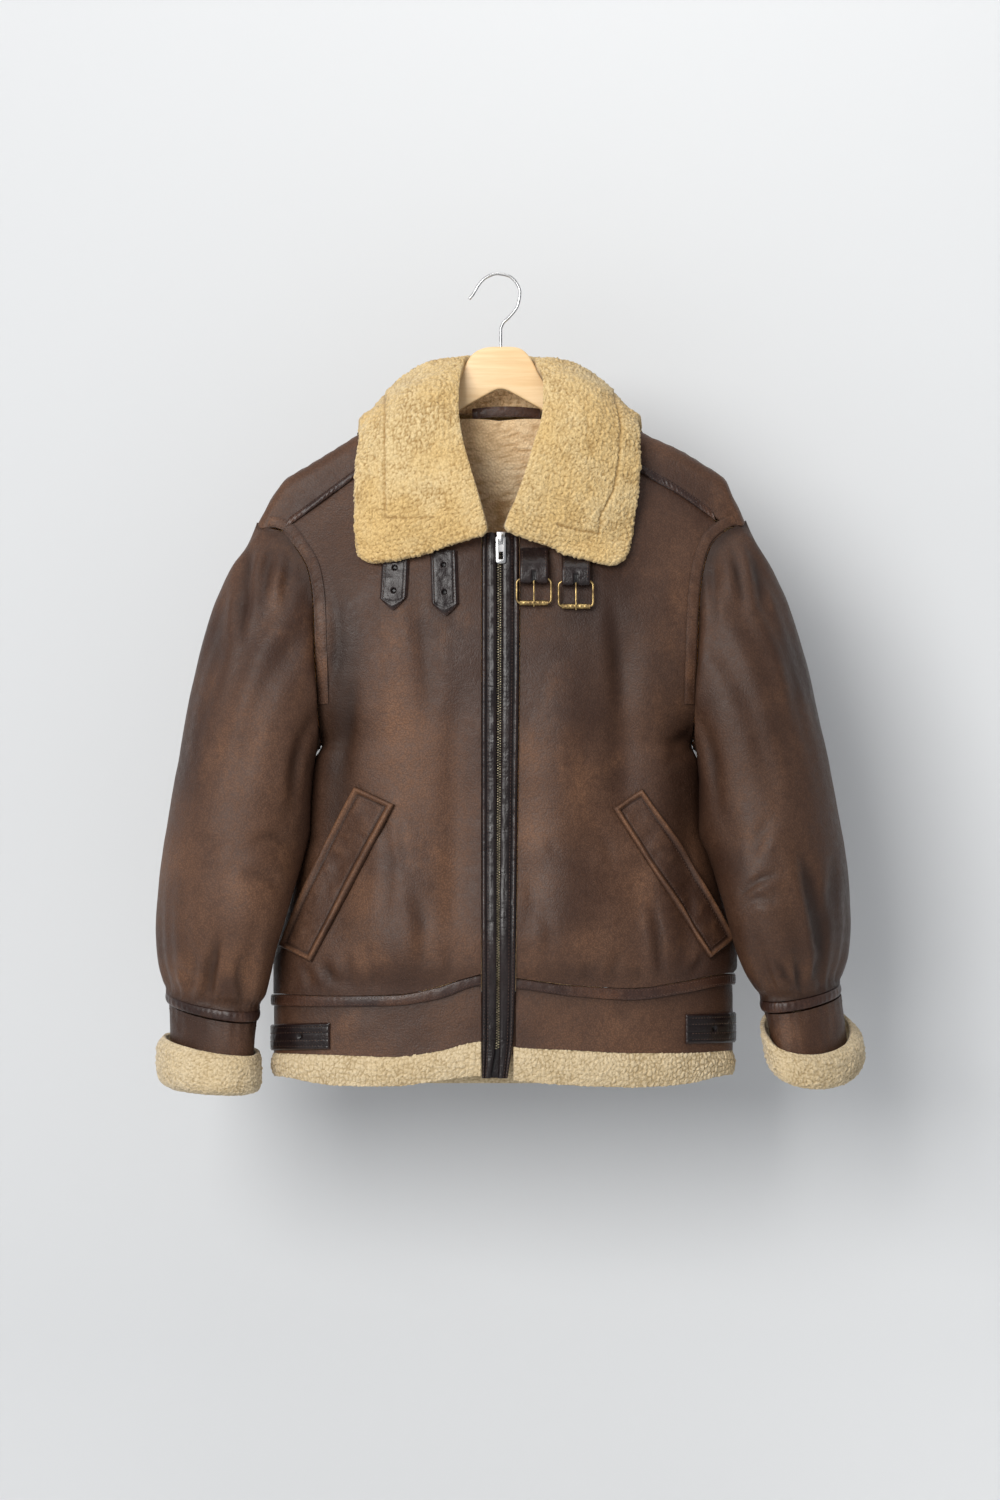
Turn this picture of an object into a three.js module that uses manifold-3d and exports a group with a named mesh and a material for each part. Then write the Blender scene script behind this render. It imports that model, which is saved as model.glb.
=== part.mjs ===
// A shearling coat on a wooden hanger, in millimetres.
// The origin is the inside top of the hanger's hook, where a rail or a peg holds it.
// +X runs to the right as the coat is seen from the front, -Y is towards the viewer and +Z is up.
import * as THREE from "three";
import { mergeVertices } from "three/addons/utils/BufferGeometryUtils.js";
import Module from "manifold-3d";

const wasm = await Module();
wasm.setup();

// Driving sizes
const SEAM_GAP = 0.3; // between pieces that are sewn edge to edge
const SKIN = 6; // shearling: leather and clipped fleece together
const TRIM = 3; // double leather of welts, straps and tabs
const SHOULDER_RADIUS = 15; // rounding of the shoulder over the hanger's arm
const SHOULDER_DROP = 190; // the coat reaches its full depth this far below the shoulder line
const SECTION_POWER = 2.4; // how square the body's section is: 2 is an ellipse
const EYE_DISTANCE = 3600; // the outlines below are as seen from this far in front of the hook
const EYE_HEIGHT = -498.75;

const LEFT = -1;
const RIGHT = 1;
const FRONT = -1;
const BACK = 1;

const COLOURS = {
  leather: { color: 0x5a3a28, roughness: 0.55, metalness: 0 },
  trim: { color: 0x2b1a15, roughness: 0.35, metalness: 0 },
  fleece: { color: 0xe3cb94, roughness: 0.95, metalness: 0 },
  lining: { color: 0xcdab7c, roughness: 0.95, metalness: 0 },
  wood: { color: 0xdcb98a, roughness: 0.5, metalness: 0 },
  steel: { color: 0xb9bcc0, roughness: 0.25, metalness: 1 },
  brass: { color: 0x8d7343, roughness: 0.4, metalness: 1 },
};

// Turns rows of numbers into objects with named columns.
function table(columns, ...rows) {
  return rows.map((row) => Object.fromEntries(columns.map((name, i) => [name, row[i]])));
}

// The shoulder line, seen from the front: the coat's top edge from one armhole to the other.
const SHOULDER_LINE = table(
  ["x", "z"],
  [-275, -310],
  [-262, -282],
  [-255, -263],
  [-247, -247],
  [-238, -231],
  [-226, -215],
  [-202, -200],
  [-176, -184],
  [-130, -155],
  [-88, -128],
  [0, -112],
  [88, -128],
  [133, -156],
  [155, -168],
  [190, -184],
  [216, -200],
  [237, -215],
  [244, -231],
  [252, -247],
  [259, -263],
  [268, -282],
  [281, -310],
);

// The body's half widths and half depths, by height. Above the armpits the widths are those of
// the oval that the chest and the shoulder blades lie on.
const BODY = table(
  ["z", "left", "right", "front", "back"],
  [-100, 340, 345, 52, 44],
  [-300, 330, 340, 64, 54],
  [-350, 300, 312, 69, 58],
  [-400, 265, 277, 73, 61],
  [-450, 225, 238, 76, 63],
  [-492, 190, 202, 78, 65],
  [-560, 190, 202, 79, 66],
  [-610, 196, 210, 82, 67],
  [-660, 218, 234, 88, 70],
  [-700, 233, 249, 92, 73],
  [-725, 238, 249, 90, 73],
  [-750, 238, 245, 83, 70],
  [-800, 237, 244, 79, 68],
  [-860, 236, 243, 78, 68],
);

// The coat's bottom edges, by the distance across the front: the waist seam, the foot of its
// welt, the waistband's lower edge and the hem.
const BOTTOM = table(
  ["x", "waist", "band", "fleece", "hem"],
  [-260, -754, -766, -815, -838],
  [-233, -755, -767, -817, -841],
  [-173, -757, -768, -819, -851],
  [-112, -756, -767, -821, -852],
  [-65, -748, -760, -815, -846],
  [-20, -734, -746, -805, -841],
  [17, -738, -749, -811, -846],
  [77, -746, -757, -814, -851],
  [140, -749, -761, -817, -853],
  [191, -742, -754, -817, -850],
  [245, -733, -745, -814, -839],
  [265, -733, -745, -813, -838],
);

// The same edges at the middle of the back.
const BACK_BOTTOM = { waist: -752, band: -764, fleece: -818, hem: -848 };

// Folds of the hanging body: a soft ridge or a trough at x, from one height to another.
const FOLDS = table(
  ["side", "x", "top", "foot", "width", "out"],
  [FRONT, -172, -420, -720, 20, -8],
  [FRONT, -112, -520, -790, 34, 8],
  [FRONT, -46, -400, -740, 16, -5],
  [FRONT, 66, -360, -760, 36, 7],
  [FRONT, 130, -340, -600, 16, -8],
  [FRONT, 172, -420, -740, 16, 6],
  [FRONT, 196, -520, -760, 10, -5],
  [BACK, -150, -380, -740, 24, -8],
  [BACK, -70, -300, -760, 30, 7],
  [BACK, 10, -420, -760, 20, -6],
  [BACK, 92, -320, -760, 30, 7],
  [BACK, 165, -400, -740, 22, -8],
);

const ARMPIT = -480; // below this height the front and the back meet at a side seam
const SIDE_SEAM_HEIGHTS = [-740, -725, -700, -660, -610, -560, -520];
const WAIST_HEIGHT = -752; // where the side seams end
const NECK_POINT = -272; // foot of the neck opening, at the zip
const BAND_HEIGHT = -780; // the bands below the waist keep the body's section from this height

// Armholes as seen from the front. The top point is on the shoulder line.
const ARMHOLES = {
  [LEFT]: {
    top: [-254, -261],
    front: [
      [-244, -265], [-229, -269], [-212, -289], [-201, -310],
      [-196, -341], [-194, -394], [-192, -450], [-188, -486],
    ],
    foot: [-187, -494],
    back: [
      [-246, -268], [-234, -279], [-220, -301], [-211, -341],
      [-206, -394], [-200, -450], [-190, -488],
    ],
  },
  [RIGHT]: {
    top: [257, -259],
    front: [
      [248, -263], [236, -269], [221, -284], [213, -310],
      [209, -341], [207, -394], [205, -450], [202, -486],
    ],
    foot: [201, -494],
    back: [
      [250, -266], [242, -279], [231, -301], [224, -341],
      [218, -394], [212, -450], [203, -488],
    ],
  },
};

// Sleeves: a row for each section, from near the armhole to the cuff. Out and in are the ends of
// the section as seen from the front; bow bends it towards the body; pleat is how deep the
// gathers are there; ahead is how far its inner end lies in front of the body's side.
const SLEEVE_COLUMNS = ["outX", "outZ", "inX", "inZ", "bow", "front", "back", "tilt", "pleat", "ahead"];
const SLEEVES = {
  [LEFT]: table(
    SLEEVE_COLUMNS,
    [264, -279, 193, -503, 25, 67, 58, 0, 3.5, 0],
    [280, -306, 195, -517, 19, 76, 62, 0, 4.5, 0],
    [299, -345, 197, -534, 12, 83, 66, 0, 4, 0],
    [315, -398, 198, -556, 6, 86, 68, 0, 3, 0],
    [328, -457, 199, -585, 2, 85, 69, 0, 2, 4],
    [339, -515, 207, -616, 0, 83, 69, 0, 1, 16],
    [350, -578, 218, -652, 0, 81, 68, 0, 0, 34],
    [358, -634, 227, -684, 0, 78, 66, 0, 1, 44],
    [361, -686, 235, -711, 0, 72, 62, 2, 3, 44],
    [359, -722, 240, -734, 0, 64, 57, 5, 5, 40],
    [354, -742, 246, -757, 0, 56, 51, 8, 5, 34],
    [351, -749.5, 252, -766.5, 0, 50, 47, 9, 1.5, 28],
    [351, -752.7, 252, -769.7, 0, 50, 47, 9, 0, 28],
  ),
  [RIGHT]: table(
    SLEEVE_COLUMNS,
    [267, -277, 207, -503, 23, 67, 58, 0, 3.5, 0],
    [286, -309, 208, -517, 17, 76, 62, 0, 4.5, 0],
    [305, -352, 209, -534, 11, 83, 66, 0, 4, 0],
    [321, -404, 209, -556, 5, 86, 68, 0, 3, 0],
    [335, -465, 209, -585, 2, 85, 69, 0, 2, 4],
    [346, -515, 220, -612, 0, 83, 69, 0, 1, 16],
    [358, -578, 231, -648, 0, 81, 68, 0, 0, 34],
    [366, -634, 240, -680, 0, 78, 66, 0, 1, 44],
    [368, -680, 247, -708, 0, 72, 62, 2, 3, 44],
    [366, -712, 257, -732, 0, 64, 57, 5, 5, 40],
    [360, -733, 267, -748, 0, 56, 51, 8, 5, 34],
    [357, -740, 273, -756, 0, 50, 47, 9, 1.5, 28],
    [357, -743, 273, -759, 0, 50, 47, 9, 0, 28],
  ),
};

// Where the sleeve's gathers lie, in degrees round it from the top through the front.
const SLEEVE_PLEATS = [20, 38, 58, 82, 128, 300, 330];
const PLEAT_WIDTH = 9; // degrees

// Cuffs: a row for each edge from the welt down to the turned-back fleece.
const CUFF_COLUMNS = ["outX", "outZ", "inX", "inZ", "front", "back", "tilt", "ahead"];
const CUFFS = {
  [LEFT]: {
    welt: table(CUFF_COLUMNS, [351, -753, 252, -770, 50, 47, 9, 28], [350, -763, 253, -781, 50, 47, 9, 28]),
    band: table(
      CUFF_COLUMNS,
      [347, -764.5, 256, -782.5, 47, 44, 9, 28],
      [346, -805, 259, -825, 47, 44, 9, 28],
    ),
    fleece: table(
      CUFF_COLUMNS,
      [354, -798, 251, -816, 55, 52, 9, 28],
      [361, -811, 250, -828, 61, 58, 9, 28],
      [361, -832, 250, -845, 61, 58, 8, 28],
      [357, -846, 253, -855, 58, 55, 6, 28],
      [347, -854, 262, -860, 49, 46, 5, 28],
    ),
  },
  [RIGHT]: {
    welt: table(CUFF_COLUMNS, [357, -744, 273, -760, 50, 47, 9, 28], [358, -754, 274, -771, 50, 47, 9, 28]),
    band: table(
      CUFF_COLUMNS,
      [358, -755.5, 278, -772.5, 47, 44, 9, 28],
      [364, -802, 284, -797, 47, 44, 27, 28],
    ),
    fleece: table(
      CUFF_COLUMNS,
      [371, -792, 272, -788, 56, 53, 28, 28],
      [381, -804, 275, -802, 61, 58, 27, 28],
      [383, -820, 279, -820, 61, 58, 25, 28],
      [378, -833, 287, -833, 58, 55, 21, 28],
      [366, -840, 300, -840, 48, 45, 16, 28],
    ),
  },
};

// The collar's leaf: a row for each section from the front edge round to the middle of the back.
// Roll is the fold at the neck, edge is the outer edge, lift is how far the leaf bows outwards.
const COLLAR_COLUMNS = ["rollX", "rollY", "rollZ", "edgeX", "edgeY", "edgeZ", "lift", "sag"];
const COLLAR = {
  [LEFT]: table(
    COLLAR_COLUMNS,
    [13, -92, -271, 143, -60, -302, 0, 5],
    [19, -90, -246, 153, -60, -287, 3, 2],
    [24, -86, -226, 156, -55, -262, 5, 0],
    [32, -79, -198, 156, -50, -229, 7, 0],
    [39, -70, -171, 155, -45, -196, 8, 0],
    [43, -55, -140, 152, -38, -172, 9, -8],
    [42, -36, -110, 149, -18, -161, 6, -16],
    [38, -10, -88, 152, 32, -164, 0, -24],
  ),
  [RIGHT]: table(
    COLLAR_COLUMNS,
    [5, -92, -267, 129, -60, -305, 0, 5],
    [10, -90, -250, 138, -60, -285, 3, 2],
    [17, -86, -233, 144, -55, -258, 5, 0],
    [27, -79, -204, 149, -50, -222, 7, 0],
    [36, -70, -172, 151, -45, -188, 8, 0],
    [44, -55, -143, 150, -38, -165, 9, -8],
    [45, -36, -110, 148, -18, -155, 6, -16],
    [38, -10, -88, 152, 32, -164, 0, -24],
  ),
};
const COLLAR_BACK = table(
  COLLAR_COLUMNS,
  [38, -10, -88, 152, 32, -164, 0, -24],
  [36, 18, -84, 142, 62, -196, 8, -20],
  [25, 40, -82, 104, 80, -216, 12, -12],
  [0, 50, -82, 0, 86, -226, 14, -6],
);
const COLLAR_THICK = 11;
const COLLAR_CLEAR = 6.5; // the leaf stays this far off the coat and its welts

// The collar's stand: its foot at the neck seam and its top inside the roll, from the side of the
// neck to the middle of the back.
const STAND = table(
  ["footX", "footY", "footZ", "topX", "topY", "topZ"],
  [93, 5, -128, 60, 12, -107],
  [82, 21, -133, 50, 23, -104],
  [60, 32, -141, 34, 32, -100],
  [31, 37, -147, 17, 36, -98],
  [0, 38, -149, 0, 38, -98],
);

// Plackets beside the zip, by height.
const PLACKETS = table(
  ["z", "leftOut", "leftIn", "rightIn", "rightOut"],
  [-272, -19, -3.5, 2.2, 20],
  [-380, -19, -3.3, 2.2, 20.5],
  [-560, -19, -3.2, 0.8, 18.5],
  [-690, -19, -3.4, -0.6, 17],
  [-800, -19, -4, -0.6, 14],
  [-843, -19, -9.5, -2, 8],
);

// Pocket welts: corners from the upper outer one, round by the centre of the front.
const POCKETS = {
  [LEFT]: [[-151, -537], [-110, -556.5], [-197, -721], [-229, -705]],
  [RIGHT]: [[149, -539.5], [117.5, -560.5], [218.5, -717], [243, -697]],
};

// Neck straps: pointed ones on the left, buckled ones on the right.
const STRAPS = table(
  ["name", "topX", "topZ", "endX", "endZ", "width"],
  ["strap_pointed_outer", -109, -296, -112.5, -352, 28],
  ["strap_pointed_inner", -59.5, -290, -57.5, -358, 28],
);
const BUCKLE_STRAPS = table(
  ["name", "x", "top", "bar", "width", "frame", "drop"],
  ["inner", 35.5, -287, -320, 29, 38, 27],
  ["outer", 79.5, -292, -322.5, 29, 38, 28],
);
const BUCKLE_WIRE = 1.3; // radius
const STRAP_EYE = 4.6; // outer radius of the strap's fold round the bar
const STRAP_EYE_HOLE = 2.1;
const EYE_CLEAR = 5.2; // between the coat and the strap's fold
const STRAP_HOLE = 2.3; // radius of a punched hole
const ROLLER = { outer: 3, inner: 1.8, length: 29 };
const PRONG = { width: 2.2, eye: 3, hole: 1.7, thick: 1.8 };

// The side tabs on the waistband.
const TABS = {
  [LEFT]: { inner: -178, top: [-785, -789], foot: [-813, -815] },
  [RIGHT]: { inner: 194, top: [-776, -772], foot: [-807, -804] },
};

// Linear reading of a column of a table by another, which rises or falls steadily.
function read(rows, by, column, value) {
  const rising = rows[rows.length - 1][by] > rows[0][by];
  const passed = (row) => (rising ? row[by] > value : row[by] < value);
  let i = rows.findIndex(passed);
  if (i < 0) i = rows.length - 1;
  if (i === 0) i = 1;
  const from = rows[i - 1];
  const to = rows[i];
  const part = THREE.MathUtils.clamp((value - from[by]) / (to[by] - from[by]), 0, 1);
  return THREE.MathUtils.lerp(from[column], to[column], part);
}

function shoulderZ(x) {
  return read(SHOULDER_LINE, "x", "z", x);
}

function bottomZ(edge, x) {
  return read(BOTTOM, "x", edge, x);
}

// A bottom edge on the back runs from its height at the side seams to that at the middle.
function bandEdge(edge, x, face) {
  if (face === FRONT) return bottomZ(edge, x);
  const atSide = bottomZ(edge, x < 0 ? -236 : 244);
  const towardsSide = THREE.MathUtils.smoothstep(Math.abs(x), 60, 236);
  return THREE.MathUtils.lerp(BACK_BOTTOM[edge], atSide, towardsSide);
}

function halfWidth(z, side) {
  return read(BODY, "z", side === LEFT ? "left" : "right", z);
}

// A soft window that is 1 in the middle between two heights and fades out towards each of them.
function window(z, top, foot) {
  const part = (top - z) / (top - foot);
  const fade = 0.3;
  return THREE.MathUtils.smoothstep(part, 0, fade) * (1 - THREE.MathUtils.smoothstep(part, 1 - fade, 1));
}

// How far the coat's outside stands from the plane of the hanger, in front of it or behind it.
function bodyDepth(x, z, face) {
  const below = shoulderZ(x) - z;
  const ratio = Math.min(Math.abs(x) / halfWidth(z, x < 0 ? LEFT : RIGHT), 1);
  const across = Math.sqrt(1 - ratio ** SECTION_POWER);
  const full = read(BODY, "z", face === FRONT ? "front" : "back", z);
  const rounded = THREE.MathUtils.clamp(below / SHOULDER_RADIUS, 0, 1);
  const nearShoulder = SHOULDER_RADIUS * Math.sqrt(1 - (1 - rounded) ** 2);
  const drop = THREE.MathUtils.smoothstep(below, 0, SHOULDER_DROP);
  let folds = 0;
  for (const fold of FOLDS) {
    if (fold.side !== face) continue;
    folds += fold.out * Math.exp(-(((x - fold.x) / fold.width) ** 2)) * window(z, fold.top, fold.foot);
  }
  return (nearShoulder + (full - SHOULDER_RADIUS) * drop + folds) * across;
}

// A point of an outline seen from the front, at its own depth: what is nearer is drawn smaller.
function placed(x, y, z) {
  const scale = (EYE_DISTANCE + y) / EYE_DISTANCE;
  return new THREE.Vector3(x * scale, y, EYE_HEIGHT + (z - EYE_HEIGHT) * scale);
}

function onBody(x, z, face) {
  return placed(x, face * (SEAM_GAP + bodyDepth(x, z, face)), z);
}

// A point of the bands below the waist, whose section is the same all the way down.
function onBand(x, z, face) {
  return placed(x, face * (2 * SEAM_GAP + bodyDepth(x, BAND_HEIGHT, face)), z);
}

function polyline(points) {
  const path = new THREE.CurvePath();
  for (let i = 1; i < points.length; i++) {
    path.add(new THREE.LineCurve(new THREE.Vector2(...points[i - 1]), new THREE.Vector2(...points[i])));
  }
  return path;
}

function smoothLine(points) {
  return new THREE.SplineCurve(points.map((p) => new THREE.Vector2(...p)));
}

// Fills four edge curves: foot and top run the same way across, first and last run upwards.
function patch({ foot, top, first, last }, across, up) {
  const f = foot.getPointAt(across);
  const t = top.getPointAt(across);
  const a = first.getPointAt(up);
  const b = last.getPointAt(up);
  const corner = (curve, end) => curve.getPointAt(end);
  const mix = (g) =>
    (1 - up) * f[g] + up * t[g] + (1 - across) * a[g] + across * b[g]
    - (1 - across) * (1 - up) * corner(foot, 0)[g]
    - across * (1 - up) * corner(foot, 1)[g]
    - (1 - across) * up * corner(top, 0)[g]
    - across * up * corner(top, 1)[g];
  return [mix("x"), mix("y")];
}

// A grid of points: columns run across, rows run up.
function grid(columns, rows, point) {
  return Array.from({ length: rows + 1 }, (_, j) =>
    Array.from({ length: columns + 1 }, (_, i) => point(i / columns, j / rows)),
  );
}

// Outward normals of a grid, from the steps to its neighbours.
function normals(points, closed, seamEdges) {
  const rows = points.length;
  const columns = points[0].length;
  return points.map((row, j) =>
    row.map((_, i) => {
      const before = closed ? (i - 1 + columns) % columns : Math.max(i - 1, 0);
      const after = closed ? (i + 1) % columns : Math.min(i + 1, columns - 1);
      const across = row[after].clone().sub(row[before]);
      const up = points[Math.min(j + 1, rows - 1)][i].clone().sub(points[Math.max(j - 1, 0)][i]);
      const normal = across.cross(up);
      if (seamEdges && seamEdges(i, j)) normal.y = 0;
      return normal.normalize();
    }),
  );
}

// A wall: the grid's points moved out by lift, and the same points moved in by the wall's
// thickness, joined round the edges. Lift and thickness may be functions of the place.
function wall(points, options = {}) {
  const { lift = 0, thick = SKIN, closed = false, seamEdges = null, turned = false } = options;
  const rows = points.length;
  const columns = points[0].length;
  const sign = turned ? -1 : 1;
  const out = normals(points, closed, seamEdges);
  const positions = [];
  const amount = (value, i, j) =>
    typeof value === "function" ? value(i / (columns - 1), j / (rows - 1)) : value;
  for (const layer of [0, 1]) {
    for (let j = 0; j < rows; j++) {
      for (let i = 0; i < columns; i++) {
        const distance = amount(lift, i, j) - layer * amount(thick, i, j);
        positions.push(...points[j][i].clone().addScaledVector(out[j][i], sign * distance).toArray());
      }
    }
  }
  const index = [];
  const at = (layer, i, j) => layer * rows * columns + j * columns + (closed ? i % columns : i);
  const quad = (a, b, c, d) => index.push(...(turned ? [a, c, b, a, d, c] : [a, b, c, a, c, d]));
  const spans = closed ? columns : columns - 1;
  for (let j = 0; j < rows - 1; j++) {
    for (let i = 0; i < spans; i++) {
      quad(at(0, i, j), at(0, i + 1, j), at(0, i + 1, j + 1), at(0, i, j + 1));
      quad(at(1, i, j), at(1, i, j + 1), at(1, i + 1, j + 1), at(1, i + 1, j));
    }
  }
  for (let i = 0; i < spans; i++) {
    quad(at(1, i, 0), at(1, i + 1, 0), at(0, i + 1, 0), at(0, i, 0));
    quad(at(0, i, rows - 1), at(0, i + 1, rows - 1), at(1, i + 1, rows - 1), at(1, i, rows - 1));
  }
  if (!closed) {
    const end = columns - 1;
    for (let j = 0; j < rows - 1; j++) {
      quad(at(0, 0, j), at(0, 0, j + 1), at(1, 0, j + 1), at(1, 0, j));
      quad(at(1, end, j), at(1, end, j + 1), at(0, end, j + 1), at(0, end, j));
    }
  }
  const geometry = new THREE.BufferGeometry();
  geometry.setAttribute("position", new THREE.Float32BufferAttribute(positions, 3));
  geometry.setIndex(index);
  return geometry;
}

// Joins and cuts
function solid(geometry) {
  const bare = geometry.clone();
  bare.deleteAttribute("normal");
  bare.deleteAttribute("uv");
  const merged = mergeVertices(bare, 1e-4);
  return new wasm.Manifold(
    new wasm.Mesh({
      numProp: 3,
      vertProperties: new Float32Array(merged.attributes.position.array),
      triVerts: new Uint32Array(merged.index.array),
    }),
  );
}

function shapeOf(body) {
  const mesh = body.getMesh();
  const geometry = new THREE.BufferGeometry();
  geometry.setAttribute("position", new THREE.Float32BufferAttribute(mesh.vertProperties, 3));
  geometry.setIndex(Array.from(mesh.triVerts));
  return geometry;
}

const coat = new THREE.Group();

function add(name, geometry, finish) {
  const mesh = new THREE.Mesh(geometry, new THREE.MeshStandardMaterial(COLOURS[finish]));
  mesh.name = name;
  coat.add(mesh);
  return mesh;
}

const SIDE_NAME = { [LEFT]: "left", [RIGHT]: "right" };
const clusterAtSide = (across) => 1 - Math.cos((across * Math.PI) / 2);

const SEAM_STEP = 5; // the least height between the waist's edge and a side seam's next point

// Points of a side seam, from the waist's edge upwards.
function sideSeamOf(side) {
  const x = side * halfWidth(WAIST_HEIGHT, side);
  const foot = bottomZ("waist", x) + SEAM_GAP;
  const heights = SIDE_SEAM_HEIGHTS.filter((z) => z > foot + SEAM_STEP);
  return [[x, foot], ...heights.map((z) => [side * halfWidth(z, side), z])];
}

// Yoke: the back comes over the shoulder this far down the front.
function yokeDepth(x) {
  return 33 + (16 * (Math.abs(x) - 95)) / 134;
}

function yokeZ(x) {
  return shoulderZ(x) - yokeDepth(x);
}

function placketEdge(side, z) {
  const column = side === LEFT ? "leftOut" : "rightOut";
  return read(PLACKETS, "z", column, z);
}

// Front panels
function frontPanel(side) {
  const armhole = ARMHOLES[side];
  const edge = (z) => placketEdge(side, z) + side * 0.8;
  const waistAtSide = side * halfWidth(WAIST_HEIGHT, side);
  const waistX = (part) => THREE.MathUtils.lerp(waistAtSide, edge(-740), part);
  const foot = polyline(
    Array.from({ length: 13 }, (_, i) => {
      const x = waistX(clusterAtSide(i / 12));
      return [x, bottomZ("waist", x) + SEAM_GAP];
    }),
  );
  const armholeFront = [...armhole.front].reverse().slice(0, -1);
  const first = polyline([...sideSeamOf(side), armhole.foot, ...armholeFront]);
  const neckFront = [[side * 80, -185], [side * 52, -222], [side * 30, -252], [edge(NECK_POINT), NECK_POINT]];
  const yokeXs = [229, 205, 180, 157, 130, 98].map((x) => side * x);
  const yoke = yokeXs.map((x) => [x, yokeZ(x) - SEAM_GAP]);
  yoke[0] = armhole.front[1];
  const top = polyline([...yoke, ...neckFront]);
  const edgeHeights = [-650, -560, -460, -380, NECK_POINT];
  const edgeStart = [edge(-740), bottomZ("waist", edge(-740)) + SEAM_GAP];
  const last = polyline([edgeStart, ...edgeHeights.map((z) => [edge(z), z])]);
  const curves = { foot, top, first, last };
  const points = grid(11, 15, (across, up) => {
    const [x, z] = patch(curves, clusterAtSide(across), up);
    return onBody(x, z, FRONT);
  });
  const seamEdges = (i, j) => i === 0 && points[j][0].z < ARMPIT;
  add(`front_${SIDE_NAME[side]}`, wall(points, { seamEdges, turned: side === RIGHT }), "leather");
}

// Rows of the back, as parts of its height, closer together where it turns over the shoulder.
const BACK_ROWS = {
  below: [0, 0.09, 0.18, 0.27, 0.36, 0.45, 0.54, 0.62, 0.69, 0.75, 0.8, 0.84, 0.87],
  overShoulder: [0.89, 0.905, 0.918, 0.93, 0.942, 0.955, 0.97, 1],
};

// The back is one piece that wraps over both shoulders to the front yoke seam. Its chart is the
// distance across and the distance below the shoulder line, which is negative on the front.
function backPoint(x, below) {
  const z = shoulderZ(x) - Math.abs(below);
  const face = below < 0 ? FRONT : BACK;
  const gap = Math.min(1, Math.abs(below) / SHOULDER_RADIUS) * SEAM_GAP;
  return placed(x, face * (gap + bodyDepth(x, z, face)), z);
}

function backPanel() {
  const edgeOf = (side) => {
    const armhole = ARMHOLES[side];
    const belowAt = ([x, z]) => [x, shoulderZ(x) - z];
    const [overTop, yokeCorner] = armhole.front;
    const backEdge = [...armhole.back].reverse().map(belowAt);
    return polyline([
      ...sideSeamOf(side).map(belowAt),
      belowAt(armhole.foot),
      ...backEdge,
      [armhole.top[0], 0],
      [overTop[0], overTop[1] - shoulderZ(overTop[0])],
      [yokeCorner[0], -yokeDepth(yokeCorner[0]) + 1],
    ]);
  };
  const footXs = Array.from({ length: 25 }, (_, i) => {
    const angle = (i / 24 - 0.5) * Math.PI;
    const side = angle < 0 ? LEFT : RIGHT;
    return halfWidth(WAIST_HEIGHT, side) * Math.sin(angle);
  });
  const foot = polyline(footXs.map((x) => [x, shoulderZ(x) - bandEdge("waist", x, BACK) - SEAM_GAP]));
  const yokeHalf = (side) => [229, 200, 170, 140, 98].map((x) => [side * x, -yokeDepth(x)]);
  const neckHalf = (side) => [[side * 99, -2], [side * 80, 20], [side * 46, 34], [0, 41]];
  const leftTop = [...yokeHalf(LEFT), ...neckHalf(LEFT)];
  const rightTop = [...yokeHalf(RIGHT), ...neckHalf(RIGHT)].slice(0, -1).reverse();
  const first = edgeOf(LEFT);
  const last = edgeOf(RIGHT);
  leftTop[0] = first.getPointAt(1).toArray();
  rightTop[rightTop.length - 1] = last.getPointAt(1).toArray();
  const top = polyline([...leftTop, ...rightTop]);
  foot.curves[0].v1.copy(first.getPointAt(0));
  foot.curves[foot.curves.length - 1].v2.copy(last.getPointAt(0));
  const curves = { foot, top, first, last };
  const columns = 20;
  const heights = [...BACK_ROWS.below, ...BACK_ROWS.overShoulder];
  const points = grid(columns, heights.length - 1, (across, up) => {
    const spread = 0.5 - 0.5 * Math.cos(across * Math.PI);
    const height = heights[Math.round(up * (heights.length - 1))];
    const [x, below] = patch(curves, spread, height);
    return backPoint(x, below);
  });
  const seamEdges = (i, j) => (i === 0 || i === columns) && points[j][0].z < ARMPIT;
  add("back", wall(points, { seamEdges, turned: true }), "leather");
}

// A strip laid on the body between two lines, raised by lift.
function strip(name, lines, face, size, options, finish) {
  const [foot, top] = lines.map(polyline);
  const points = grid(size[0], size[1], (across, up) => {
    const a = foot.getPointAt(across);
    const b = top.getPointAt(across);
    return onBody(THREE.MathUtils.lerp(a.x, b.x, up), THREE.MathUtils.lerp(a.y, b.y, up), face);
  });
  const middle = normals(points, false, null)[0][Math.floor(size[0] / 2)];
  const turned = middle.y * face < 0;
  add(name, wall(points, { ...options, turned }), finish);
}

// Sleeves: rings of points, the first one round the armhole.
const SLEEVE_SIDES = 26;

function armholeRing(side, away) {
  const armhole = ARMHOLES[side];
  const shifted = ([x, z], face) => {
    const point = face === 0 ? placed(x, 0, z) : onBody(x, z, face);
    point.x += side * away;
    return point;
  };
  const loop = [
    shifted(armhole.top, 0),
    ...armhole.front.map((p) => shifted(p, FRONT)),
    shifted(armhole.foot, 0),
    ...[...armhole.back].reverse().map((p) => shifted(p, BACK)),
  ];
  loop[0].z += away;
  loop[armhole.front.length + 1].z -= away * 4;
  const curve = new THREE.CatmullRomCurve3(loop, true, "centripetal");
  return curve.getSpacedPoints(SLEEVE_SIDES).slice(0, SLEEVE_SIDES);
}

const BACK_BOW = 0.35; // the back of the armhole bends in less than its front

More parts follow.
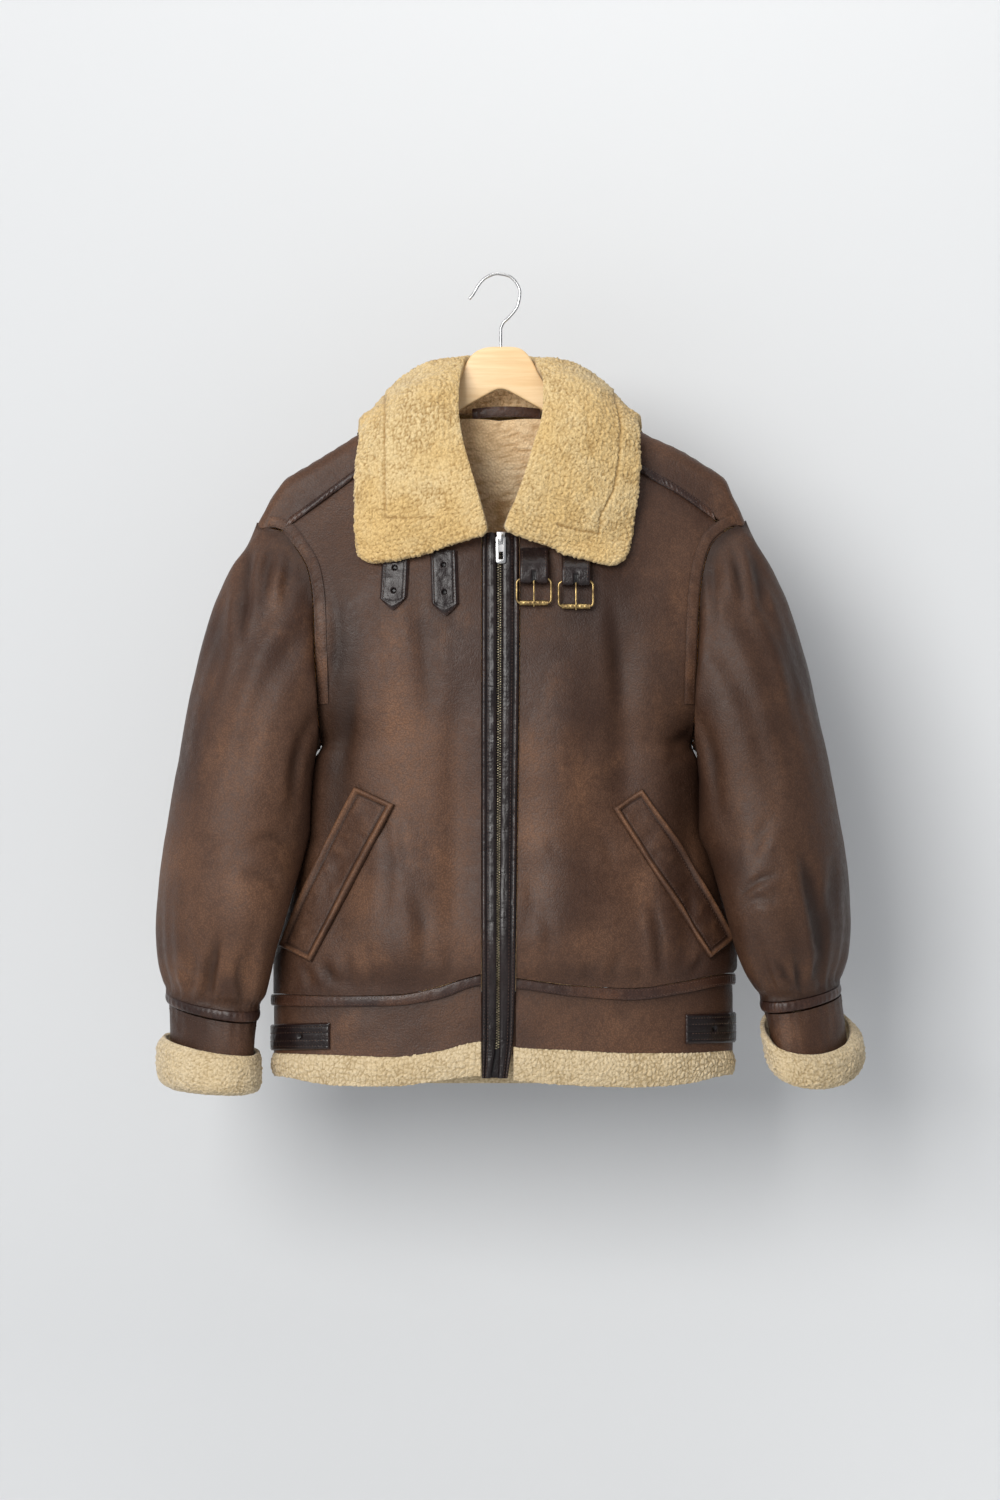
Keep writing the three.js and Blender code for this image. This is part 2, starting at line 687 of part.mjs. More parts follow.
// One ring of a sleeve or a cuff, seen from the front as a line from its outer to its inner end.
function ring(side, row, sides) {
  const outer = new THREE.Vector2(side * row.outX, row.outZ);
  const inner = new THREE.Vector2(side * row.inX, row.inZ);
  const middle = outer.clone().add(inner).multiplyScalar(0.5);
  const half = outer.clone().sub(inner).multiplyScalar(0.5);
  const inwards = new THREE.Vector2(-side, 0);
  return Array.from({ length: sides }, (_, i) => {
    const angle = (i / sides) * 2 * Math.PI;
    const depth = Math.sin(angle);
    const squared = Math.sign(depth) * Math.abs(depth) ** 0.85;
    let gather = 0;
    for (const pleat of SLEEVE_PLEATS) {
      const turn = Math.abs(((i / sides) * 360 - pleat + 540) % 360 - 180);
      gather -= (row.pleat || 0) * Math.exp(-((turn / PLEAT_WIDTH) ** 2));
    }
    const reach = 1 + gather / half.length();
    const seen = middle.clone().addScaledVector(half, Math.cos(angle) * reach);
    const bow = (row.bow || 0) * (depth > 0 ? 1 : BACK_BOW);
    seen.addScaledVector(inwards, bow * depth * depth);
    const deep = squared > 0 ? -squared * row.front * (1 + gather / row.front) : -squared * row.back;
    const forward = ((row.ahead || 0) * (1 - Math.cos(angle))) / 2;
    return placed(seen.x, deep - forward, seen.y - row.tilt * depth);
  });
}

function sleeve(side) {
  const rings = [armholeRing(side, 1.2), ...SLEEVES[side].map((row) => ring(side, row, SLEEVE_SIDES))];
  add(`sleeve_${SIDE_NAME[side]}`, wall(rings, { closed: true, turned: side === RIGHT }), "leather");
}

// Cuffs: a raised welt, a leather band and the turned-back fleece.
const CUFF_SIDES = 20;

function cuffs(side) {
  const rows = CUFFS[side];
  const name = SIDE_NAME[side];
  const made = (row) => ring(side, row, CUFF_SIDES);
  const turned = side === RIGHT;
  add(`cuff_welt_${name}`, wall(rows.welt.map(made), { closed: true, thick: SKIN, turned }), "trim");
  add(`cuff_band_${name}`, wall(rows.band.map(made), { closed: true, thick: SKIN, turned }), "leather");
  const thick = (i, j) => 11 - 5 * Math.abs(2 * j - 1);
  add(`cuff_fleece_${name}`, wall(rows.fleece.map(made), { closed: true, thick, turned }), "fleece");
}

// Bands round the foot of the body, as pieces of the front and of the back.
const BANDS = [
  { name: "waist_welt", from: "waist", to: "band", rows: 1, lift: 2.5, thick: SKIN + 1, finish: "trim" },
  { name: "waistband", from: "band", to: "fleece", rows: 2, lift: 0, thick: SKIN, finish: "leather" },
  { name: "hem_fleece", from: "fleece", to: "hem", rows: 3, lift: 4, thick: 15, finish: "fleece" },
];

function band({ name, from, to, rows, lift, thick, finish }, face, side) {
  const columns = face === FRONT ? 10 : 20;
  const round = name === "hem_fleece";
  const points = grid(columns, rows, (across, up) => {
    let x;
    if (face === FRONT) {
      const edge = placketEdge(side, bottomZ(from, 0)) + side * 0.8;
      x = THREE.MathUtils.lerp(side * halfWidth(BAND_HEIGHT, side), edge, clusterAtSide(across));
    } else {
      const angle = (across - 0.5) * Math.PI;
      x = halfWidth(BAND_HEIGHT, angle < 0 ? LEFT : RIGHT) * Math.sin(angle);
    }
    const top = bandEdge(from, x, face) - SEAM_GAP;
    const foot = bandEdge(to, x, face);
    const z = THREE.MathUtils.lerp(foot, top, up);
    return onBand(x, z, face);
  });
  const seamEdges = face === FRONT ? (i) => i === 0 : (i) => i === 0 || i === columns;
  const bulge = (i, j) => (round ? lift * Math.sin(Math.PI * (0.15 + 0.7 * j)) - 1.5 : lift);
  const depth = (i, j) => (round ? thick - 9 * Math.abs(2 * j - 1) ** 2 : thick);
  const label = face === FRONT ? SIDE_NAME[side] : "back";
  const turned = face === FRONT ? side === RIGHT : true;
  add(`${name}_${label}`, wall(points, { lift: bulge, thick: depth, seamEdges, turned }), finish);
}

// Collar: a thick leaf that rolls over the neck seam, in three pieces, and the stand inside it.
function leaf(name, rows, side, mirrored, columns) {
  const smooth = (column) => {
    const curve = new THREE.SplineCurve(rows.map((row, i) => new THREE.Vector2(i, row[column])));
    return (part) => curve.getPoint(part).y;
  };
  const reading = Object.fromEntries(COLLAR_COLUMNS.map((column) => [column, smooth(column)]));
  const build = (across, along) => {
    const part = mirrored ? Math.abs(2 * along - 1) : along;
    const sign = mirrored ? Math.sign(2 * along - 1) || 1 : side;
    const at = (column) => reading[column](mirrored ? 1 - part : part);
    const x = sign * THREE.MathUtils.lerp(at("rollX"), at("edgeX"), across);
    const bow = 4 * across * (1 - across);
    let z = THREE.MathUtils.lerp(at("rollZ"), at("edgeZ"), across) - bow * at("sag");
    const straight = THREE.MathUtils.lerp(at("rollY"), at("edgeY"), across);
    const face = straight < 0 ? FRONT : BACK;
    let y = straight + face * bow * at("lift");
    if (z > shoulderZ(x) - 8) {
      const overShoulder = 1 - THREE.MathUtils.smoothstep(Math.abs(y), 14, 34);
      z = Math.max(z, shoulderZ(x) - 8 + overShoulder * (COLLAR_THICK + COLLAR_CLEAR + 8));
    }
    if (z < shoulderZ(x) + 4) {
      const clear = face * (bodyDepth(x, z, face) + COLLAR_THICK + COLLAR_CLEAR);
      y = face === FRONT ? Math.min(y, clear) : Math.max(y, clear);
    }
    return placed(x, y, z);
  };
  const points = grid(8, columns, build);
  const nearEdge = (i) => Math.abs(2 * i - 1) ** 3;
  const thick = (i) => COLLAR_THICK - 5 * nearEdge(i);
  const lift = (i) => -2 * nearEdge(i);
  add(name, wall(points, { thick, lift, turned: !mirrored && side === LEFT }), "fleece");
}

// The stand: the part of the collar inside the roll, from the neck seam up.
function stand() {
  const otherHalf = STAND.slice(0, -1).reverse();
  const edge = (end) => {
    const at = (row, side) => placed(side * row[end + "X"], row[end + "Y"], row[end + "Z"]);
    const stations = [...STAND.map((row) => at(row, RIGHT)), ...otherHalf.map((row) => at(row, LEFT))];
    return new THREE.CatmullRomCurve3(stations);
  };
  const foot = edge("foot");
  const top = edge("top");
  const points = grid(18, 2, (across, up) => foot.getPoint(across).lerp(top.getPoint(across), up));
  add("collar_stand", wall(points, { thick: SKIN }), "lining");
}

// Hanger: a flat wooden body with sloping arms, and its wire hook.
const WOOD_THICK = 10;
const WOOD_OUTLINE = [
  [-15, -75.6], [21, -75.6], [29, -82], [36, -94.5], [45, -112], [90, -150],
  [216, -229], [226, -238], [222, -250], [212, -252],
  [120, -193], [43, -141], [1, -117.6], [-44, -143], [-112, -190],
  [-199, -249], [-209, -248], [-213, -238], [-205, -228],
  [-84, -149], [-43, -110], [-34, -89], [-28, -81],
];
const WOOD_BEVEL = 2;
const HOOK_WIRE = 1.6; // radius
const HOOK_STEM = 0.8; // x of the straight stem
const HOOK_PATH = [
  [-32, -25], [-28, -20], [-22, -10], [-13.5, -2], [-3, 1.4], [8, -0.5], [17, -8],
  [21, -18], [19, -31], [10, -44], [2.5, -52], [HOOK_STEM, -62], [HOOK_STEM, -88],
];

function extruded(shape, depth, bevel = 0) {
  return new THREE.ExtrudeGeometry(shape, {
    depth: depth - 2 * bevel,
    bevelEnabled: bevel > 0,
    bevelThickness: bevel,
    bevelSize: bevel,
    bevelOffset: -bevel,
    bevelSegments: 1,
    curveSegments: 6,
  });
}

// Stands an extrusion drawn in x and z upright, with its thickness centred on y.
function upright(geometry, depth, bevel, y) {
  geometry.translate(0, 0, bevel - depth / 2);
  geometry.rotateX(Math.PI / 2);
  geometry.translate(0, y, 0);
  return geometry;
}

function hanger() {
  const outline = new THREE.Shape(WOOD_OUTLINE.map(([x, z]) => new THREE.Vector2(x, z)));
  const wood = upright(extruded(outline, WOOD_THICK, WOOD_BEVEL), WOOD_THICK, WOOD_BEVEL, 0);
  const stations = HOOK_PATH.map(([x, z]) => new THREE.Vector3(x, 0, z));
  const route = new THREE.CatmullRomCurve3(stations, false, "centripetal");
  const section = new THREE.Shape();
  section.absarc(0, 0, HOOK_WIRE, 0, 2 * Math.PI);
  const hook = new THREE.ExtrudeGeometry(section, { steps: 20, curveSegments: 4, extrudePath: route });
  const bore = new THREE.CylinderGeometry(HOOK_WIRE + SEAM_GAP, HOOK_WIRE + SEAM_GAP, 20, 12);
  bore.rotateX(Math.PI / 2);
  bore.translate(HOOK_STEM, 0, -80);
  add("hanger_wood", shapeOf(solid(wood).subtract(solid(bore))), "wood");
  add("hanger_hook", shapeOf(solid(hook)), "steel");
}

// The hanging loop inside the back of the neck, which stands off the lining in the middle.
function hangingLoop() {
  const points = grid(10, 1, (across, up) => {
    const x = THREE.MathUtils.lerp(-29, 42, across);
    const arch = Math.sin(across * Math.PI);
    return placed(x, 23 - 3 * arch, -151 + 10.5 * up + 2.5 * arch);
  });
  add("hanging_loop", wall(points, { thick: 2 }), "trim");
}

// Welts over the yoke and armhole seams
const WELT_WIDTH = 11.5;

function shoulderWelt(side) {
  const xs = [96, 125, 157, 180, 205, 223];
  const line = (half) => xs.map((x) => [side * (x - half * 0.4), yokeZ(side * x) + half]);
  const lines = [line(-WELT_WIDTH / 2), line(WELT_WIDTH / 2)];
  strip(`shoulder_welt_${SIDE_NAME[side]}`, lines, FRONT, [10, 1], { lift: 0.8 + TRIM, thick: TRIM }, "trim");
}

function armholeWelt(side, face) {
  const armhole = ARMHOLES[side];
  const edge = (face === FRONT ? armhole.front : armhole.back).slice(0, -1);
  const curve = smoothLine(edge);
  const line = (inset) => Array.from({ length: 15 }, (_, i) => {
    const at = curve.getPointAt(i / 14);
    const along = curve.getTangentAt(i / 14);
    const inwards = new THREE.Vector2(side * along.y, -side * along.x);
    return [at.x + inwards.x * inset, at.y + inwards.y * inset];
  });
  const lines = [line(WELT_WIDTH + 1), line(1.5)];
  const options = { lift: 0.8 + TRIM, thick: TRIM };
  const place = face === FRONT ? "front" : "back";
  strip(`armhole_welt_${place}_${SIDE_NAME[side]}`, lines, face, [16, 1], options, "trim");
}

// Plackets and zip
function placket(side) {
  const columns = side === LEFT ? ["leftOut", "leftIn"] : ["rightOut", "rightIn"];
  const [outer, inner] = columns.map((column) => PLACKETS.map((row) => [row[column], row.z]).reverse());
  const lines = side === LEFT ? [outer, inner] : [inner, outer];
  const [first, last] = lines.map(polyline);
  const points = grid(2, 14, (across, up) => {
    const a = first.getPointAt(up);
    const b = last.getPointAt(up);
    return onBody(THREE.MathUtils.lerp(a.x, b.x, across), THREE.MathUtils.lerp(a.y, b.y, up), FRONT);
  });
  add(`placket_${SIDE_NAME[side]}`, wall(points, { lift: 5, thick: 4 }), "trim");
}

const ZIP = { half: 9, top: NECK_POINT, foot: -843, thick: 2.5 };

function zipTape() {
  const points = grid(2, 14, (across, up) => {
    const z = THREE.MathUtils.lerp(ZIP.foot, ZIP.top, up);
    const centre = (read(PLACKETS, "z", "leftIn", z) + read(PLACKETS, "z", "rightIn", z)) / 2;
    const x = centre + THREE.MathUtils.lerp(-ZIP.half, ZIP.half, across);
    return onBody(x, z, FRONT);
  });
  add("zip_tape", wall(points, { lift: 0, thick: ZIP.thick }), "trim");
}

const SLIDER = { x: 1, z: -277, width: 9, height: 13, thick: 4, standOff: 5.8 };
const BRIDGE = { width: 4, out: 4.6, half: 4, holeOut: 3.2, holeHalf: 2.4 }; // over the pull's top bar
const PULL = { width: 10, length: 27, thick: 2, bar: 1, slot: 5.4, slotFoot: 6.6 };
const PULL_WINDOW = { width: 4.5, height: 8, z: -18 };

function box(width, depth, height, y, z) {
  const geometry = new THREE.BoxGeometry(width, depth, height);
  geometry.translate(0, y, z);
  return solid(geometry);
}

// The slider's body with a bridge on its front; the pull's top bar turns under the bridge.
function slider() {
  const surface = onBody(SLIDER.x, SLIDER.z, FRONT);
  const y = surface.y - SLIDER.standOff - SLIDER.thick / 2;
  const outline = new THREE.Shape();
  const w = SLIDER.width / 2;
  const h = SLIDER.height / 2;
  outline.moveTo(-w, h).lineTo(-w * 0.7, -h).lineTo(w * 0.7, -h).lineTo(w, h).closePath();
  const face = -SLIDER.thick / 2;
  const body = solid(upright(extruded(outline, SLIDER.thick), SLIDER.thick, 0, 0));
  const bridge = box(BRIDGE.width, BRIDGE.out + 1, 2 * BRIDGE.half, face - (BRIDGE.out - 1) / 2, 0);
  const gap = box(BRIDGE.width + 2, BRIDGE.holeOut, 2 * BRIDGE.holeHalf, face - BRIDGE.holeOut / 2, 0);
  const made = shapeOf(body.add(bridge.subtract(gap)));
  made.translate(surface.x, y, surface.z);
  add("zip_slider", made, "steel");
  const half = PULL.width / 2;
  const corner = 3;
  const foot = PULL.bar - PULL.length;
  const tab = new THREE.Shape();
  tab.moveTo(-half, PULL.bar).lineTo(half, PULL.bar).lineTo(half, foot + corner);
  tab.quadraticCurveTo(half, foot, half - corner, foot).lineTo(corner - half, foot);
  tab.quadraticCurveTo(-half, foot, -half, foot + corner).closePath();
  const slotTall = PULL.slotFoot - PULL.bar;
  const pull = shapeOf(
    solid(upright(extruded(tab, PULL.thick), PULL.thick, 0, 0))
      .subtract(box(PULL.slot, 20, slotTall, 0, -PULL.bar - slotTall / 2))
      .subtract(box(PULL_WINDOW.width, 20, PULL_WINDOW.height, 0, PULL_WINDOW.z)),
  );
  pull.translate(surface.x, y + face - BRIDGE.holeOut / 2, surface.z);
  add("zip_pull", pull, "steel");
}

// Straps and buckles
function pointedStrap({ name, topX, topZ, endX, endZ, width }) {
  const half = width / 2;
  const points = grid(4, 8, (across, up) => {
    const point = 1 - Math.min(1, up / 0.25);
    const sideways = (2 * across - 1) * half;
    const x = THREE.MathUtils.lerp(endX, topX, up) + sideways;
    const shortened = point * Math.abs(2 * across - 1) * 13;
    const z = THREE.MathUtils.lerp(endZ, topZ, up) + shortened;
    return onBody(x, z, FRONT);
  });
  const band = solid(wall(points, { lift: 4.5, thick: 3.6 }));
  const holes = [0.36, 0.78].map((up) => {
    const x = THREE.MathUtils.lerp(endX, topX, up);
    const z = THREE.MathUtils.lerp(endZ, topZ, up);
    const punch = new THREE.CylinderGeometry(STRAP_HOLE, STRAP_HOLE, 60, 10);
    const at = onBody(x, z, FRONT);
    punch.translate(at.x, at.y, at.z);
    return solid(punch);
  });
  add(name, shapeOf(holes.reduce((body, punch) => body.subtract(punch), band)), "trim");
}

// A closed ring of round wire along a rectangle with rounded corners, upright in x and z.
function wireFrame(width, height, corner, radius) {
  const outline = new THREE.Shape();
  const w = width / 2 - radius;
  const h = height - 2 * radius;
  outline.moveTo(-w + corner, 0).lineTo(w - corner, 0);
  outline.absarc(w - corner, -corner, corner, Math.PI / 2, 0, true);
  outline.lineTo(w, -h + corner).absarc(w - corner, -h + corner, corner, 0, -Math.PI / 2, true);
  outline.lineTo(-w + corner, -h).absarc(-w + corner, -h + corner, corner, -Math.PI / 2, -Math.PI, true);
  outline.lineTo(-w, -corner).absarc(-w + corner, -corner, corner, Math.PI, Math.PI / 2, true);
  const path = outline.getPoints(2);
  const previous = (i) => path[(i + path.length - 1) % path.length];
  const clean = path.filter((p, i) => p.distanceTo(previous(i)) > 0.01);
  const sides = 6;
  const positions = [];
  clean.forEach((p, i) => {
    const before = clean[(i + clean.length - 1) % clean.length];
    const after = clean[(i + 1) % clean.length];
    const into = p.clone().sub(before).normalize();
    const away = after.clone().sub(p).normalize();
    const normal = new THREE.Vector2(-(into.y + away.y), into.x + away.x).normalize();
    const mitre = 1 / Math.max(0.5, normal.dot(new THREE.Vector2(-into.y, into.x)));
    for (let k = 0; k < sides; k++) {
      const angle = (k / sides) * 2 * Math.PI;
      const inPlane = Math.cos(angle) * radius * mitre;
      positions.push(p.x + normal.x * inPlane, Math.sin(angle) * radius, p.y + normal.y * inPlane);
    }
  });
  const index = [];
  for (let i = 0; i < clean.length; i++) {
    const next = (i + 1) % clean.length;
    for (let k = 0; k < sides; k++) {
      const turn = (k + 1) % sides;
      const [a, b, c, d] = [i * sides + k, next * sides + k, next * sides + turn, i * sides + turn];
      index.push(a, b, c, a, c, d);
    }
  }
  const geometry = new THREE.BufferGeometry();
  geometry.setAttribute("position", new THREE.Float32BufferAttribute(positions, 3));
  geometry.setIndex(index);
  return geometry;
}

// A shape drawn in y and z, made long in x and centred on it.
function alongX(shape, length) {
  const options = { depth: length, bevelEnabled: false, curveSegments: 10 };
  const geometry = new THREE.ExtrudeGeometry(shape, options);
  geometry.translate(0, 0, -length / 2);
  geometry.applyMatrix4(new THREE.Matrix4().set(0, 0, 1, 0, 1, 0, 0, 0, 0, 1, 0, 0, 0, 0, 0, 1));
  return geometry;
}

function disc(radius) {
  const shape = new THREE.Shape();
  shape.absarc(0, 0, radius, 0, 2 * Math.PI);
  return shape;
}

function buckleStrap({ name, x, top, bar, width, frame, drop }) {
  const surface = onBody(x, bar, FRONT);
  const eye = new THREE.Vector3(surface.x, surface.y - STRAP_EYE - EYE_CLEAR, surface.z);
  const upper = onBody(x, top, FRONT);
  // Strap: folded round the bar, with a slot for the prong
  const dy = upper.y - eye.y - 4.2;
  const dz = upper.z - eye.z;
  const tongue = new THREE.Shape();
  tongue.moveTo(-STRAP_EYE + 0.6, 0).lineTo(dy - 2.6, dz).lineTo(dy + 2.6, dz);
  tongue.lineTo(STRAP_EYE - 0.6, 0).closePath();
  let strap = solid(alongX(tongue, width)).add(solid(alongX(disc(STRAP_EYE), width)));
  strap = strap.subtract(solid(alongX(disc(STRAP_EYE_HOLE), width + 2)));
  const slot = new THREE.BoxGeometry(5, 14, 13);
  slot.translate(0, 0, 0.5);
  strap = strap.subtract(solid(slot));
  const parts = [
    [`strap_buckled_${name}`, shapeOf(strap), "trim"],
    [`buckle_frame_${name}`, shapeOf(solid(wireFrame(frame, drop, 4, BUCKLE_WIRE))), "brass"],
  ];
  // Prong: an eye on the bar and an arm that rests on the roller
  const barDrop = drop - 2 * BUCKLE_WIRE;
  const arm = new THREE.Shape();
  const reach = -barDrop - ROLLER.outer - 1.5;
  const front = -ROLLER.outer - 0.5;
  arm.moveTo(-1.9, -0.5).lineTo(front, -barDrop + 5).lineTo(front, reach);
  arm.lineTo(front - PRONG.thick, reach + 1).lineTo(front - PRONG.thick, -barDrop + 5).lineTo(-2.9, 1.2);
  const prong = solid(alongX(disc(PRONG.eye), PRONG.width))
    .add(solid(alongX(arm, PRONG.width)))
    .subtract(solid(alongX(disc(PRONG.hole), PRONG.width + 2)));
  parts.push([`buckle_prong_${name}`, shapeOf(prong), "brass"]);
  const roller = solid(alongX(disc(ROLLER.outer), ROLLER.length))
    .subtract(solid(alongX(disc(ROLLER.inner), ROLLER.length + 2)));
  const rollerShape = shapeOf(roller);
  rollerShape.translate(0, 0, -barDrop);
  parts.push([`buckle_roller_${name}`, rollerShape, "brass"]);
  for (const [node, geometry, finish] of parts) {
    geometry.translate(eye.x, eye.y, eye.z);
    add(node, geometry, finish);
  }
}

// Pocket welts: a slanted frame whose piping stands above its inner panel.
function pocket(side) {
  const [a, b, c, d] = POCKETS[side].map(([x, z]) => new THREE.Vector2(x, z));
  const bow = side * 4;
  const points = grid(5, 8, (across, up) => {
    const high = a.clone().lerp(b, across);
    const low = d.clone().lerp(c, across);
    const at = low.lerp(high, up);
    const outerBow = (1 - across) * bow * Math.sin(up * Math.PI);
    return onBody(at.x + outerBow, at.y, FRONT);
  });
  const [inner, outer] = [0.75, 0.25];
  const raised = (i, j) => {
    const edge = i > inner || i < outer || j > 0.93 || j < 0.07;
    return edge ? 6.8 : 4.6;
  };
  const thick = (i, j) => raised(i, j) - 2.4;
  add(`pocket_${SIDE_NAME[side]}`, wall(points, { lift: raised, thick, turned: side === RIGHT }), "leather");
}

// Side tabs: adjusting straps on the waistband, from the front round to the back.
function sideTab(side) {
  const tab = TABS[side];
  const reach = halfWidth(BAND_HEIGHT, side);
  const points = grid(12, 2, (across, up) => {
    const turn = THREE.MathUtils.lerp(Math.asin(Math.abs(tab.inner) / reach), Math.PI - 0.95, across);
    const x = side * reach * Math.sin(turn);
    const face = turn > Math.PI / 2 ? BACK : FRONT;
    const top = THREE.MathUtils.lerp(...tab.top, across);
    const foot = THREE.MathUtils.lerp(...tab.foot, across);
    return onBand(x, THREE.MathUtils.lerp(foot, top, up), face);
  });
  add(`side_tab_${SIDE_NAME[side]}`, wall(points, { lift: 3.6, thick: TRIM, turned: side === LEFT }), "trim");
}

// Sewn edges: a piece is cut back where its neighbour, moved by a little more than the seam
// gap, reaches into it.
function trim(name, neighbour, shift) {
  const mesh = coat.getObjectByName(name);
  const unmoved = solid(coat.getObjectByName(neighbour).geometry);
  const cutter = unmoved.translate(shift);
  const pieces = solid(mesh.geometry).subtract(unmoved).subtract(cutter).decompose();
  pieces.sort((p, q) => q.volume() - p.volume());
  mesh.geometry = shapeOf(pieces[0]);
}

frontPanel(LEFT);
frontPanel(RIGHT);
backPanel();
stand();
hanger();
hangingLoop();
for (const side of [LEFT, RIGHT]) {
  sleeve(side);
  cuffs(side);
  for (const row of BANDS) band(row, FRONT, side);
  leaf(`collar_${SIDE_NAME[side]}`, COLLAR[side], side, false, 10);
  shoulderWelt(side);
  armholeWelt(side, FRONT);
  armholeWelt(side, BACK);
  placket(side);
  pocket(side);
  sideTab(side);
}
for (const row of BANDS) band(row, BACK, 0);
leaf("collar_back", COLLAR_BACK, 0, true, 12);
zipTape();
slider();
STRAPS.forEach(pointedStrap);
BUCKLE_STRAPS.forEach(buckleStrap);

const CUT = 0.5; // a neighbour is cut away this much wider than it is
for (const side of [LEFT, RIGHT]) {
  const name = SIDE_NAME[side];
  const outwards = [side * CUT, 0, 0];
  trim(`front_${name}`, "back", [0, -CUT, -CUT]);
  trim(`sleeve_${name}`, `front_${name}`, outwards);
  trim(`sleeve_${name}`, "back", outwards);
  const inwards = [-side * CUT, 0, 0];
  trim(`armhole_welt_front_${name}`, `sleeve_${name}`, inwards);
  trim(`armhole_welt_back_${name}`, `sleeve_${name}`, inwards);
  trim(`shoulder_welt_${name}`, `armhole_welt_front_${name}`, inwards);
  trim(`pocket_${name}`, `sleeve_${name}`, inwards);
}
trim("collar_back", "collar_left", [CUT, 0, 0]);
trim("collar_back", "collar_right", [-CUT, 0, 0]);
trim("waist_welt_back", "back", [0, 0, -CUT]);
trim("back", "hanger_wood", [0, 0, CUT]);
trim("strap_buckled_outer", "collar_right", [0, 0, -CUT]);
trim("strap_pointed_outer", "collar_left", [0, 0, -CUT]);

export default coat;
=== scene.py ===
"""A shearling coat on a wooden hanger: the looks of every piece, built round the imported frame.

Tables and shapes are in millimetres in the coat's own frame: X to the right, -Y towards the viewer, Z up, the
origin at the inside top of the hook. They become metres when a mesh is made. Each cloth piece is a closed
shell whose outer and inner faces are the same grid of points, moved along its normals.
"""
from __future__ import annotations

import logging
import math
from dataclasses import dataclass, field
from enum import Enum
from typing import Callable, Sequence

import bmesh
import bpy
import numpy as np
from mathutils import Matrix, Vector
from mathutils.geometry import tessellate_polygon


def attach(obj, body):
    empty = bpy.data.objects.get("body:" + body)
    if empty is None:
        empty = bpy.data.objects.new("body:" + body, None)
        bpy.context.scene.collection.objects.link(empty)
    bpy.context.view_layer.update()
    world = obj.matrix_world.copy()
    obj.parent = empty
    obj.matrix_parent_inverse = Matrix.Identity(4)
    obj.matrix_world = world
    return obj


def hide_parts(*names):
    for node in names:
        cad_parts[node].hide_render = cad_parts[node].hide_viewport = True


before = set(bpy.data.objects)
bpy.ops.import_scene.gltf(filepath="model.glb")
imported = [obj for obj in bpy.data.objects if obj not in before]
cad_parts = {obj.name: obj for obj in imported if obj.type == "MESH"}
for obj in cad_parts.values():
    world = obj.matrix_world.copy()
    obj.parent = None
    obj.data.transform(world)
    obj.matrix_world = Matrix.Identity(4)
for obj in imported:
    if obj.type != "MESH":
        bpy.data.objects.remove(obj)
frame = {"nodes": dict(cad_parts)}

logging.basicConfig(level=logging.INFO, format="%(asctime)s %(message)s", datefmt="%M:%S")
log = logging.getLogger("coat")

Array = np.ndarray
MM = 0.001
SKIN = 6.0
EYE_DISTANCE = 3600.0
EYE_HEIGHT = -498.75
SHOULDER_RADIUS = 15.0
SHOULDER_DROP = 190.0
SECTION_POWER = 2.4
SEAM_GAP = 0.3
ARMPIT = -480.0
WAIST_HEIGHT = -752.0
NECK_POINT = -272.0
BAND_HEIGHT = -780.0
COLLAR_THICK = 11.0
COLLAR_CLEAR = 6.5


class Face(Enum):
    """Which face of the coat a point is on. The value is the sign of Y there."""

    FRONT = -1
    BACK = 1


class Side(Enum):
    """A side as seen from the front. The value is the sign of X there."""

    LEFT = -1
    RIGHT = 1

    @property
    def label(self) -> str:
        """The side's word in the names of pieces."""
        return self.name.lower()


def smoothstep(value: Array, low: float, high: float) -> Array:
    """3t^2 - 2t^3 of the share t of the way from low to high, held at 0 and 1."""
    t = np.clip((value - low) / (high - low), 0.0, 1.0)
    return t * t * (3.0 - 2.0 * t)


def monotone_cubic(xs: Array, ys: Array, at: Array) -> Array:
    """Cubic through points, with the weighted harmonic mean of the neighbouring rates as slopes.

    Args:
        xs: steadily rising or falling places.
        ys: values there.
        at: where to read; outside the places the end values hold.

    Returns:
        The values at those places.
    """
    order = np.argsort(xs)
    xs, ys = np.asarray(xs, float)[order], np.asarray(ys, float)[order]
    steps = np.diff(xs)
    rates = np.diff(ys) / steps
    slopes = np.zeros_like(ys)
    slopes[0], slopes[-1] = rates[0], rates[-1]
    if len(xs) > 2:
        before, after = rates[:-1], rates[1:]
        first = 2 * steps[1:] + steps[:-1]
        second = steps[1:] + 2 * steps[:-1]
        same = before * after > 0
        mean = np.zeros_like(before)
        mean[same] = (first + second)[same] / (first[same] / before[same] + second[same] / after[same])
        slopes[1:-1] = mean
    at = np.clip(at, xs[0], xs[-1])
    i = np.clip(np.searchsorted(xs, at, side="right") - 1, 0, len(xs) - 2)
    h = steps[i]
    t = (at - xs[i]) / h
    start = (1 + 2 * t) * (1 - t) ** 2 * ys[i] + t * (1 - t) ** 2 * h * slopes[i]
    return start + t * t * (3 - 2 * t) * ys[i + 1] + t * t * (t - 1) * h * slopes[i + 1]


@dataclass(frozen=True)
class Table:
    """Rows of numbers with named columns."""

    columns: str
    rows: tuple[tuple[float, ...], ...]

    def column(self, name: str) -> Array:
        """All the values of one column."""
        at = self.columns.split().index(name)
        return np.array([row[at] for row in self.rows], float)

    def read(self, by: str, name: str, value: Array) -> Array:
        """Reads column name where column by has a value, along a monotone cubic."""
        return monotone_cubic(self.column(by), self.column(name), np.asarray(value, float))


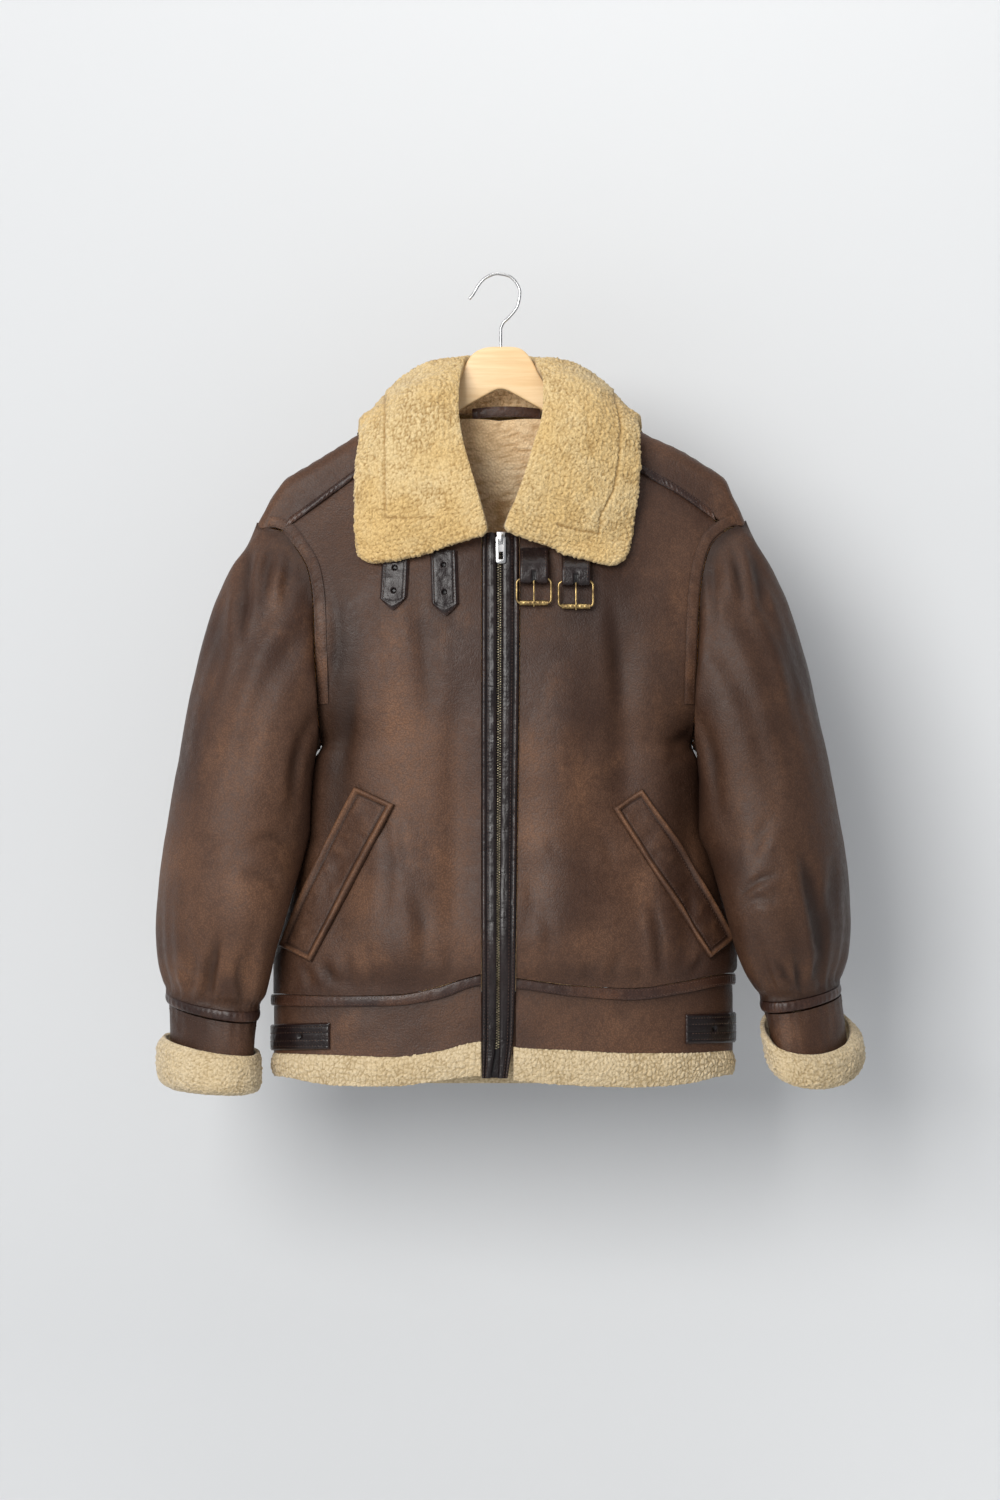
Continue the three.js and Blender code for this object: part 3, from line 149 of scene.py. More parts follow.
SHOULDER_LINE = Table("x z", (
    (-275, -310), (-262, -282), (-255, -263), (-247, -247), (-238, -231), (-226, -215), (-202, -200),
    (-176, -184), (-130, -155), (-88, -128), (0, -112), (88, -128), (133, -156), (155, -168),
    (190, -184), (216, -200), (237, -215), (244, -231), (252, -247), (259, -263), (268, -282), (281, -310),
))
BODY = Table("z left right front back", (
    (-100, 340, 345, 52, 44),
    (-300, 330, 340, 64, 54),
    (-350, 300, 312, 69, 58),
    (-400, 265, 277, 73, 61),
    (-450, 225, 238, 76, 63),
    (-492, 190, 202, 78, 65),
    (-503, 197, 209, 78.2, 65.2),
    (-560, 202, 212, 79, 66),
    (-585, 203, 213, 80.5, 66.5),
    (-610, 209, 222, 82, 67),
    (-660, 221.5, 236, 88, 70),
    (-700, 233, 249, 92, 73),
    (-725, 238, 249, 90, 73),
    (-750, 238, 245, 83, 70),
    (-800, 237, 244, 79, 68),
    (-860, 236, 243, 78, 68),
))
BOTTOM = Table("x waist band fleece hem", (
    (-260, -754, -766, -815, -838),
    (-233, -755, -767, -817, -841),
    (-173, -757, -768, -819, -851),
    (-112, -756, -767, -821, -852),
    (-65, -748, -760, -815, -846),
    (-20, -734, -746, -805, -841),
    (17, -738, -749, -811, -846),
    (77, -746, -757, -814, -851),
    (140, -749, -761, -817, -853),
    (191, -742, -754, -817, -850),
    (245, -733, -745, -814, -839),
    (265, -733, -745, -813, -838),
))
BACK_BOTTOM = {"waist": -752, "band": -764, "fleece": -818, "hem": -848}
PLACKETS = Table("z leftOut leftIn rightIn rightOut", (
    (-272, -19, -3.5, 2.2, 20),
    (-380, -19, -3.3, 2.2, 20.5),
    (-560, -19, -3.2, 0.8, 18.5),
    (-690, -19, -3.4, -0.6, 17),
    (-800, -19, -4, -0.6, 14),
    (-843, -19, -9.5, -2, 8),
))


@dataclass(frozen=True)
class Fold:
    """A broad soft ridge or trough that runs down the hanging body at one distance across."""

    face: Face
    x: float
    top: float
    foot: float
    width: float
    out: float


FOLDS = (
    Fold(Face.FRONT, -172, -420, -720, 20, -8),
    Fold(Face.FRONT, -112, -520, -790, 34, 8),
    Fold(Face.FRONT, -46, -400, -740, 16, -5),
    Fold(Face.FRONT, 66, -360, -760, 36, 7),
    Fold(Face.FRONT, 130, -340, -600, 16, -8),
    Fold(Face.FRONT, 172, -420, -740, 16, 6),
    Fold(Face.FRONT, 196, -520, -760, 10, -5),
    Fold(Face.BACK, -150, -380, -740, 24, -8),
    Fold(Face.BACK, -70, -300, -760, 30, 7),
    Fold(Face.BACK, 10, -420, -760, 20, -6),
    Fold(Face.BACK, 92, -320, -760, 30, 7),
    Fold(Face.BACK, 165, -400, -740, 22, -8),
)


def window(z: Array, top: float, foot: float) -> Array:
    """1 in the middle between two heights, fading out over 0.3 of the way at each end."""
    part = (top - z) / (top - foot)
    return smoothstep(part, 0, 0.3) * (1 - smoothstep(part, 0.7, 1))


def shoulder_z(x: Array) -> Array:
    """Height of the shoulder line."""
    return SHOULDER_LINE.read("x", "z", x)


def half_width(z: Array, x: Array) -> Array:
    """Half width of the body's section on the side that x is on."""
    return np.where(np.asarray(x) < 0, BODY.read("z", "left", z), BODY.read("z", "right", z))


def body_depth(x: Array, z: Array, face: Face) -> Array:
    """Distance of the coat's outside from the hanger's plane.

    A quarter round near the shoulder line, then a smooth step to the full depth, plus the broad folds, all
    times the section's superellipse (1 - |x/halfWidth|^2.4)^0.5.
    """
    x, z = np.broadcast_arrays(np.asarray(x, float), np.asarray(z, float))
    below = shoulder_z(x) - z
    ratio = np.minimum(np.abs(x) / half_width(z, x), 1.0)
    across = np.sqrt(1 - ratio**SECTION_POWER)
    full = BODY.read("z", face.name.lower(), z)
    rounded = np.clip(below / SHOULDER_RADIUS, 0, 1)
    near = SHOULDER_RADIUS * np.sqrt(1 - (1 - rounded) ** 2)
    folds = np.zeros_like(x)
    for fold in FOLDS:
        if fold.face is face:
            folds = folds + fold.out * np.exp(-(((x - fold.x) / fold.width) ** 2)) * window(z, fold.top, fold.foot)
    return (near + (full - SHOULDER_RADIUS) * smoothstep(below, 0, SHOULDER_DROP) + folds) * across


def placed(x: Array, y: Array, z: Array) -> Array:
    """A point of an outline seen from the front, at its own depth: what is nearer is drawn smaller."""
    x, y, z = np.broadcast_arrays(np.asarray(x, float), np.asarray(y, float), np.asarray(z, float))
    scale = (EYE_DISTANCE + y) / EYE_DISTANCE
    return np.stack([x * scale, y, EYE_HEIGHT + (z - EYE_HEIGHT) * scale], axis=-1)


def on_body(x: Array, z: Array, face: Face) -> Array:
    """Points on the body's outside."""
    return placed(x, face.value * (SEAM_GAP + body_depth(x, z, face)), z)


def on_band(x: Array, z: Array, face: Face) -> Array:
    """Points on the bands below the waist, whose section is the same all the way down."""
    return placed(x, face.value * (2 * SEAM_GAP + body_depth(x, BAND_HEIGHT, face)), z)


class Line:
    """A smooth line through points, read by the share of its length."""

    def __init__(self, points: Sequence[Sequence[float]], smooth: bool = True) -> None:
        """Draws the line through the points, as a monotone cubic of the chord length."""
        stations = np.array(points, float)
        chord = np.concatenate([[0], np.cumsum(np.linalg.norm(np.diff(stations, axis=0), axis=1))])
        at = np.linspace(0, chord[-1], 600)
        read = monotone_cubic if smooth else (lambda xs, ys, where: np.interp(where, xs, ys))
        self.fine = np.stack([read(chord, stations[:, k], at) for k in range(stations.shape[1])], axis=-1)
        steps = np.linalg.norm(np.diff(self.fine, axis=0), axis=1)
        self.length = np.concatenate([[0], np.cumsum(steps)])

    def at(self, share: Array) -> Array:
        """Points at shares of the length, 0 at the start and 1 at the end."""
        where = np.clip(np.asarray(share, float), 0, 1) * self.length[-1]
        return np.stack([np.interp(where, self.length, self.fine[:, k]) for k in range(self.fine.shape[1])], axis=-1)


def coons(foot: Line, top: Line, first: Line, last: Line, across: Array, up: Array) -> Array:
    """Fills four edge lines: the sum of both ruled surfaces less the corners' bilinear one."""
    u, v = across[None, :, None], up[:, None, None]
    low, high = foot.at(across)[None], top.at(across)[None]
    start, end = first.at(up)[:, None], last.at(up)[:, None]
    corners = (1 - u) * (1 - v) * foot.at(0) + u * (1 - v) * foot.at(1)
    corners = corners + (1 - u) * v * top.at(0) + u * v * top.at(1)
    return (1 - v) * low + v * high + (1 - u) * start + u * end - corners


def normals(points: Array, closed: bool) -> Array:
    """Unit cross products of the steps along and up a grid, which is closed along its columns or not."""
    if closed:
        across = np.roll(points, -1, axis=1) - np.roll(points, 1, axis=1)
    else:
        across = np.gradient(points, axis=1)
    normal = np.cross(across, np.gradient(points, axis=0))
    length = np.linalg.norm(normal, axis=-1, keepdims=True)
    return normal / np.maximum(length, 1e-9)


def chart(points: Array, closed: bool = False) -> tuple[Array, Array]:
    """Distances in millimetres along the columns and up the rows of a grid, measured along the surface."""
    along = np.linalg.norm(np.diff(points, axis=1), axis=-1)
    up = np.linalg.norm(np.diff(points, axis=0), axis=-1)
    u = np.concatenate([np.zeros((points.shape[0], 1)), np.cumsum(along, axis=1)], axis=1)
    v = np.concatenate([np.zeros((1, points.shape[1])), np.cumsum(up, axis=0)], axis=0)
    if not closed:
        u = u - u[:, u.shape[1] // 2][:, None]
    return u, v


def cloud(u: Array, v: Array, size: float, seed: int) -> Array:
    """Smooth noise from -1 to 1: random values on a square lattice, blended by smooth steps."""
    lattice = np.random.default_rng(seed).uniform(-1, 1, (64, 64))
    a, b = u / size, v / size
    i, j = np.floor(a).astype(int), np.floor(b).astype(int)
    s, t = a - i, b - j
    s, t = s * s * (3 - 2 * s), t * t * (3 - 2 * t)
    pick = lambda di, dj: lattice[(i + di) % 64, (j + dj) % 64]
    low = pick(0, 0) * (1 - s) + pick(1, 0) * s
    high = pick(0, 1) * (1 - s) + pick(1, 1) * s
    return low * (1 - t) + high * t


@dataclass(frozen=True)
class Pile:
    """Curly fleece, as nodules of uneven size and height that crowd on a jittered lattice."""

    spacing: float = 5.0
    seed: int = 7

    def relief(self, u: Array, v: Array) -> Array:
        """Height of the curls from 0 to about 1, at distances along and up the piece.

        It is 0.7 of the coarse nodules and 0.3 of nodules half as large, with slow rises and falls, on a chart
        that is warped so that no row shows.
        """
        warp_u = 1.7 * cloud(u, v, 6.5, self.seed + 1)
        warp_v = 1.7 * cloud(u, v, 6.5, self.seed + 4)
        coarse = self.nodules(u + warp_u, v + warp_v, self.spacing, self.seed)
        fine = self.nodules(u - warp_v, v + warp_u, self.spacing * 0.5, self.seed + 2)
        return np.clip(0.70 * coarse + 0.30 * fine + 0.10 * cloud(u, v, 19, self.seed + 3), 0, 1.1)

    @staticmethod
    def nodules(u: Array, v: Array, spacing: float, seed: int) -> Array:
        """top ((F2 - F1) / 0.6 spacing)^0.5, where F1 and F2 are the distances to the two nearest centres."""
        random = np.random.default_rng(seed)
        jitter = random.uniform(-0.40, 0.40, (128, 128, 2))
        tops = random.uniform(0.55, 1.0, (128, 128))
        i, j = np.floor(u / spacing).astype(int), np.floor(v / spacing).astype(int)
        nearest = np.full(u.shape, 1e9)
        second = np.full(u.shape, 1e9)
        top = np.zeros(u.shape)
        for di in (-1, 0, 1):
            for dj in (-1, 0, 1):
                a, b = (i + di) % 128, (j + dj) % 128
                away_u = u - (i + di + 0.5 + jitter[a, b, 0]) * spacing
                away_v = v - (j + dj + 0.5 + jitter[a, b, 1]) * spacing
                away = np.hypot(away_u, away_v)
                closer = away < nearest
                second = np.where(closer, nearest, np.minimum(second, away))
                top = np.where(closer, tops[a, b], top)
                nearest = np.where(closer, away, nearest)
        return top * np.sqrt(np.clip((second - nearest) / (0.6 * spacing), 0, 1))


def rolled(distance: Array, radius: float) -> Array:
    """A quarter round: 0 at an edge, 1 from one radius inwards."""
    return np.sqrt(1 - (1 - np.clip(distance / radius, 0, 1)) ** 2)


def hollows(relief: Array) -> Array:
    """Painted shade in the creases: 0 on flat skin, up to 0.6 in the deepest."""
    return np.clip(0.17 * (-relief - 0.9), 0, 0.6)


@dataclass(frozen=True)
class Crease:
    """A soft trough, or a ridge where depth is negative, along a short line seen from the front."""

    piece: str
    line: tuple[tuple[float, float], ...]
    width: float
    depth: float
    lip: float = 0.45

    def relief(self, x: Array, z: Array) -> Array:
        """-depth exp(-(d/w)^2) with a low lip on one side, fading out towards both ends of the line."""
        path = Line(self.line).at(np.linspace(0, 1, 14))
        best = np.full(x.shape, 1e9)
        signed = np.zeros_like(x)
        share = np.zeros_like(x)
        for k in range(len(path) - 1):
            start, step = path[k], path[k + 1] - path[k]
            length = float(np.hypot(*step))
            t = np.clip(((x - start[0]) * step[0] + (z - start[1]) * step[1]) / length**2, 0, 1)
            dx, dz = x - start[0] - t * step[0], z - start[1] - t * step[1]
            away = np.hypot(dx, dz)
            nearer = away < best
            best = np.where(nearer, away, best)
            signed = np.where(nearer, (dx * step[1] - dz * step[0]) / length, signed)
            share = np.where(nearer, (k + t) / (len(path) - 1), share)
        fade = np.sin(np.pi * np.clip(share, 0.02, 0.98)) ** 0.8
        trough = np.exp(-((best / self.width) ** 2))
        beside = np.exp(-(((signed - 1.7 * self.width) / self.width) ** 2)) * (best < 4 * self.width)
        return self.depth * fade * (self.lip * beside - trough)


FRONT_CREASES = (
    Crease("front_left", ((-150, -400), (-158, -470), (-166, -540)), 9, 2.4),
    Crease("front_left", ((-90, -330), (-78, -400), (-74, -480)), 10, 1.8),
    Crease("front_left", ((-128, -560), (-118, -610), (-122, -680)), 7, 1.6),
    Crease("front_left", ((-107, -575), (-103, -600), (-98, -625)), 3.5, 1.3),
    Crease("front_left", ((-92, -640), (-80, -690), (-84, -735)), 8, 2.0),
    Crease("front_left", ((-192, -718), (-178, -736), (-160, -748)), 5, 2.6),
    Crease("front_left", ((-186, -722), (-180, -740), (-181, -752)), 3.5, 1.8),
    Crease("front_left", ((-166, -712), (-160, -732), (-158, -750)), 4.5, 2.2),
    Crease("front_left", ((-137, -724), (-134, -740), (-135, -754)), 4, 1.5),
    Crease("front_left", ((-60, -700), (-52, -722), (-50, -742)), 5, 1.6),
    Crease("front_left", ((-208, -724), (-200, -740), (-200, -752)), 4, 1.8),
    Crease("front_left", ((-176, -320), (-170, -380), (-176, -450)), 8, 2.0),
    Crease("front_right", ((160, -655), (167, -700), (170, -744)), 5, 3.2),
    Crease("front_right", ((40, -655), (52, -697), (49, -725)), 6, 1.6),
    Crease("front_right", ((48, -588), (55, -603), (62, -612)), 4, 1.2),
    Crease("front_right", ((176, -494), (192, -486), (208, -480)), 5, 2.8),
    Crease("front_right", ((172, -512), (190, -502), (206, -500)), 6, 1.6),
    Crease("front_right", ((125, -708), (120, -728), (117, -744)), 4.5, 2.0),
    Crease("front_right", ((90, -718), (92, -734), (91, -748)), 4, 1.5),
    Crease("front_right", ((218, -712), (208, -726), (196, -740)), 5, 2.2),
    Crease("front_right", ((144, -722), (147, -738), (145, -750)), 3.5, 1.6),
    Crease("front_right", ((118, -330), (124, -400), (128, -470)), 8, 2.2),
    Crease("front_right", ((30, -620), (34, -660), (28, -700)), 7, 1.4),
    Crease("front_right", ((100, -585), (112, -600), (118, -622)), 5, 1.2),
    Crease("sleeve_left", ((-264, -278), (-270, -330), (-274, -392)), 6, 4.4),
    Crease("sleeve_left", ((-238, -280), (-246, -312), (-250, -350)), 5.5, 3.8),
    Crease("sleeve_left", ((-221, -292), (-224, -318), (-226, -350)), 4.5, 2.6),
    Crease("sleeve_left", ((-283, -330), (-296, -370), (-306, -420)), 9, 2.4),
    Crease("sleeve_left", ((-296, -690), (-303, -728), (-308, -760)), 5, 4.6),
    Crease("sleeve_left", ((-324, -700), (-321, -725), (-322, -750)), 5, 2.4),
    Crease("sleeve_left", ((-270, -712), (-274, -738), (-273, -758)), 5, 2.2),
    Crease("sleeve_left", ((-340, -724), (-330, -736), (-322, -750)), 4, 1.8),
    Crease("sleeve_left", ((-214, -600), (-236, -590), (-262, -596)), 7, 2.0),
    Crease("sleeve_left", ((-226, -650), (-246, -632), (-276, -628)), 8, 2.2),
    Crease("sleeve_left", ((-205, -480), (-214, -520), (-216, -570)), 7, 2.4),
    Crease("sleeve_left", ((-334, -590), (-310, -596), (-284, -588)), 9, 1.4),
    Crease("sleeve_right", ((316, -600), (330, -660), (343, -738)), 8, 4.6),
    Crease("sleeve_right", ((248, -654), (271, -636), (294, -628)), 5, 2.2),
    Crease("sleeve_right", ((262, -612), (272, -590), (284, -566)), 8, 1.8),
    Crease("sleeve_right", ((250, -668), (270, -655), (300, -660)), 6, 1.6),
    Crease("sleeve_right", ((292, -722), (302, -738), (312, -752)), 5, 2.6),
    Crease("sleeve_right", ((311, -716), (314, -734), (316, -752)), 4, 2.2),
    Crease("sleeve_right", ((333, -716), (332, -732), (330, -744)), 4, 2.4),
    Crease("sleeve_right", ((241, -280), (250, -310), (256, -350)), 6, 3.2),
    Crease("sleeve_right", ((262, -282), (272, -315), (280, -360)), 6.5, 3.0),
    Crease("sleeve_right", ((222, -296), (224, -330), (225, -372)), 5, 2.2),
    Crease("sleeve_right", ((300, -360), (312, -420), (316, -480)), 10, 1.8),
    Crease("sleeve_right", ((214, -470), (222, -510), (228, -570)), 7, 2.2),
    Crease("sleeve_right", ((352, -600), (350, -640), (346, -690)), 7, 2.0),
)
BACK_CREASES = (
    Crease("back", ((-196, -470), (-170, -500), (-132, -512)), 8, 3.0),
    Crease("back", ((-198, -500), (-176, -540), (-150, -560)), 7, 2.4),
    Crease("back", ((205, -468), (178, -504), (140, -518)), 8, 3.0),
    Crease("back", ((204, -510), (186, -548), (158, -572)), 7, 2.2),
    Crease("back", ((-118, -300), (-112, -400), (-120, -520)), 10, 2.2),
    Crease("back", ((48, -330), (52, -420), (44, -560)), 12, 1.8),
    Crease("back", ((126, -300), (120, -390), (128, -480)), 9, 2.4),
    Crease("back", ((-30, -600), (-24, -680), (-30, -748)), 8, 2.4),
    Crease("back", ((-160, -690), (-154, -722), (-156, -750)), 5, 2.4),
    Crease("back", ((-96, -700), (-92, -726), (-94, -750)), 5, 2.0),
    Crease("back", ((60, -690), (64, -722), (62, -750)), 5, 2.2),
    Crease("back", ((118, -700), (114, -724), (116, -750)), 4.5, 2.0),
    Crease("back", ((176, -684), (182, -716), (180, -748)), 5, 2.6),
    Crease("back", ((-206, -700), (-200, -724), (-202, -750)), 4.5, 2.0),
    Crease("sleeve_left", ((-266, -290), (-274, -340), (-280, -400)), 7, 3.2),
    Crease("sleeve_left", ((-236, -300), (-240, -350), (-244, -400)), 6, 2.4),
    Crease("sleeve_left", ((-220, -560), (-262, -580), (-310, -570)), 9, 3.0),
    Crease("sleeve_left", ((-232, -620), (-262, -624), (-300, -612)), 8, 2.4),
    Crease("sleeve_left", ((-300, -700), (-304, -730), (-306, -756)), 5, 3.4),
    Crease("sleeve_left", ((-270, -706), (-268, -732), (-270, -756)), 4.5, 2.4),
    Crease("sleeve_right", ((268, -290), (278, -340), (284, -400)), 7, 3.2),
    Crease("sleeve_right", ((240, -300), (248, -350), (250, -396)), 6, 2.4),
    Crease("sleeve_right", ((232, -570), (270, -590), (322, -580)), 9, 3.0),
    Crease("sleeve_right", ((248, -632), (276, -636), (316, -622)), 8, 2.2),
    Crease("sleeve_right", ((308, -690), (314, -724), (316, -750)), 5, 3.2),
    Crease("sleeve_right", ((340, -690), (344, -716), (342, -742)), 4.5, 2.4),
)


DEEPEST = -4.2
SLEEVE_STRENGTH = 1.4
BODY_STRENGTH = 1.2


def creased(piece: str, x: Array, z: Array, face: Face) -> Array:
    """Sum of a piece's creases on one face, with a faint unevenness of the skin."""
    creases = FRONT_CREASES if face is Face.FRONT else BACK_CREASES
    relief = np.zeros(np.broadcast(x, z).shape)
    for crease in creases:
        if crease.piece == piece:
            relief = relief + crease.relief(x, z)
    seed = 11 + len(piece) + 5 * (face is Face.BACK)
    strength = SLEEVE_STRENGTH if piece.startswith("sleeve") else BODY_STRENGTH
    return strength * relief + 0.9 * cloud(x, z, 46, seed) + 0.35 * cloud(x, z, 17, seed + 1)


@dataclass
class Shell:
    """A closed wall between two grids of points with the same rows and columns."""

    name: str
    outer: Array
    inner: Array
    closed: bool = False
    marks: dict[str, Array] = field(default_factory=dict)
    inner_marks: dict[str, Array] = field(default_factory=dict)
    sharp: float | None = None

    def faces(self) -> tuple[Array, Array]:
        """Quads of both grids and of the rim, and for each whether it belongs to the inner grid."""
        rows, columns = self.outer.shape[:2]
        index = np.arange(rows * columns).reshape(rows, columns)
        if self.closed:
            index = np.concatenate([index, index[:, :1]], axis=1)
        a, b, c, d = index[:-1, :-1], index[:-1, 1:], index[1:, 1:], index[1:, :-1]
        front = np.stack([a, b, c, d], axis=-1).reshape(-1, 4)
        inside = front[:, ::-1] + rows * columns
        shift = rows * columns
        rim = [self._rim(index[0, ::-1], shift), self._rim(index[-1], shift)]
        if not self.closed:
            rim += [self._rim(index[:, 0], shift), self._rim(index[::-1, -1], shift)]
        quads = np.concatenate([front, inside, *rim])
        is_inner = np.zeros(len(quads), int)
        is_inner[len(front) : 2 * len(front)] = 1
        return quads, is_inner

    @staticmethod
    def _rim(run: Array, shift: int) -> Array:
        """Quads between a run of outer points and the inner points behind them."""
        return np.stack([run[:-1], run[1:], run[1:] + shift, run[:-1] + shift], axis=-1)

    def build(self, *materials: bpy.types.Material) -> bpy.types.Object:
        """Makes the mesh; the second material, if there is one, dresses the inner grid."""
        vertices = np.concatenate([self.outer.reshape(-1, 3), self.inner.reshape(-1, 3)]) * MM
        quads, is_inner = self.faces()
        piece = mesh_object(self.name, vertices, quads, materials, is_inner if len(materials) > 1 else None)
        for key, value in self.marks.items():
            behind = self.inner_marks.get(key, value)
            values = np.concatenate([np.broadcast_to(value, self.outer.shape[:2]).ravel(),
                                     np.broadcast_to(behind, self.outer.shape[:2]).ravel()])
            attribute = piece.data.attributes.new(key, "FLOAT", "POINT")
            attribute.data.foreach_set("value", values.astype(np.float32))
        if self.sharp is not None:
            piece.data.set_sharp_from_angle(angle=math.radians(self.sharp))
        return piece


def mesh_object(
    name: str,
    vertices: Array,
    faces: Array,
    materials: Sequence[bpy.types.Material],
    slots: Array | None = None,
) -> bpy.types.Object:
    """Makes a smooth mesh object from arrays and turns its faces outwards.

    Args:
        name: the piece's name.
        vertices: points in metres.
        faces: rows of vertex numbers, all quads or all triangles.
        materials: the material slots in order.
        slots: the material number of each face, or None for the first.

    Returns:
        The linked object, at the origin.
    """
    a, b, c = (vertices[faces[:, k]] for k in (0, 1, 2))
    volume = np.einsum("ij,ij->i", a, np.cross(b, c)).sum()
    if faces.shape[1] == 4:
        volume += np.einsum("ij,ij->i", a, np.cross(c, vertices[faces[:, 3]])).sum()
    if volume < 0:
        faces = faces[:, ::-1]
    mesh = bpy.data.meshes.new(name)
    sides = faces.shape[1]
    mesh.vertices.add(len(vertices))
    mesh.vertices.foreach_set("co", vertices.astype(np.float32).ravel())
    mesh.loops.add(faces.size)
    mesh.loops.foreach_set("vertex_index", faces.astype(np.int32).ravel())
    mesh.polygons.add(len(faces))
    mesh.polygons.foreach_set("loop_start", np.arange(0, faces.size, sides, dtype=np.int32))
    mesh.polygons.foreach_set("use_smooth", np.ones(len(faces), bool))
    for material in materials:
        mesh.materials.append(material)
    if slots is not None:
        mesh.polygons.foreach_set("material_index", slots.astype(np.int32))
    mesh.update(calc_edges=True)
    mesh.validate()
    piece = bpy.data.objects.new(name, mesh)
    bpy.context.scene.collection.objects.link(piece)
    return piece


def settle(piece: bpy.types.Object, slot: str, *nodes: str, body: str = "root") -> bpy.types.Object:
    """Puts a piece on its body and in the place of its nodes: it takes the first node's name and hides them."""
    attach(piece, body)
    if nodes:
        piece.name = f"dressed_{nodes[0]}"
        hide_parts(*nodes)
    log.info("%s: %d vertices", piece.name, len(piece.data.vertices))
    return piece


def cut_from(base: Array, closed: bool, turned: float = 0.0) -> None:
    """Logs the size and area of the cut that a piece's plain grid was made from.

    Args:
        base: its plain grid, without curls and creases.
        closed: whether the grid's columns go all round a tube.
        turned: extra width of the cut that is turned in along the two long edges.
    """
    loop = np.concatenate([base, base[:, :1]], axis=1) if closed else base
    along = np.linalg.norm(np.diff(loop, axis=1), axis=-1)
    up = np.linalg.norm(np.diff(loop, axis=0), axis=-1)
    width, length = along.sum(axis=1).max() * MM, up.sum(axis=0).max() * MM
    area = float((0.5 * (along[1:] + along[:-1]) * 0.5 * (up[:, 1:] + up[:, :-1])).sum()) * MM * MM
    area += turned * MM * width
    length += turned * MM
    area = min(area, width * length)
    log.info("  cut %.0f by %.0f mm, %.4f square metres", width / MM, length / MM, area)


class Nodes:
    """Short calls for building a material's nodes."""

    def __init__(self, name: str) -> None:
        """Starts a material with a Principled BSDF."""
        self.material = bpy.data.materials.new(name)
        self.material.use_nodes = True
        self.tree = self.material.node_tree
        self.shader = self.tree.nodes["Principled BSDF"]
        self.place = self.add("ShaderNodeTexCoord").outputs["Object"]

    def add(self, kind: str, **settings: object) -> bpy.types.Node:
        """Adds a node and sets its properties, or the inputs that have those names."""
        node = self.tree.nodes.new(kind)
        for key, value in settings.items():
            if hasattr(node, key):
                setattr(node, key, value)
            else:
                node.inputs[key.replace("_", " ")].default_value = value
        return node

    def link(self, source: bpy.types.NodeSocket, target: bpy.types.NodeSocket) -> None:
        """Joins two sockets."""
        self.tree.links.new(source, target)

    def stretched(self, scale: tuple[float, float, float]) -> bpy.types.NodeSocket:
        """Object coordinates, stretched."""
        mapping = self.add("ShaderNodeMapping", Scale=scale)
        self.link(self.place, mapping.inputs["Vector"])
        return mapping.outputs["Vector"]

    def noise(self, scale: float, detail: float = 3, rough: float = 0.55, at: object = None) -> bpy.types.NodeSocket:
        """A noise texture's value on Object coordinates."""
        node = self.add("ShaderNodeTexNoise", Scale=scale, Detail=detail, Roughness=rough)
        self.link(at or self.place, node.inputs["Vector"])
        return node.outputs["Fac"]

    def cells(self, scale: float, feature: str = "F1", smooth: float = 0.0) -> bpy.types.NodeSocket:
        """A Voronoi texture's distance on Object coordinates."""
        node = self.add("ShaderNodeTexVoronoi", feature=feature, Scale=scale)
        if feature == "SMOOTH_F1":
            node.inputs["Smoothness"].default_value = smooth
        self.link(self.place, node.inputs["Vector"])
        return node.outputs["Distance"]

    def mark(self, name: str) -> bpy.types.NodeSocket:
        """A number kept on the mesh's points."""
        return self.add("ShaderNodeAttribute", attribute_name=name).outputs["Fac"]

    def ramp(self, value: object, low: float, high: float, bottom: float = 0, top: float = 1) -> bpy.types.NodeSocket:
        """A value mapped smoothly from one range to another."""
        node = self.add("ShaderNodeMapRange", interpolation_type="SMOOTHSTEP")
        for key, number in (("From Min", low), ("From Max", high), ("To Min", bottom), ("To Max", top)):
            node.inputs[key].default_value = number
        self.link(value, node.inputs["Value"])
        return node.outputs["Result"]

    def math(self, kind: str, first: object, second: object, clamp: bool = False) -> bpy.types.NodeSocket:
        """Arithmetic on two values, each a socket or a number."""
        node = self.add("ShaderNodeMath", operation=kind, use_clamp=clamp)
        for socket, value in zip(node.inputs, (first, second)):
            if isinstance(value, (int, float)):
                socket.default_value = value
            else:
                self.link(value, socket)
        return node.outputs["Value"]

    def mix(self, share: object, first: object, second: object, blend: str = "MIX") -> bpy.types.NodeSocket:
        """Two colours mixed by a share."""
        node = self.add("ShaderNodeMix", data_type="RGBA", blend_type=blend)
        for socket, value in ((node.inputs[0], share), (node.inputs[6], first), (node.inputs[7], second)):
            if isinstance(value, (int, float)):
                socket.default_value = value
            elif isinstance(value, tuple):
                socket.default_value = (*value, 1)
            else:
                self.link(value, socket)
        return node.outputs[2]

    def bump(self, height: object, depth_mm: float, under: object = None, strength: float = 1.0) -> bpy.types.NodeSocket:
        """A bump of a height texture, on top of another bump."""
        node = self.add("ShaderNodeBump", Strength=strength, Distance=depth_mm * MM)
        self.link(height, node.inputs["Height"])
        if under is not None:
            self.link(under, node.inputs["Normal"])
        return node.outputs["Normal"]

    def finish(self, color: object, rough: object, normal: object = None, **uniform: float) -> bpy.types.Material:
        """Sets colour, roughness and normal, and plain numbers on the shader's own sockets."""
        for name, value in (("Base Color", color), ("Roughness", rough)):
            if isinstance(value, tuple):
                self.shader.inputs[name].default_value = (*value, 1)
            elif isinstance(value, (int, float)):
                self.shader.inputs[name].default_value = value
            else:
                self.link(value, self.shader.inputs[name])
        if normal is not None:
            self.link(normal, self.shader.inputs["Normal"])
        for key, value in uniform.items():
            self.shader.inputs[key.replace("_", " ")].default_value = value
        return self.material


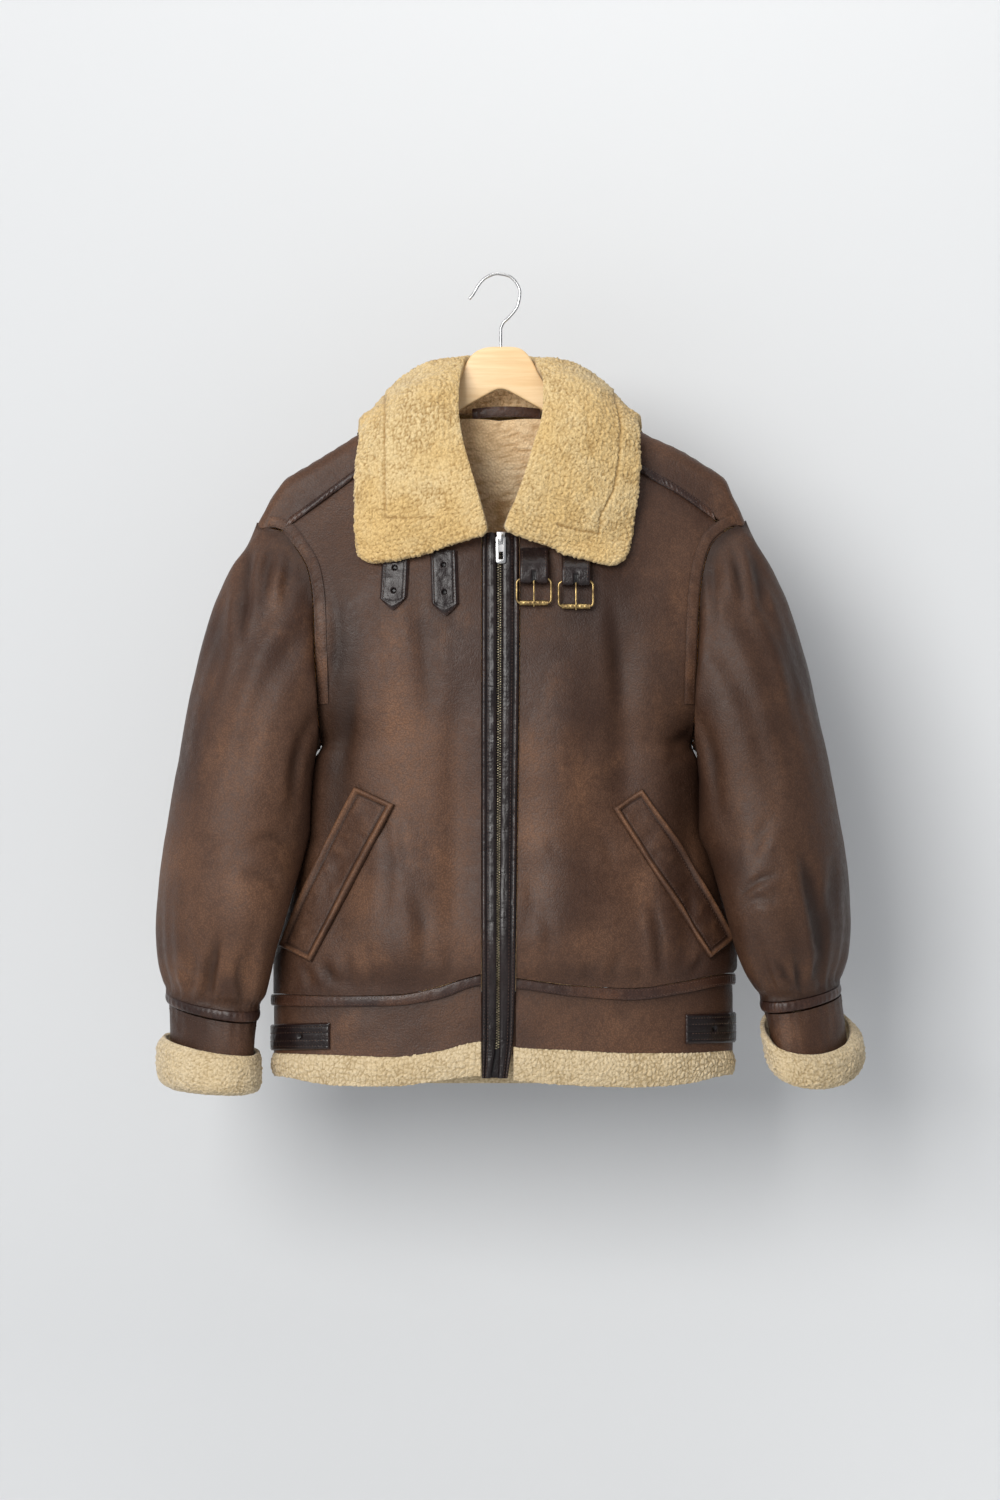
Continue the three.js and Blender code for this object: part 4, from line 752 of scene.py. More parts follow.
@dataclass(frozen=True)
class Leather:
    """Full-grain skin: cloudy dye, rubbed places, pores, fine wrinkles and painted shade from the shade mark."""

    name: str
    dark: tuple[float, float, float]
    middle: tuple[float, float, float]
    rubbed: tuple[float, float, float]
    rough: tuple[float, float]
    rub: float = 1.0
    coat: float = 0.0
    grain: float = 0.22

    def make(self) -> bpy.types.Material:
        """Builds the material."""
        n = Nodes(self.name)
        clouds = n.noise(6.0, 4, 0.55)
        patches = n.noise(15.0, 5, 0.65, n.stretched((1.0, 1.0, 0.6)))
        mottle = n.noise(120.0, 5, 0.7)
        pores = n.cells(560.0, "SMOOTH_F1", 0.25)
        lines = n.noise(300.0, 5, 0.7, n.stretched((0.5, 1.0, 1.4)))
        black = tuple(0.4 * c for c in self.dark)
        color = n.mix(n.ramp(clouds, 0.36, 0.62), self.dark, self.middle)
        wear = n.math("ADD", n.ramp(patches, 0.52, 0.78, 0, 0.6 * self.rub), n.mark("wear"), clamp=True)
        color = n.mix(wear, color, self.rubbed)
        color = n.mix(n.ramp(mottle, 0.3, 0.62, 0.38, 0.0), color, self.dark)
        # the shade mark mixes the colour towards black: painted shade in creases, seams, holes, grooves and under parts
        color = n.mix(n.mark("shade"), color, black)
        color = n.mix(n.ramp(pores, 0.3, 0.6, 0.0, 0.35), color, black)
        roughness = n.math("ADD", n.ramp(clouds, 0.3, 0.7, *self.rough), n.ramp(mottle, 0.3, 0.7, -0.07, 0.07))
        normal = n.bump(n.math("SUBTRACT", 1.0, pores), self.grain)
        normal = n.bump(lines, self.grain * 1.4, normal)
        normal = n.bump(mottle, self.grain * 2.2, normal)
        return n.finish(color, roughness, normal, Specular_IOR_Level=0.3, Coat_Weight=self.coat, Coat_Roughness=0.2)


@dataclass(frozen=True)
class Fleece:
    """Sheared wool: light tips, painted shade in a darker, warmer colour between the curls and tufts, and a fine fibre.
    """

    name: str
    tip: tuple[float, float, float]
    gold: tuple[float, float, float]
    # deep is the colour of the painted shade between the curls
    deep: tuple[float, float, float]
    gold_share: float = 1.0

    def make(self) -> bpy.types.Material:
        """Builds the material."""
        n = Nodes(self.name)
        regions = n.noise(12.0, 4, 0.6)
        fibre = n.noise(1400.0, 3, 0.7)
        tufts = n.cells(400.0, "SMOOTH_F1", 0.2)
        color = n.mix(n.ramp(regions, 0.36, 0.64, 0, self.gold_share), self.tip, self.gold)
        pile = n.mark("pile")
        # painted shade: low pile between the curls, and the gaps between tufts, mix towards the deep colour
        color = n.mix(n.ramp(pile, 0.62, 0.10, 0.0, 1.0), color, self.deep)
        color = n.mix(n.ramp(tufts, 0.3, 0.75, 0.0, 0.35), color, self.deep)
        color = n.mix(n.ramp(fibre, 0.35, 0.7, 0.0, 0.25), color, self.gold)
        normal = n.bump(n.math("SUBTRACT", 1.0, tufts), 0.9)
        normal = n.bump(fibre, 0.5, normal)
        return n.finish(color, 0.95, normal, Specular_IOR_Level=0.1, Sheen_Weight=0.2, Sheen_Roughness=0.5)


@dataclass(frozen=True)
class Metal:
    """Polished or aged metal with a faint unevenness and dark places."""

    name: str
    bright: tuple[float, float, float]
    aged: tuple[float, float, float]
    rough: tuple[float, float]

    def make(self) -> bpy.types.Material:
        """Builds the material."""
        n = Nodes(self.name)
        age = n.noise(130.0, 4, 0.6)
        scratches = n.noise(900.0, 2, 0.5, n.stretched((0.2, 1.0, 1.0)))
        color = n.mix(n.ramp(age, 0.42, 0.62), self.bright, self.aged)
        normal = n.bump(scratches, 0.02)
        return n.finish(color, n.ramp(age, 0.35, 0.65, *self.rough), normal, Metallic=1.0)


def plain_wood() -> bpy.types.Material:
    """Pale lacquered wood with a fine straight grain along its length."""
    n = Nodes("pale_wood")
    grain = n.noise(60.0, 6, 0.65, n.stretched((0.22, 1.0, 3.2)))
    streaks = n.noise(340.0, 3, 0.6, n.stretched((0.07, 1.0, 1.6)))
    color = n.mix(n.ramp(grain, 0.30, 0.75), (0.84, 0.60, 0.33), (0.74, 0.49, 0.24))
    color = n.mix(n.ramp(streaks, 0.5, 0.8, 0.0, 0.22), color, (0.55, 0.33, 0.15))
    normal = n.bump(streaks, 0.05)
    return n.finish(color, n.ramp(grain, 0.3, 0.7, 0.38, 0.5), normal, Coat_Weight=0.2, Coat_Roughness=0.35)


def thread() -> bpy.types.Material:
    """Waxed sewing thread with a twist."""
    n = Nodes("thread")
    twist = n.noise(1800.0, 2, 0.5)
    color = n.mix(n.ramp(twist, 0.3, 0.7), (0.055, 0.026, 0.016), (0.12, 0.06, 0.038))
    return n.finish(color, 0.6, n.bump(twist, 0.1))


class Finishes:
    """Every material of the coat."""

    def __init__(self) -> None:
        """Makes the materials once."""
        self.skin = Leather(
            "brown_skin", (0.048, 0.021, 0.012), (0.105, 0.050, 0.028), (0.210, 0.098, 0.048), (0.48, 0.60)
        ).make()
        self.trim = Leather(
            "dark_trim", (0.009, 0.005, 0.005), (0.020, 0.010, 0.009), (0.060, 0.024, 0.014), (0.30, 0.42), 0.5, 0.12, 0.16
        ).make()
        self.welt = Leather(
            "brown_trim", (0.026, 0.011, 0.008), (0.058, 0.026, 0.017), (0.150, 0.062, 0.028), (0.36, 0.50), 0.6, 0.1, 0.16
        ).make()
        # the third colour of each fleece is its painted shade between the curls
        self.fleece = Fleece("cream_fleece", (0.74, 0.575, 0.315), (0.70, 0.49, 0.215), (0.32, 0.19, 0.065), 1.0).make()
        self.cuff = Fleece("pale_fleece", (0.70, 0.57, 0.375), (0.65, 0.50, 0.29), (0.34, 0.24, 0.12), 0.7).make()
        self.lining = Fleece("tan_lining", (0.96, 0.76, 0.50), (0.92, 0.66, 0.38), (0.50, 0.30, 0.14), 1.0).make()
        self.steel = Metal("steel", (0.60, 0.60, 0.60), (0.42, 0.42, 0.42), (0.22, 0.34)).make()
        self.brass = Metal("aged_brass", (0.44, 0.31, 0.13), (0.16, 0.105, 0.05), (0.28, 0.5)).make()
        self.teeth = Metal("zip_brass", (0.50, 0.43, 0.29), (0.22, 0.18, 0.12), (0.25, 0.4)).make()
        self.wood = plain_wood()
        self.thread = thread()


def tube(path: Array, radius: Array | float, sides: int, closed: bool, up: Sequence[float]) -> tuple[Array, Array]:
    """A round section carried along a path.

    Each ring lies in the plane of two vectors square to the path: the one nearest to up, and its cross
    product with the path's direction. Open ends close in a ring of nearly no radius.

    Returns:
        Vertices in metres and quads.
    """
    path = np.asarray(path, float)
    radii = np.broadcast_to(np.asarray(radius, float), (len(path),)).copy()
    if not closed:
        ends = [path[0] - 0.35 * radii[0] * unit(path[1] - path[0]), path[-1] + 0.35 * radii[-1] * unit(path[-1] - path[-2])]
        path = np.concatenate([[ends[0]], [path[0] - 0.3 * radii[0] * unit(path[1] - path[0])], path,
                               [path[-1] + 0.3 * radii[-1] * unit(path[-1] - path[-2])], [ends[1]]])
        radii = np.concatenate([[0.02 * radii[0], 0.72 * radii[0]], radii, [0.72 * radii[-1], 0.02 * radii[-1]]])
        along = np.gradient(path, axis=0)
    else:
        along = np.roll(path, -1, axis=0) - np.roll(path, 1, axis=0)
    along /= np.linalg.norm(along, axis=1, keepdims=True)
    first = np.asarray(up, float) - along * (along @ np.asarray(up, float))[:, None]
    first /= np.linalg.norm(first, axis=1, keepdims=True)
    second = np.cross(along, first)
    angle = np.linspace(0, 2 * np.pi, sides, endpoint=False)
    ring = np.cos(angle)[None, :, None] * first[:, None] + np.sin(angle)[None, :, None] * second[:, None]
    points = path[:, None] + ring * radii[:, None, None]
    index = np.arange(len(path) * sides).reshape(-1, sides)
    index = np.concatenate([index, index[:, :1]], axis=1)
    if closed:
        index = np.concatenate([index, index[:1]], axis=0)
    quads = np.stack([index[:-1, :-1], index[:-1, 1:], index[1:, 1:], index[1:, :-1]], axis=-1).reshape(-1, 4)
    return points.reshape(-1, 3) * MM, quads


def unit(vector: Array) -> Array:
    """The vector at length 1."""
    return vector / np.linalg.norm(vector)


def joined(parts: Sequence[tuple[Array, Array]]) -> tuple[Array, Array]:
    """Several meshes as one pair of arrays."""
    vertices, faces, count = [], [], 0
    for points, quads in parts:
        vertices.append(points)
        faces.append(quads + count)
        count += len(points)
    return np.concatenate(vertices), np.concatenate(faces)


STITCH_LENGTH = 2.6
STITCH_HALF = 0.42
STITCH_RISE = 0.45
STITCH_PITCH = 3.5


def stitches(points: Array, outwards: Array) -> tuple[Array, Array]:
    """A row of small lozenge stitches along a path on a surface.

    Args:
        points: the path, densely spaced.
        outwards: the surface's normals there.

    Returns:
        Vertices in metres and triangles: each stitch has two ends, two sides, a top and a foot.
    """
    length = np.concatenate([[0], np.cumsum(np.linalg.norm(np.diff(points, axis=0), axis=1))])
    centres = np.arange(STITCH_PITCH / 2, length[-1], STITCH_PITCH)
    read = lambda at, values: np.stack([np.interp(at, length, values[:, k]) for k in range(3)], axis=-1)
    middle, out = read(centres, points), read(centres, outwards)
    out /= np.linalg.norm(out, axis=1, keepdims=True)
    along = read(centres + 0.4, points) - read(centres - 0.4, points)
    along /= np.linalg.norm(along, axis=1, keepdims=True)
    across = np.cross(out, along)
    ends = [middle + along * sign * STITCH_LENGTH / 2 - out * 0.1 for sign in (-1, 1)]
    sides = [middle + across * sign * STITCH_HALF + out * 0.1 for sign in (-1, 1)]
    vertices = np.stack([*ends, *sides, middle + out * STITCH_RISE, middle - out * 0.3], axis=1)
    pattern = np.array([[0, 2, 4], [2, 1, 4], [1, 3, 4], [3, 0, 4], [2, 0, 5], [1, 2, 5], [3, 1, 5], [0, 3, 5]])
    faces = (pattern[None] + 6 * np.arange(len(centres))[:, None, None]).reshape(-1, 3)
    return vertices.reshape(-1, 3) * MM, faces


class Sewing:
    """Collects rows of stitches and makes them one joined piece a region."""

    def __init__(self, material: bpy.types.Material) -> None:
        """Starts with no rows."""
        self.material = material
        self.rows: dict[str, list[tuple[Array, Array]]] = {}

    def row(self, region: str, points: Array, outwards: Array) -> None:
        """Adds a row along a path on a surface."""
        self.rows.setdefault(region, []).append(stitches(points, outwards))

    def build(self) -> None:
        """Makes the pieces."""
        for region, parts in self.rows.items():
            vertices, faces = joined(parts)
            settle(mesh_object(f"stitches_{region}", vertices, faces, [self.material]), "trim")


def placket_edge(side: Side, z: Array) -> Array:
    """Distance across of the outer edge of a side's placket."""
    return PLACKETS.read("z", "leftOut" if side is Side.LEFT else "rightOut", z)


def bottom_z(edge: str, x: Array) -> Array:
    """Height of one of the coat's bottom edges on the front."""
    return BOTTOM.read("x", edge, x)


def band_edge(edge: str, x: Array, face: Face) -> Array:
    """Height of a bottom edge on either face; on the back it eases to the middle's height."""
    if face is Face.FRONT:
        return bottom_z(edge, x)
    at_side = np.where(np.asarray(x) < 0, bottom_z(edge, -236.0), bottom_z(edge, 244.0))
    towards = smoothstep(np.abs(x), 60, 236)
    return BACK_BOTTOM[edge] * (1 - towards) + at_side * towards


ARMHOLES = {
    Side.LEFT: {
        "top": (-254, -261),
        "front": ((-244, -265), (-229, -269), (-212, -289), (-201, -310), (-196, -341), (-194, -394),
                  (-192, -450), (-188, -486)),
        "foot": (-187, -494),
        "back": ((-246, -268), (-234, -279), (-220, -301), (-211, -341), (-206, -394), (-200, -450), (-190, -488)),
    },
    Side.RIGHT: {
        "top": (257, -259),
        "front": ((248, -263), (236, -269), (221, -284), (213, -310), (209, -341), (207, -394), (205, -450),
                  (202, -486)),
        "foot": (201, -494),
        "back": ((250, -266), (242, -279), (231, -301), (224, -341), (218, -394), (212, -450), (203, -488)),
    },
}
SIDE_SEAM = (-740, -725, -700, -660, -610, -585, -560, -515)
SEAM_STEP = 5.0


def side_seam(side: Side) -> list[tuple[float, float]]:
    """Points of a side seam, from the waist's edge upwards."""
    s = side.value
    x = s * float(half_width(WAIST_HEIGHT, s))
    foot = float(bottom_z("waist", x)) + SEAM_GAP
    return [(x, foot), *[(s * float(half_width(z, s)), z) for z in SIDE_SEAM if z > foot + SEAM_STEP]]


def yoke_depth(x: Array) -> Array:
    """How far down the front the back comes over the shoulder."""
    return 33 + 16 * (np.abs(x) - 95) / 134


def yoke_z(x: Array) -> Array:
    """Height of the yoke seam."""
    return shoulder_z(x) - yoke_depth(x)


@dataclass
class BodyPanels:
    """The left and right front and the back, leather outside and fleece inside."""

    finishes: Finishes
    front_size: tuple[int, int] = (60, 130)
    back_columns: int = 96

    def build(self) -> None:
        """Makes the three panels."""
        for side in Side:
            self.front(side)
        self.back()

    def front(self, side: Side) -> None:
        """One front: a patch between waist, side seam, armhole, yoke, neck and placket."""
        s = side.value
        armhole = ARMHOLES[side]
        edge = lambda z: float(placket_edge(side, z)) + s * 0.8
        waist_side = s * float(half_width(WAIST_HEIGHT, s))
        clustered = 1 - np.cos(np.linspace(0, 1, 13) * np.pi / 2)
        waist_x = waist_side + (edge(-740.0) - waist_side) * clustered
        foot = Line(np.stack([waist_x, bottom_z("waist", waist_x) + SEAM_GAP], axis=-1))
        armhole_front = list(reversed(armhole["front"]))[:-1]
        first = Line([*side_seam(side), armhole["foot"], *armhole_front])
        xs = [s * x for x in (229, 205, 180, 157, 130, 98)]
        yoke = [(x, float(yoke_z(x)) - SEAM_GAP) for x in xs]
        yoke[0] = armhole["front"][1]
        neck = [(s * 80, -185), (s * 52, -222), (s * 30, -252), (edge(NECK_POINT), NECK_POINT)]
        top = Line([*yoke, *neck])
        edge_start = (edge(-740.0), float(bottom_z("waist", edge(-740.0))) + SEAM_GAP)
        last = Line([edge_start, *[(edge(z), z) for z in (-650.0, -560.0, -460.0, -380.0, NECK_POINT)]])
        columns, rows = self.front_size
        across = 1 - np.cos(np.linspace(0, 1, columns) * np.pi / 2)
        flat = coons(foot, top, first, last, across, np.linspace(0, 1, rows))
        x, z = flat[..., 0], flat[..., 1]
        name = f"front_{side.label}"
        base = on_body(x, z, Face.FRONT)
        out = normals(base, False)
        out *= -np.sign(out[rows // 2, columns // 2, 1])
        out[z[:, 0] < ARMPIT, 0] = (s, 0, 0)
        near_seam = np.minimum(across[None, :] / 0.02, 1) * smoothstep(z - bottom_z("waist", x), 0, 12)
        relief = creased(name, x, z, Face.FRONT) * near_seam
        relief = relief - 0.8 * np.exp(-(((z - yoke_z(x)) / 7) ** 2))
        wear = self.front_wear(side, x, z)
        # shade: painted shade along the side seam and armhole edge below the armpit, where the sleeve hangs over the
        # front, plus painted shade spots and painted shade in the creases
        shade = 0.5 * np.exp(-(across[None, :] / 0.03)) * (z < ARMPIT + 60) + self.front_shade(side, x, z)
        shade = np.clip(shade + hollows(relief), 0, 0.85)
        outer = base + out * relief[..., None]
        inner = base - out * (SKIN + 0.7 * cloud(x, z, 6, 5))[..., None]
        marks = {"wear": wear, "shade": shade, "pile": np.full(x.shape, 0.5)}
        shell = Shell(name, outer, inner, marks=marks, sharp=55)
        piece = settle(shell.build(self.finishes.skin, self.finishes.lining), "leather", name)
        cut_from(base, False)

    @staticmethod
    def spots(x: Array, z: Array, places: Sequence[tuple[float, ...]]) -> Array:
        """Sum of soft ellipses: rows of middle x and z, half width, half height and amount."""
        total = np.zeros_like(x)
        for cx, cz, wide, tall, amount in places:
            total += amount * np.exp(-(((x - cx) / wide) ** 2) - (((z - cz) / tall) ** 2))
        return total

    def front_wear(self, side: Side, x: Array, z: Array) -> Array:
        """Rubbed places: beside the placket, round the pocket and on the ridges over the waist."""
        wear = self.spots(x, z, {
            Side.LEFT: ((-104, -500, 36, 90, 0.55), (-60, -640, 30, 80, 0.40), (-150, -655, 34, 50, 0.55),
                        (-90, -705, 60, 24, 0.30), (-212, -640, 16, 50, 0.4), (-150, -250, 60, 40, 0.25)),
            Side.RIGHT: ((30, -600, 18, 120, 0.60), (62, -560, 34, 70, 0.40), (150, -630, 46, 60, 0.40),
                         (205, -600, 22, 50, 0.35), (110, -705, 70, 24, 0.30), (190, -480, 24, 40, 0.2)),
        }[side])
        return wear * (0.75 + 0.5 * cloud(x, z, 28, 3))

    def front_shade(self, side: Side, x: Array, z: Array) -> Array:
        """Painted shade: beside the armholes, down the chest and under the straps."""
        return self.spots(x, z, {
            Side.LEFT: ((-166, -430, 18, 110, 0.75), (-172, -560, 16, 70, 0.45), (-70, -350, 60, 34, 0.35),
                        (-60, -735, 60, 16, 0.25), (-140, -690, 26, 20, 0.25)),
            Side.RIGHT: ((110, -395, 46, 80, 0.42), (176, -440, 22, 90, 0.30), (60, -350, 50, 30, 0.35),
                         (192, -560, 20, 60, 0.25), (70, -735, 60, 16, 0.25)),
        }[side])

    def back(self) -> None:
        """The back: a patch in the chart of distance across and distance below the shoulder line."""
        below_at = lambda point: (point[0], float(shoulder_z(point[0])) - point[1])

        def edge_of(side: Side) -> Line:
            """The side seam, the armhole's back edge and the turn over the shoulder."""
            armhole = ARMHOLES[side]
            over, corner = armhole["front"][:2]
            return Line([
                *[below_at(point) for point in side_seam(side)],
                below_at(armhole["foot"]),
                *[below_at(point) for point in reversed(armhole["back"])],
                (armhole["top"][0], 0),
                (over[0], over[1] - float(shoulder_z(over[0]))),
                (corner[0], -float(yoke_depth(corner[0])) + 1),
            ])

        first, last = edge_of(Side.LEFT), edge_of(Side.RIGHT)
        angle = np.linspace(-0.5, 0.5, 41) * np.pi
        foot_x = half_width(WAIST_HEIGHT, angle) * np.sin(angle)
        foot_below = shoulder_z(foot_x) - band_edge("waist", foot_x, Face.BACK) - SEAM_GAP
        foot = np.stack([foot_x, foot_below], axis=-1)
        foot[0], foot[-1] = first.at(0), last.at(0)
        yoke = [(x, -float(yoke_depth(x))) for x in (229, 200, 170, 140, 98)]
        half = [*yoke, (99, -2), (80, 20), (46, 34), (0, 41)]
        top = [(-x, d) for x, d in half] + [(x, d) for x, d in reversed(half[:-1])]
        top[0], top[-1] = tuple(first.at(1)), tuple(last.at(1))
        spread = 0.5 - 0.5 * np.cos(np.linspace(0, 1, self.back_columns) * np.pi)
        stations = (0, 0.3, 0.6, 0.8, 0.87, 0.89, 0.905, 0.918, 0.93, 0.942, 0.955, 0.97, 1)
        shares = (0, 0.28, 0.55, 0.73, 0.795, 0.82, 0.845, 0.87, 0.895, 0.92, 0.945, 0.97, 1)
        up = np.interp(np.linspace(0, 1, 150), shares, stations)
        flat = coons(Line(foot), Line(top, smooth=False), first, last, spread, up)
        x, below = flat[..., 0], flat[..., 1]
        z = shoulder_z(x) - np.abs(below)
        on_front = below < 0
        gap = np.minimum(1, np.abs(below) / SHOULDER_RADIUS) * SEAM_GAP
        behind = gap + body_depth(x, z, Face.BACK)
        ahead = -(gap + body_depth(x, z, Face.FRONT))
        base = placed(x, np.where(on_front, ahead, behind), z)
        out = normals(base, False)
        out *= np.sign(out[40, self.back_columns // 2, 1])
        for end, sign in ((0, -1), (-1, 1)):
            out[z[:, end] < ARMPIT, end] = (sign, 0, 0)
        near_seam = np.minimum(spread / 0.01, 1) * np.minimum((1 - spread) / 0.01, 1)
        relief = creased("back", x, z, Face.BACK) * near_seam[None] * smoothstep(below, 20, 90)
        relief = relief * smoothstep(z - band_edge("waist", x, Face.BACK), 0, 12)
        relief = relief - 0.7 * np.exp(-(((below + yoke_depth(x)) / 6) ** 2)) * on_front
        wear = 0.25 * np.exp(-((below / 22) ** 2)) + 0.3 * np.exp(-(((z + 700) / 40) ** 2)) * (0.5 + cloud(x, z, 30, 4))
        lining_u, lining_v = x, np.abs(below)
        pile = Pile(5.2, 21).relief(lining_u, lining_v) * (1 - 0.8 * np.exp(-((x / 1.6) ** 2)))
        nape = smoothstep(below, 30, 60) * (1 - smoothstep(np.abs(x), 90, 120)) * (1 - smoothstep(below, 300, 360))
        inner = base - out * (SKIN - 0.6 + (1.8 * pile - 0.9) * nape)[..., None]
        # shade: painted shade in the creases
        marks = {"wear": np.clip(wear, 0, 1), "shade": hollows(relief), "pile": np.full(x.shape, 0.5)}
        shell = Shell("back", base + out * relief[..., None], inner, marks=marks,
                      inner_marks={"pile": np.where(nape > 0.3, pile, 0.5)}, sharp=55)
        piece = settle(shell.build(self.finishes.skin, self.finishes.lining), "leather", "back")
        cut_from(base, False)


SLEEVE_COLUMNS = "outX outZ inX inZ bow front back tilt pleat ahead"
SLEEVES = {
    Side.LEFT: Table(SLEEVE_COLUMNS, (
        (264, -279, 193, -503, 25, 67, 58, 0, 3.5, 0),
        (280, -306, 195, -517, 19, 76, 62, 0, 4.5, 0),
        (299, -345, 197, -534, 12, 83, 66, 0, 4, 0),
        (315, -398, 198, -556, 6, 86, 68, 0, 3, 0),
        (328, -457, 199, -585, 2, 85, 69, 0, 2, 4),
        (339, -515, 207, -616, 0, 83, 69, 0, 1, 16),
        (350, -578, 218, -652, 0, 81, 68, 0, 0, 34),
        (358, -634, 227, -684, 0, 78, 66, 0, 1, 44),
        (361, -686, 235, -711, 0, 72, 62, 2, 3, 44),
        (359, -722, 240, -734, 0, 64, 57, 5, 5, 40),
        (354, -742, 246, -757, 0, 56, 51, 8, 5, 34),
        (351, -749.5, 252, -766.5, 0, 50, 47, 9, 1.5, 28),
        (351, -752.7, 252, -769.7, 0, 50, 47, 9, 0, 28),
    )),
    Side.RIGHT: Table(SLEEVE_COLUMNS, (
        (267, -277, 207, -503, 23, 67, 58, 0, 3.5, 0),
        (286, -309, 208, -517, 17, 76, 62, 0, 4.5, 0),
        (305, -352, 209, -534, 11, 83, 66, 0, 4, 0),
        (321, -404, 209, -556, 5, 86, 68, 0, 3, 0),
        (335, -465, 209, -585, 2, 85, 69, 0, 2, 4),
        (346, -515, 220, -612, 0, 83, 69, 0, 1, 16),
        (358, -578, 231, -648, 0, 81, 68, 0, 0, 34),
        (366, -634, 240, -680, 0, 78, 66, 0, 1, 44),
        (368, -680, 247, -708, 0, 72, 62, 2, 3, 44),
        (366, -712, 257, -732, 0, 64, 57, 5, 5, 40),
        (360, -733, 267, -748, 0, 56, 51, 8, 5, 34),
        (357, -740, 273, -756, 0, 50, 47, 9, 1.5, 28),
        (357, -743, 273, -759, 0, 50, 47, 9, 0, 28),
    )),
}
SLEEVE_PLEATS = (20, 38, 58, 82, 128, 300, 330)
PLEAT_WIDTH = 9.0
BACK_BOW = 0.35
CUFF_COLUMNS = "outX outZ inX inZ front back tilt ahead"
CUFFS = {
    Side.LEFT: {
        "welt": Table(CUFF_COLUMNS, ((351, -753, 252, -770, 50, 47, 9, 28), (350, -763, 253, -781, 50, 47, 9, 28))),
        "band": Table(CUFF_COLUMNS, ((347, -764.5, 256, -782.5, 47, 44, 9, 28), (346, -805, 259, -825, 47, 44, 9, 28))),
        "fleece": Table(CUFF_COLUMNS, (
            (354, -798, 251, -816, 55, 52, 9, 28),
            (361, -811, 250, -828, 61, 58, 9, 28),
            (361, -832, 250, -845, 61, 58, 8, 28),
            (357, -846, 253, -855, 58, 55, 6, 28),
            (347, -854, 262, -860, 49, 46, 5, 28),
        )),
    },
    Side.RIGHT: {
        "welt": Table(CUFF_COLUMNS, ((357, -744, 273, -760, 50, 47, 9, 28), (358, -754, 274, -771, 50, 47, 9, 28))),
        "band": Table(CUFF_COLUMNS, ((358, -755.5, 278, -772.5, 47, 44, 9, 28), (364, -802, 284, -797, 47, 44, 27, 28))),
        "fleece": Table(CUFF_COLUMNS, (
            (371, -792, 272, -788, 56, 53, 28, 28),
            (381, -804, 275, -802, 61, 58, 27, 28),
            (383, -820, 279, -820, 61, 58, 25, 28),
            (378, -833, 287, -833, 58, 55, 21, 28),
            (366, -840, 300, -840, 48, 45, 16, 28),
        )),
    },
}


def ring(side: Side, row: dict[str, float], sides: int) -> Array:
    """One ring of a sleeve or a cuff.

    Seen from the front it is a line from its outer to its inner end. Its depth follows |sin|^0.85, so it is
    a squarish oval, and the gathers are narrow bell-shaped dips at set angles round it.
    """
    angle = np.linspace(0, 2 * np.pi, sides, endpoint=False)
    outer = np.array([side.value * row["outX"], row["outZ"]])
    inner = np.array([side.value * row["inX"], row["inZ"]])
    middle, half = (outer + inner) / 2, (outer - inner) / 2
    depth = np.sin(angle)
    squared = np.sign(depth) * np.abs(depth) ** 0.85
    gather = np.zeros(sides)
    for pleat in SLEEVE_PLEATS:
        turn = np.abs((np.degrees(angle) - pleat + 540) % 360 - 180)
        gather -= row.get("pleat", 0) * np.exp(-((turn / PLEAT_WIDTH) ** 2))
    reach = 1 + gather / np.linalg.norm(half)
    seen = middle[None] + half[None] * (np.cos(angle) * reach)[:, None]
    bow = row.get("bow", 0) * np.where(depth > 0, 1, BACK_BOW) * depth**2
    x = seen[:, 0] - side.value * bow
    deep = np.where(squared > 0, -squared * row["front"] * (1 + gather / row["front"]), -squared * row["back"])
    forward = row["ahead"] * (1 - np.cos(angle)) / 2
    return placed(x, deep - forward, seen[:, 1] - row["tilt"] * depth)


def rings(side: Side, table: Table, sides: int) -> list[Array]:
    """A ring for each row of a table."""
    names = table.columns.split()
    return [ring(side, dict(zip(names, row)), sides) for row in table.rows]


def along_rings(stations: Sequence[Array], rows: int) -> Array:
    """A fine tube through rings: each point's line up the tube is a monotone cubic of the mean distance."""
    stack = np.stack(stations)
    steps = np.linalg.norm(np.diff(stack, axis=0), axis=-1).mean(axis=1)
    distance = np.concatenate([[0], np.cumsum(steps)])
    at = np.linspace(0, distance[-1], rows)
    flat = stack.reshape(len(stations), -1)
    fine = np.stack([monotone_cubic(distance, flat[:, k], at) for k in range(flat.shape[1])], axis=-1)
    return fine.reshape(rows, stack.shape[1], 3)


def outward(points: Array, closed: bool, from_centre: bool = True) -> Array:
    """Normals of a tube, turned away from its middle line."""
    out = normals(points, closed)
    if from_centre:
        centre = points.mean(axis=1, keepdims=True)
        facing = np.einsum("ijk,ijk->", out, points - centre)
        out = out * np.sign(facing)
    return out


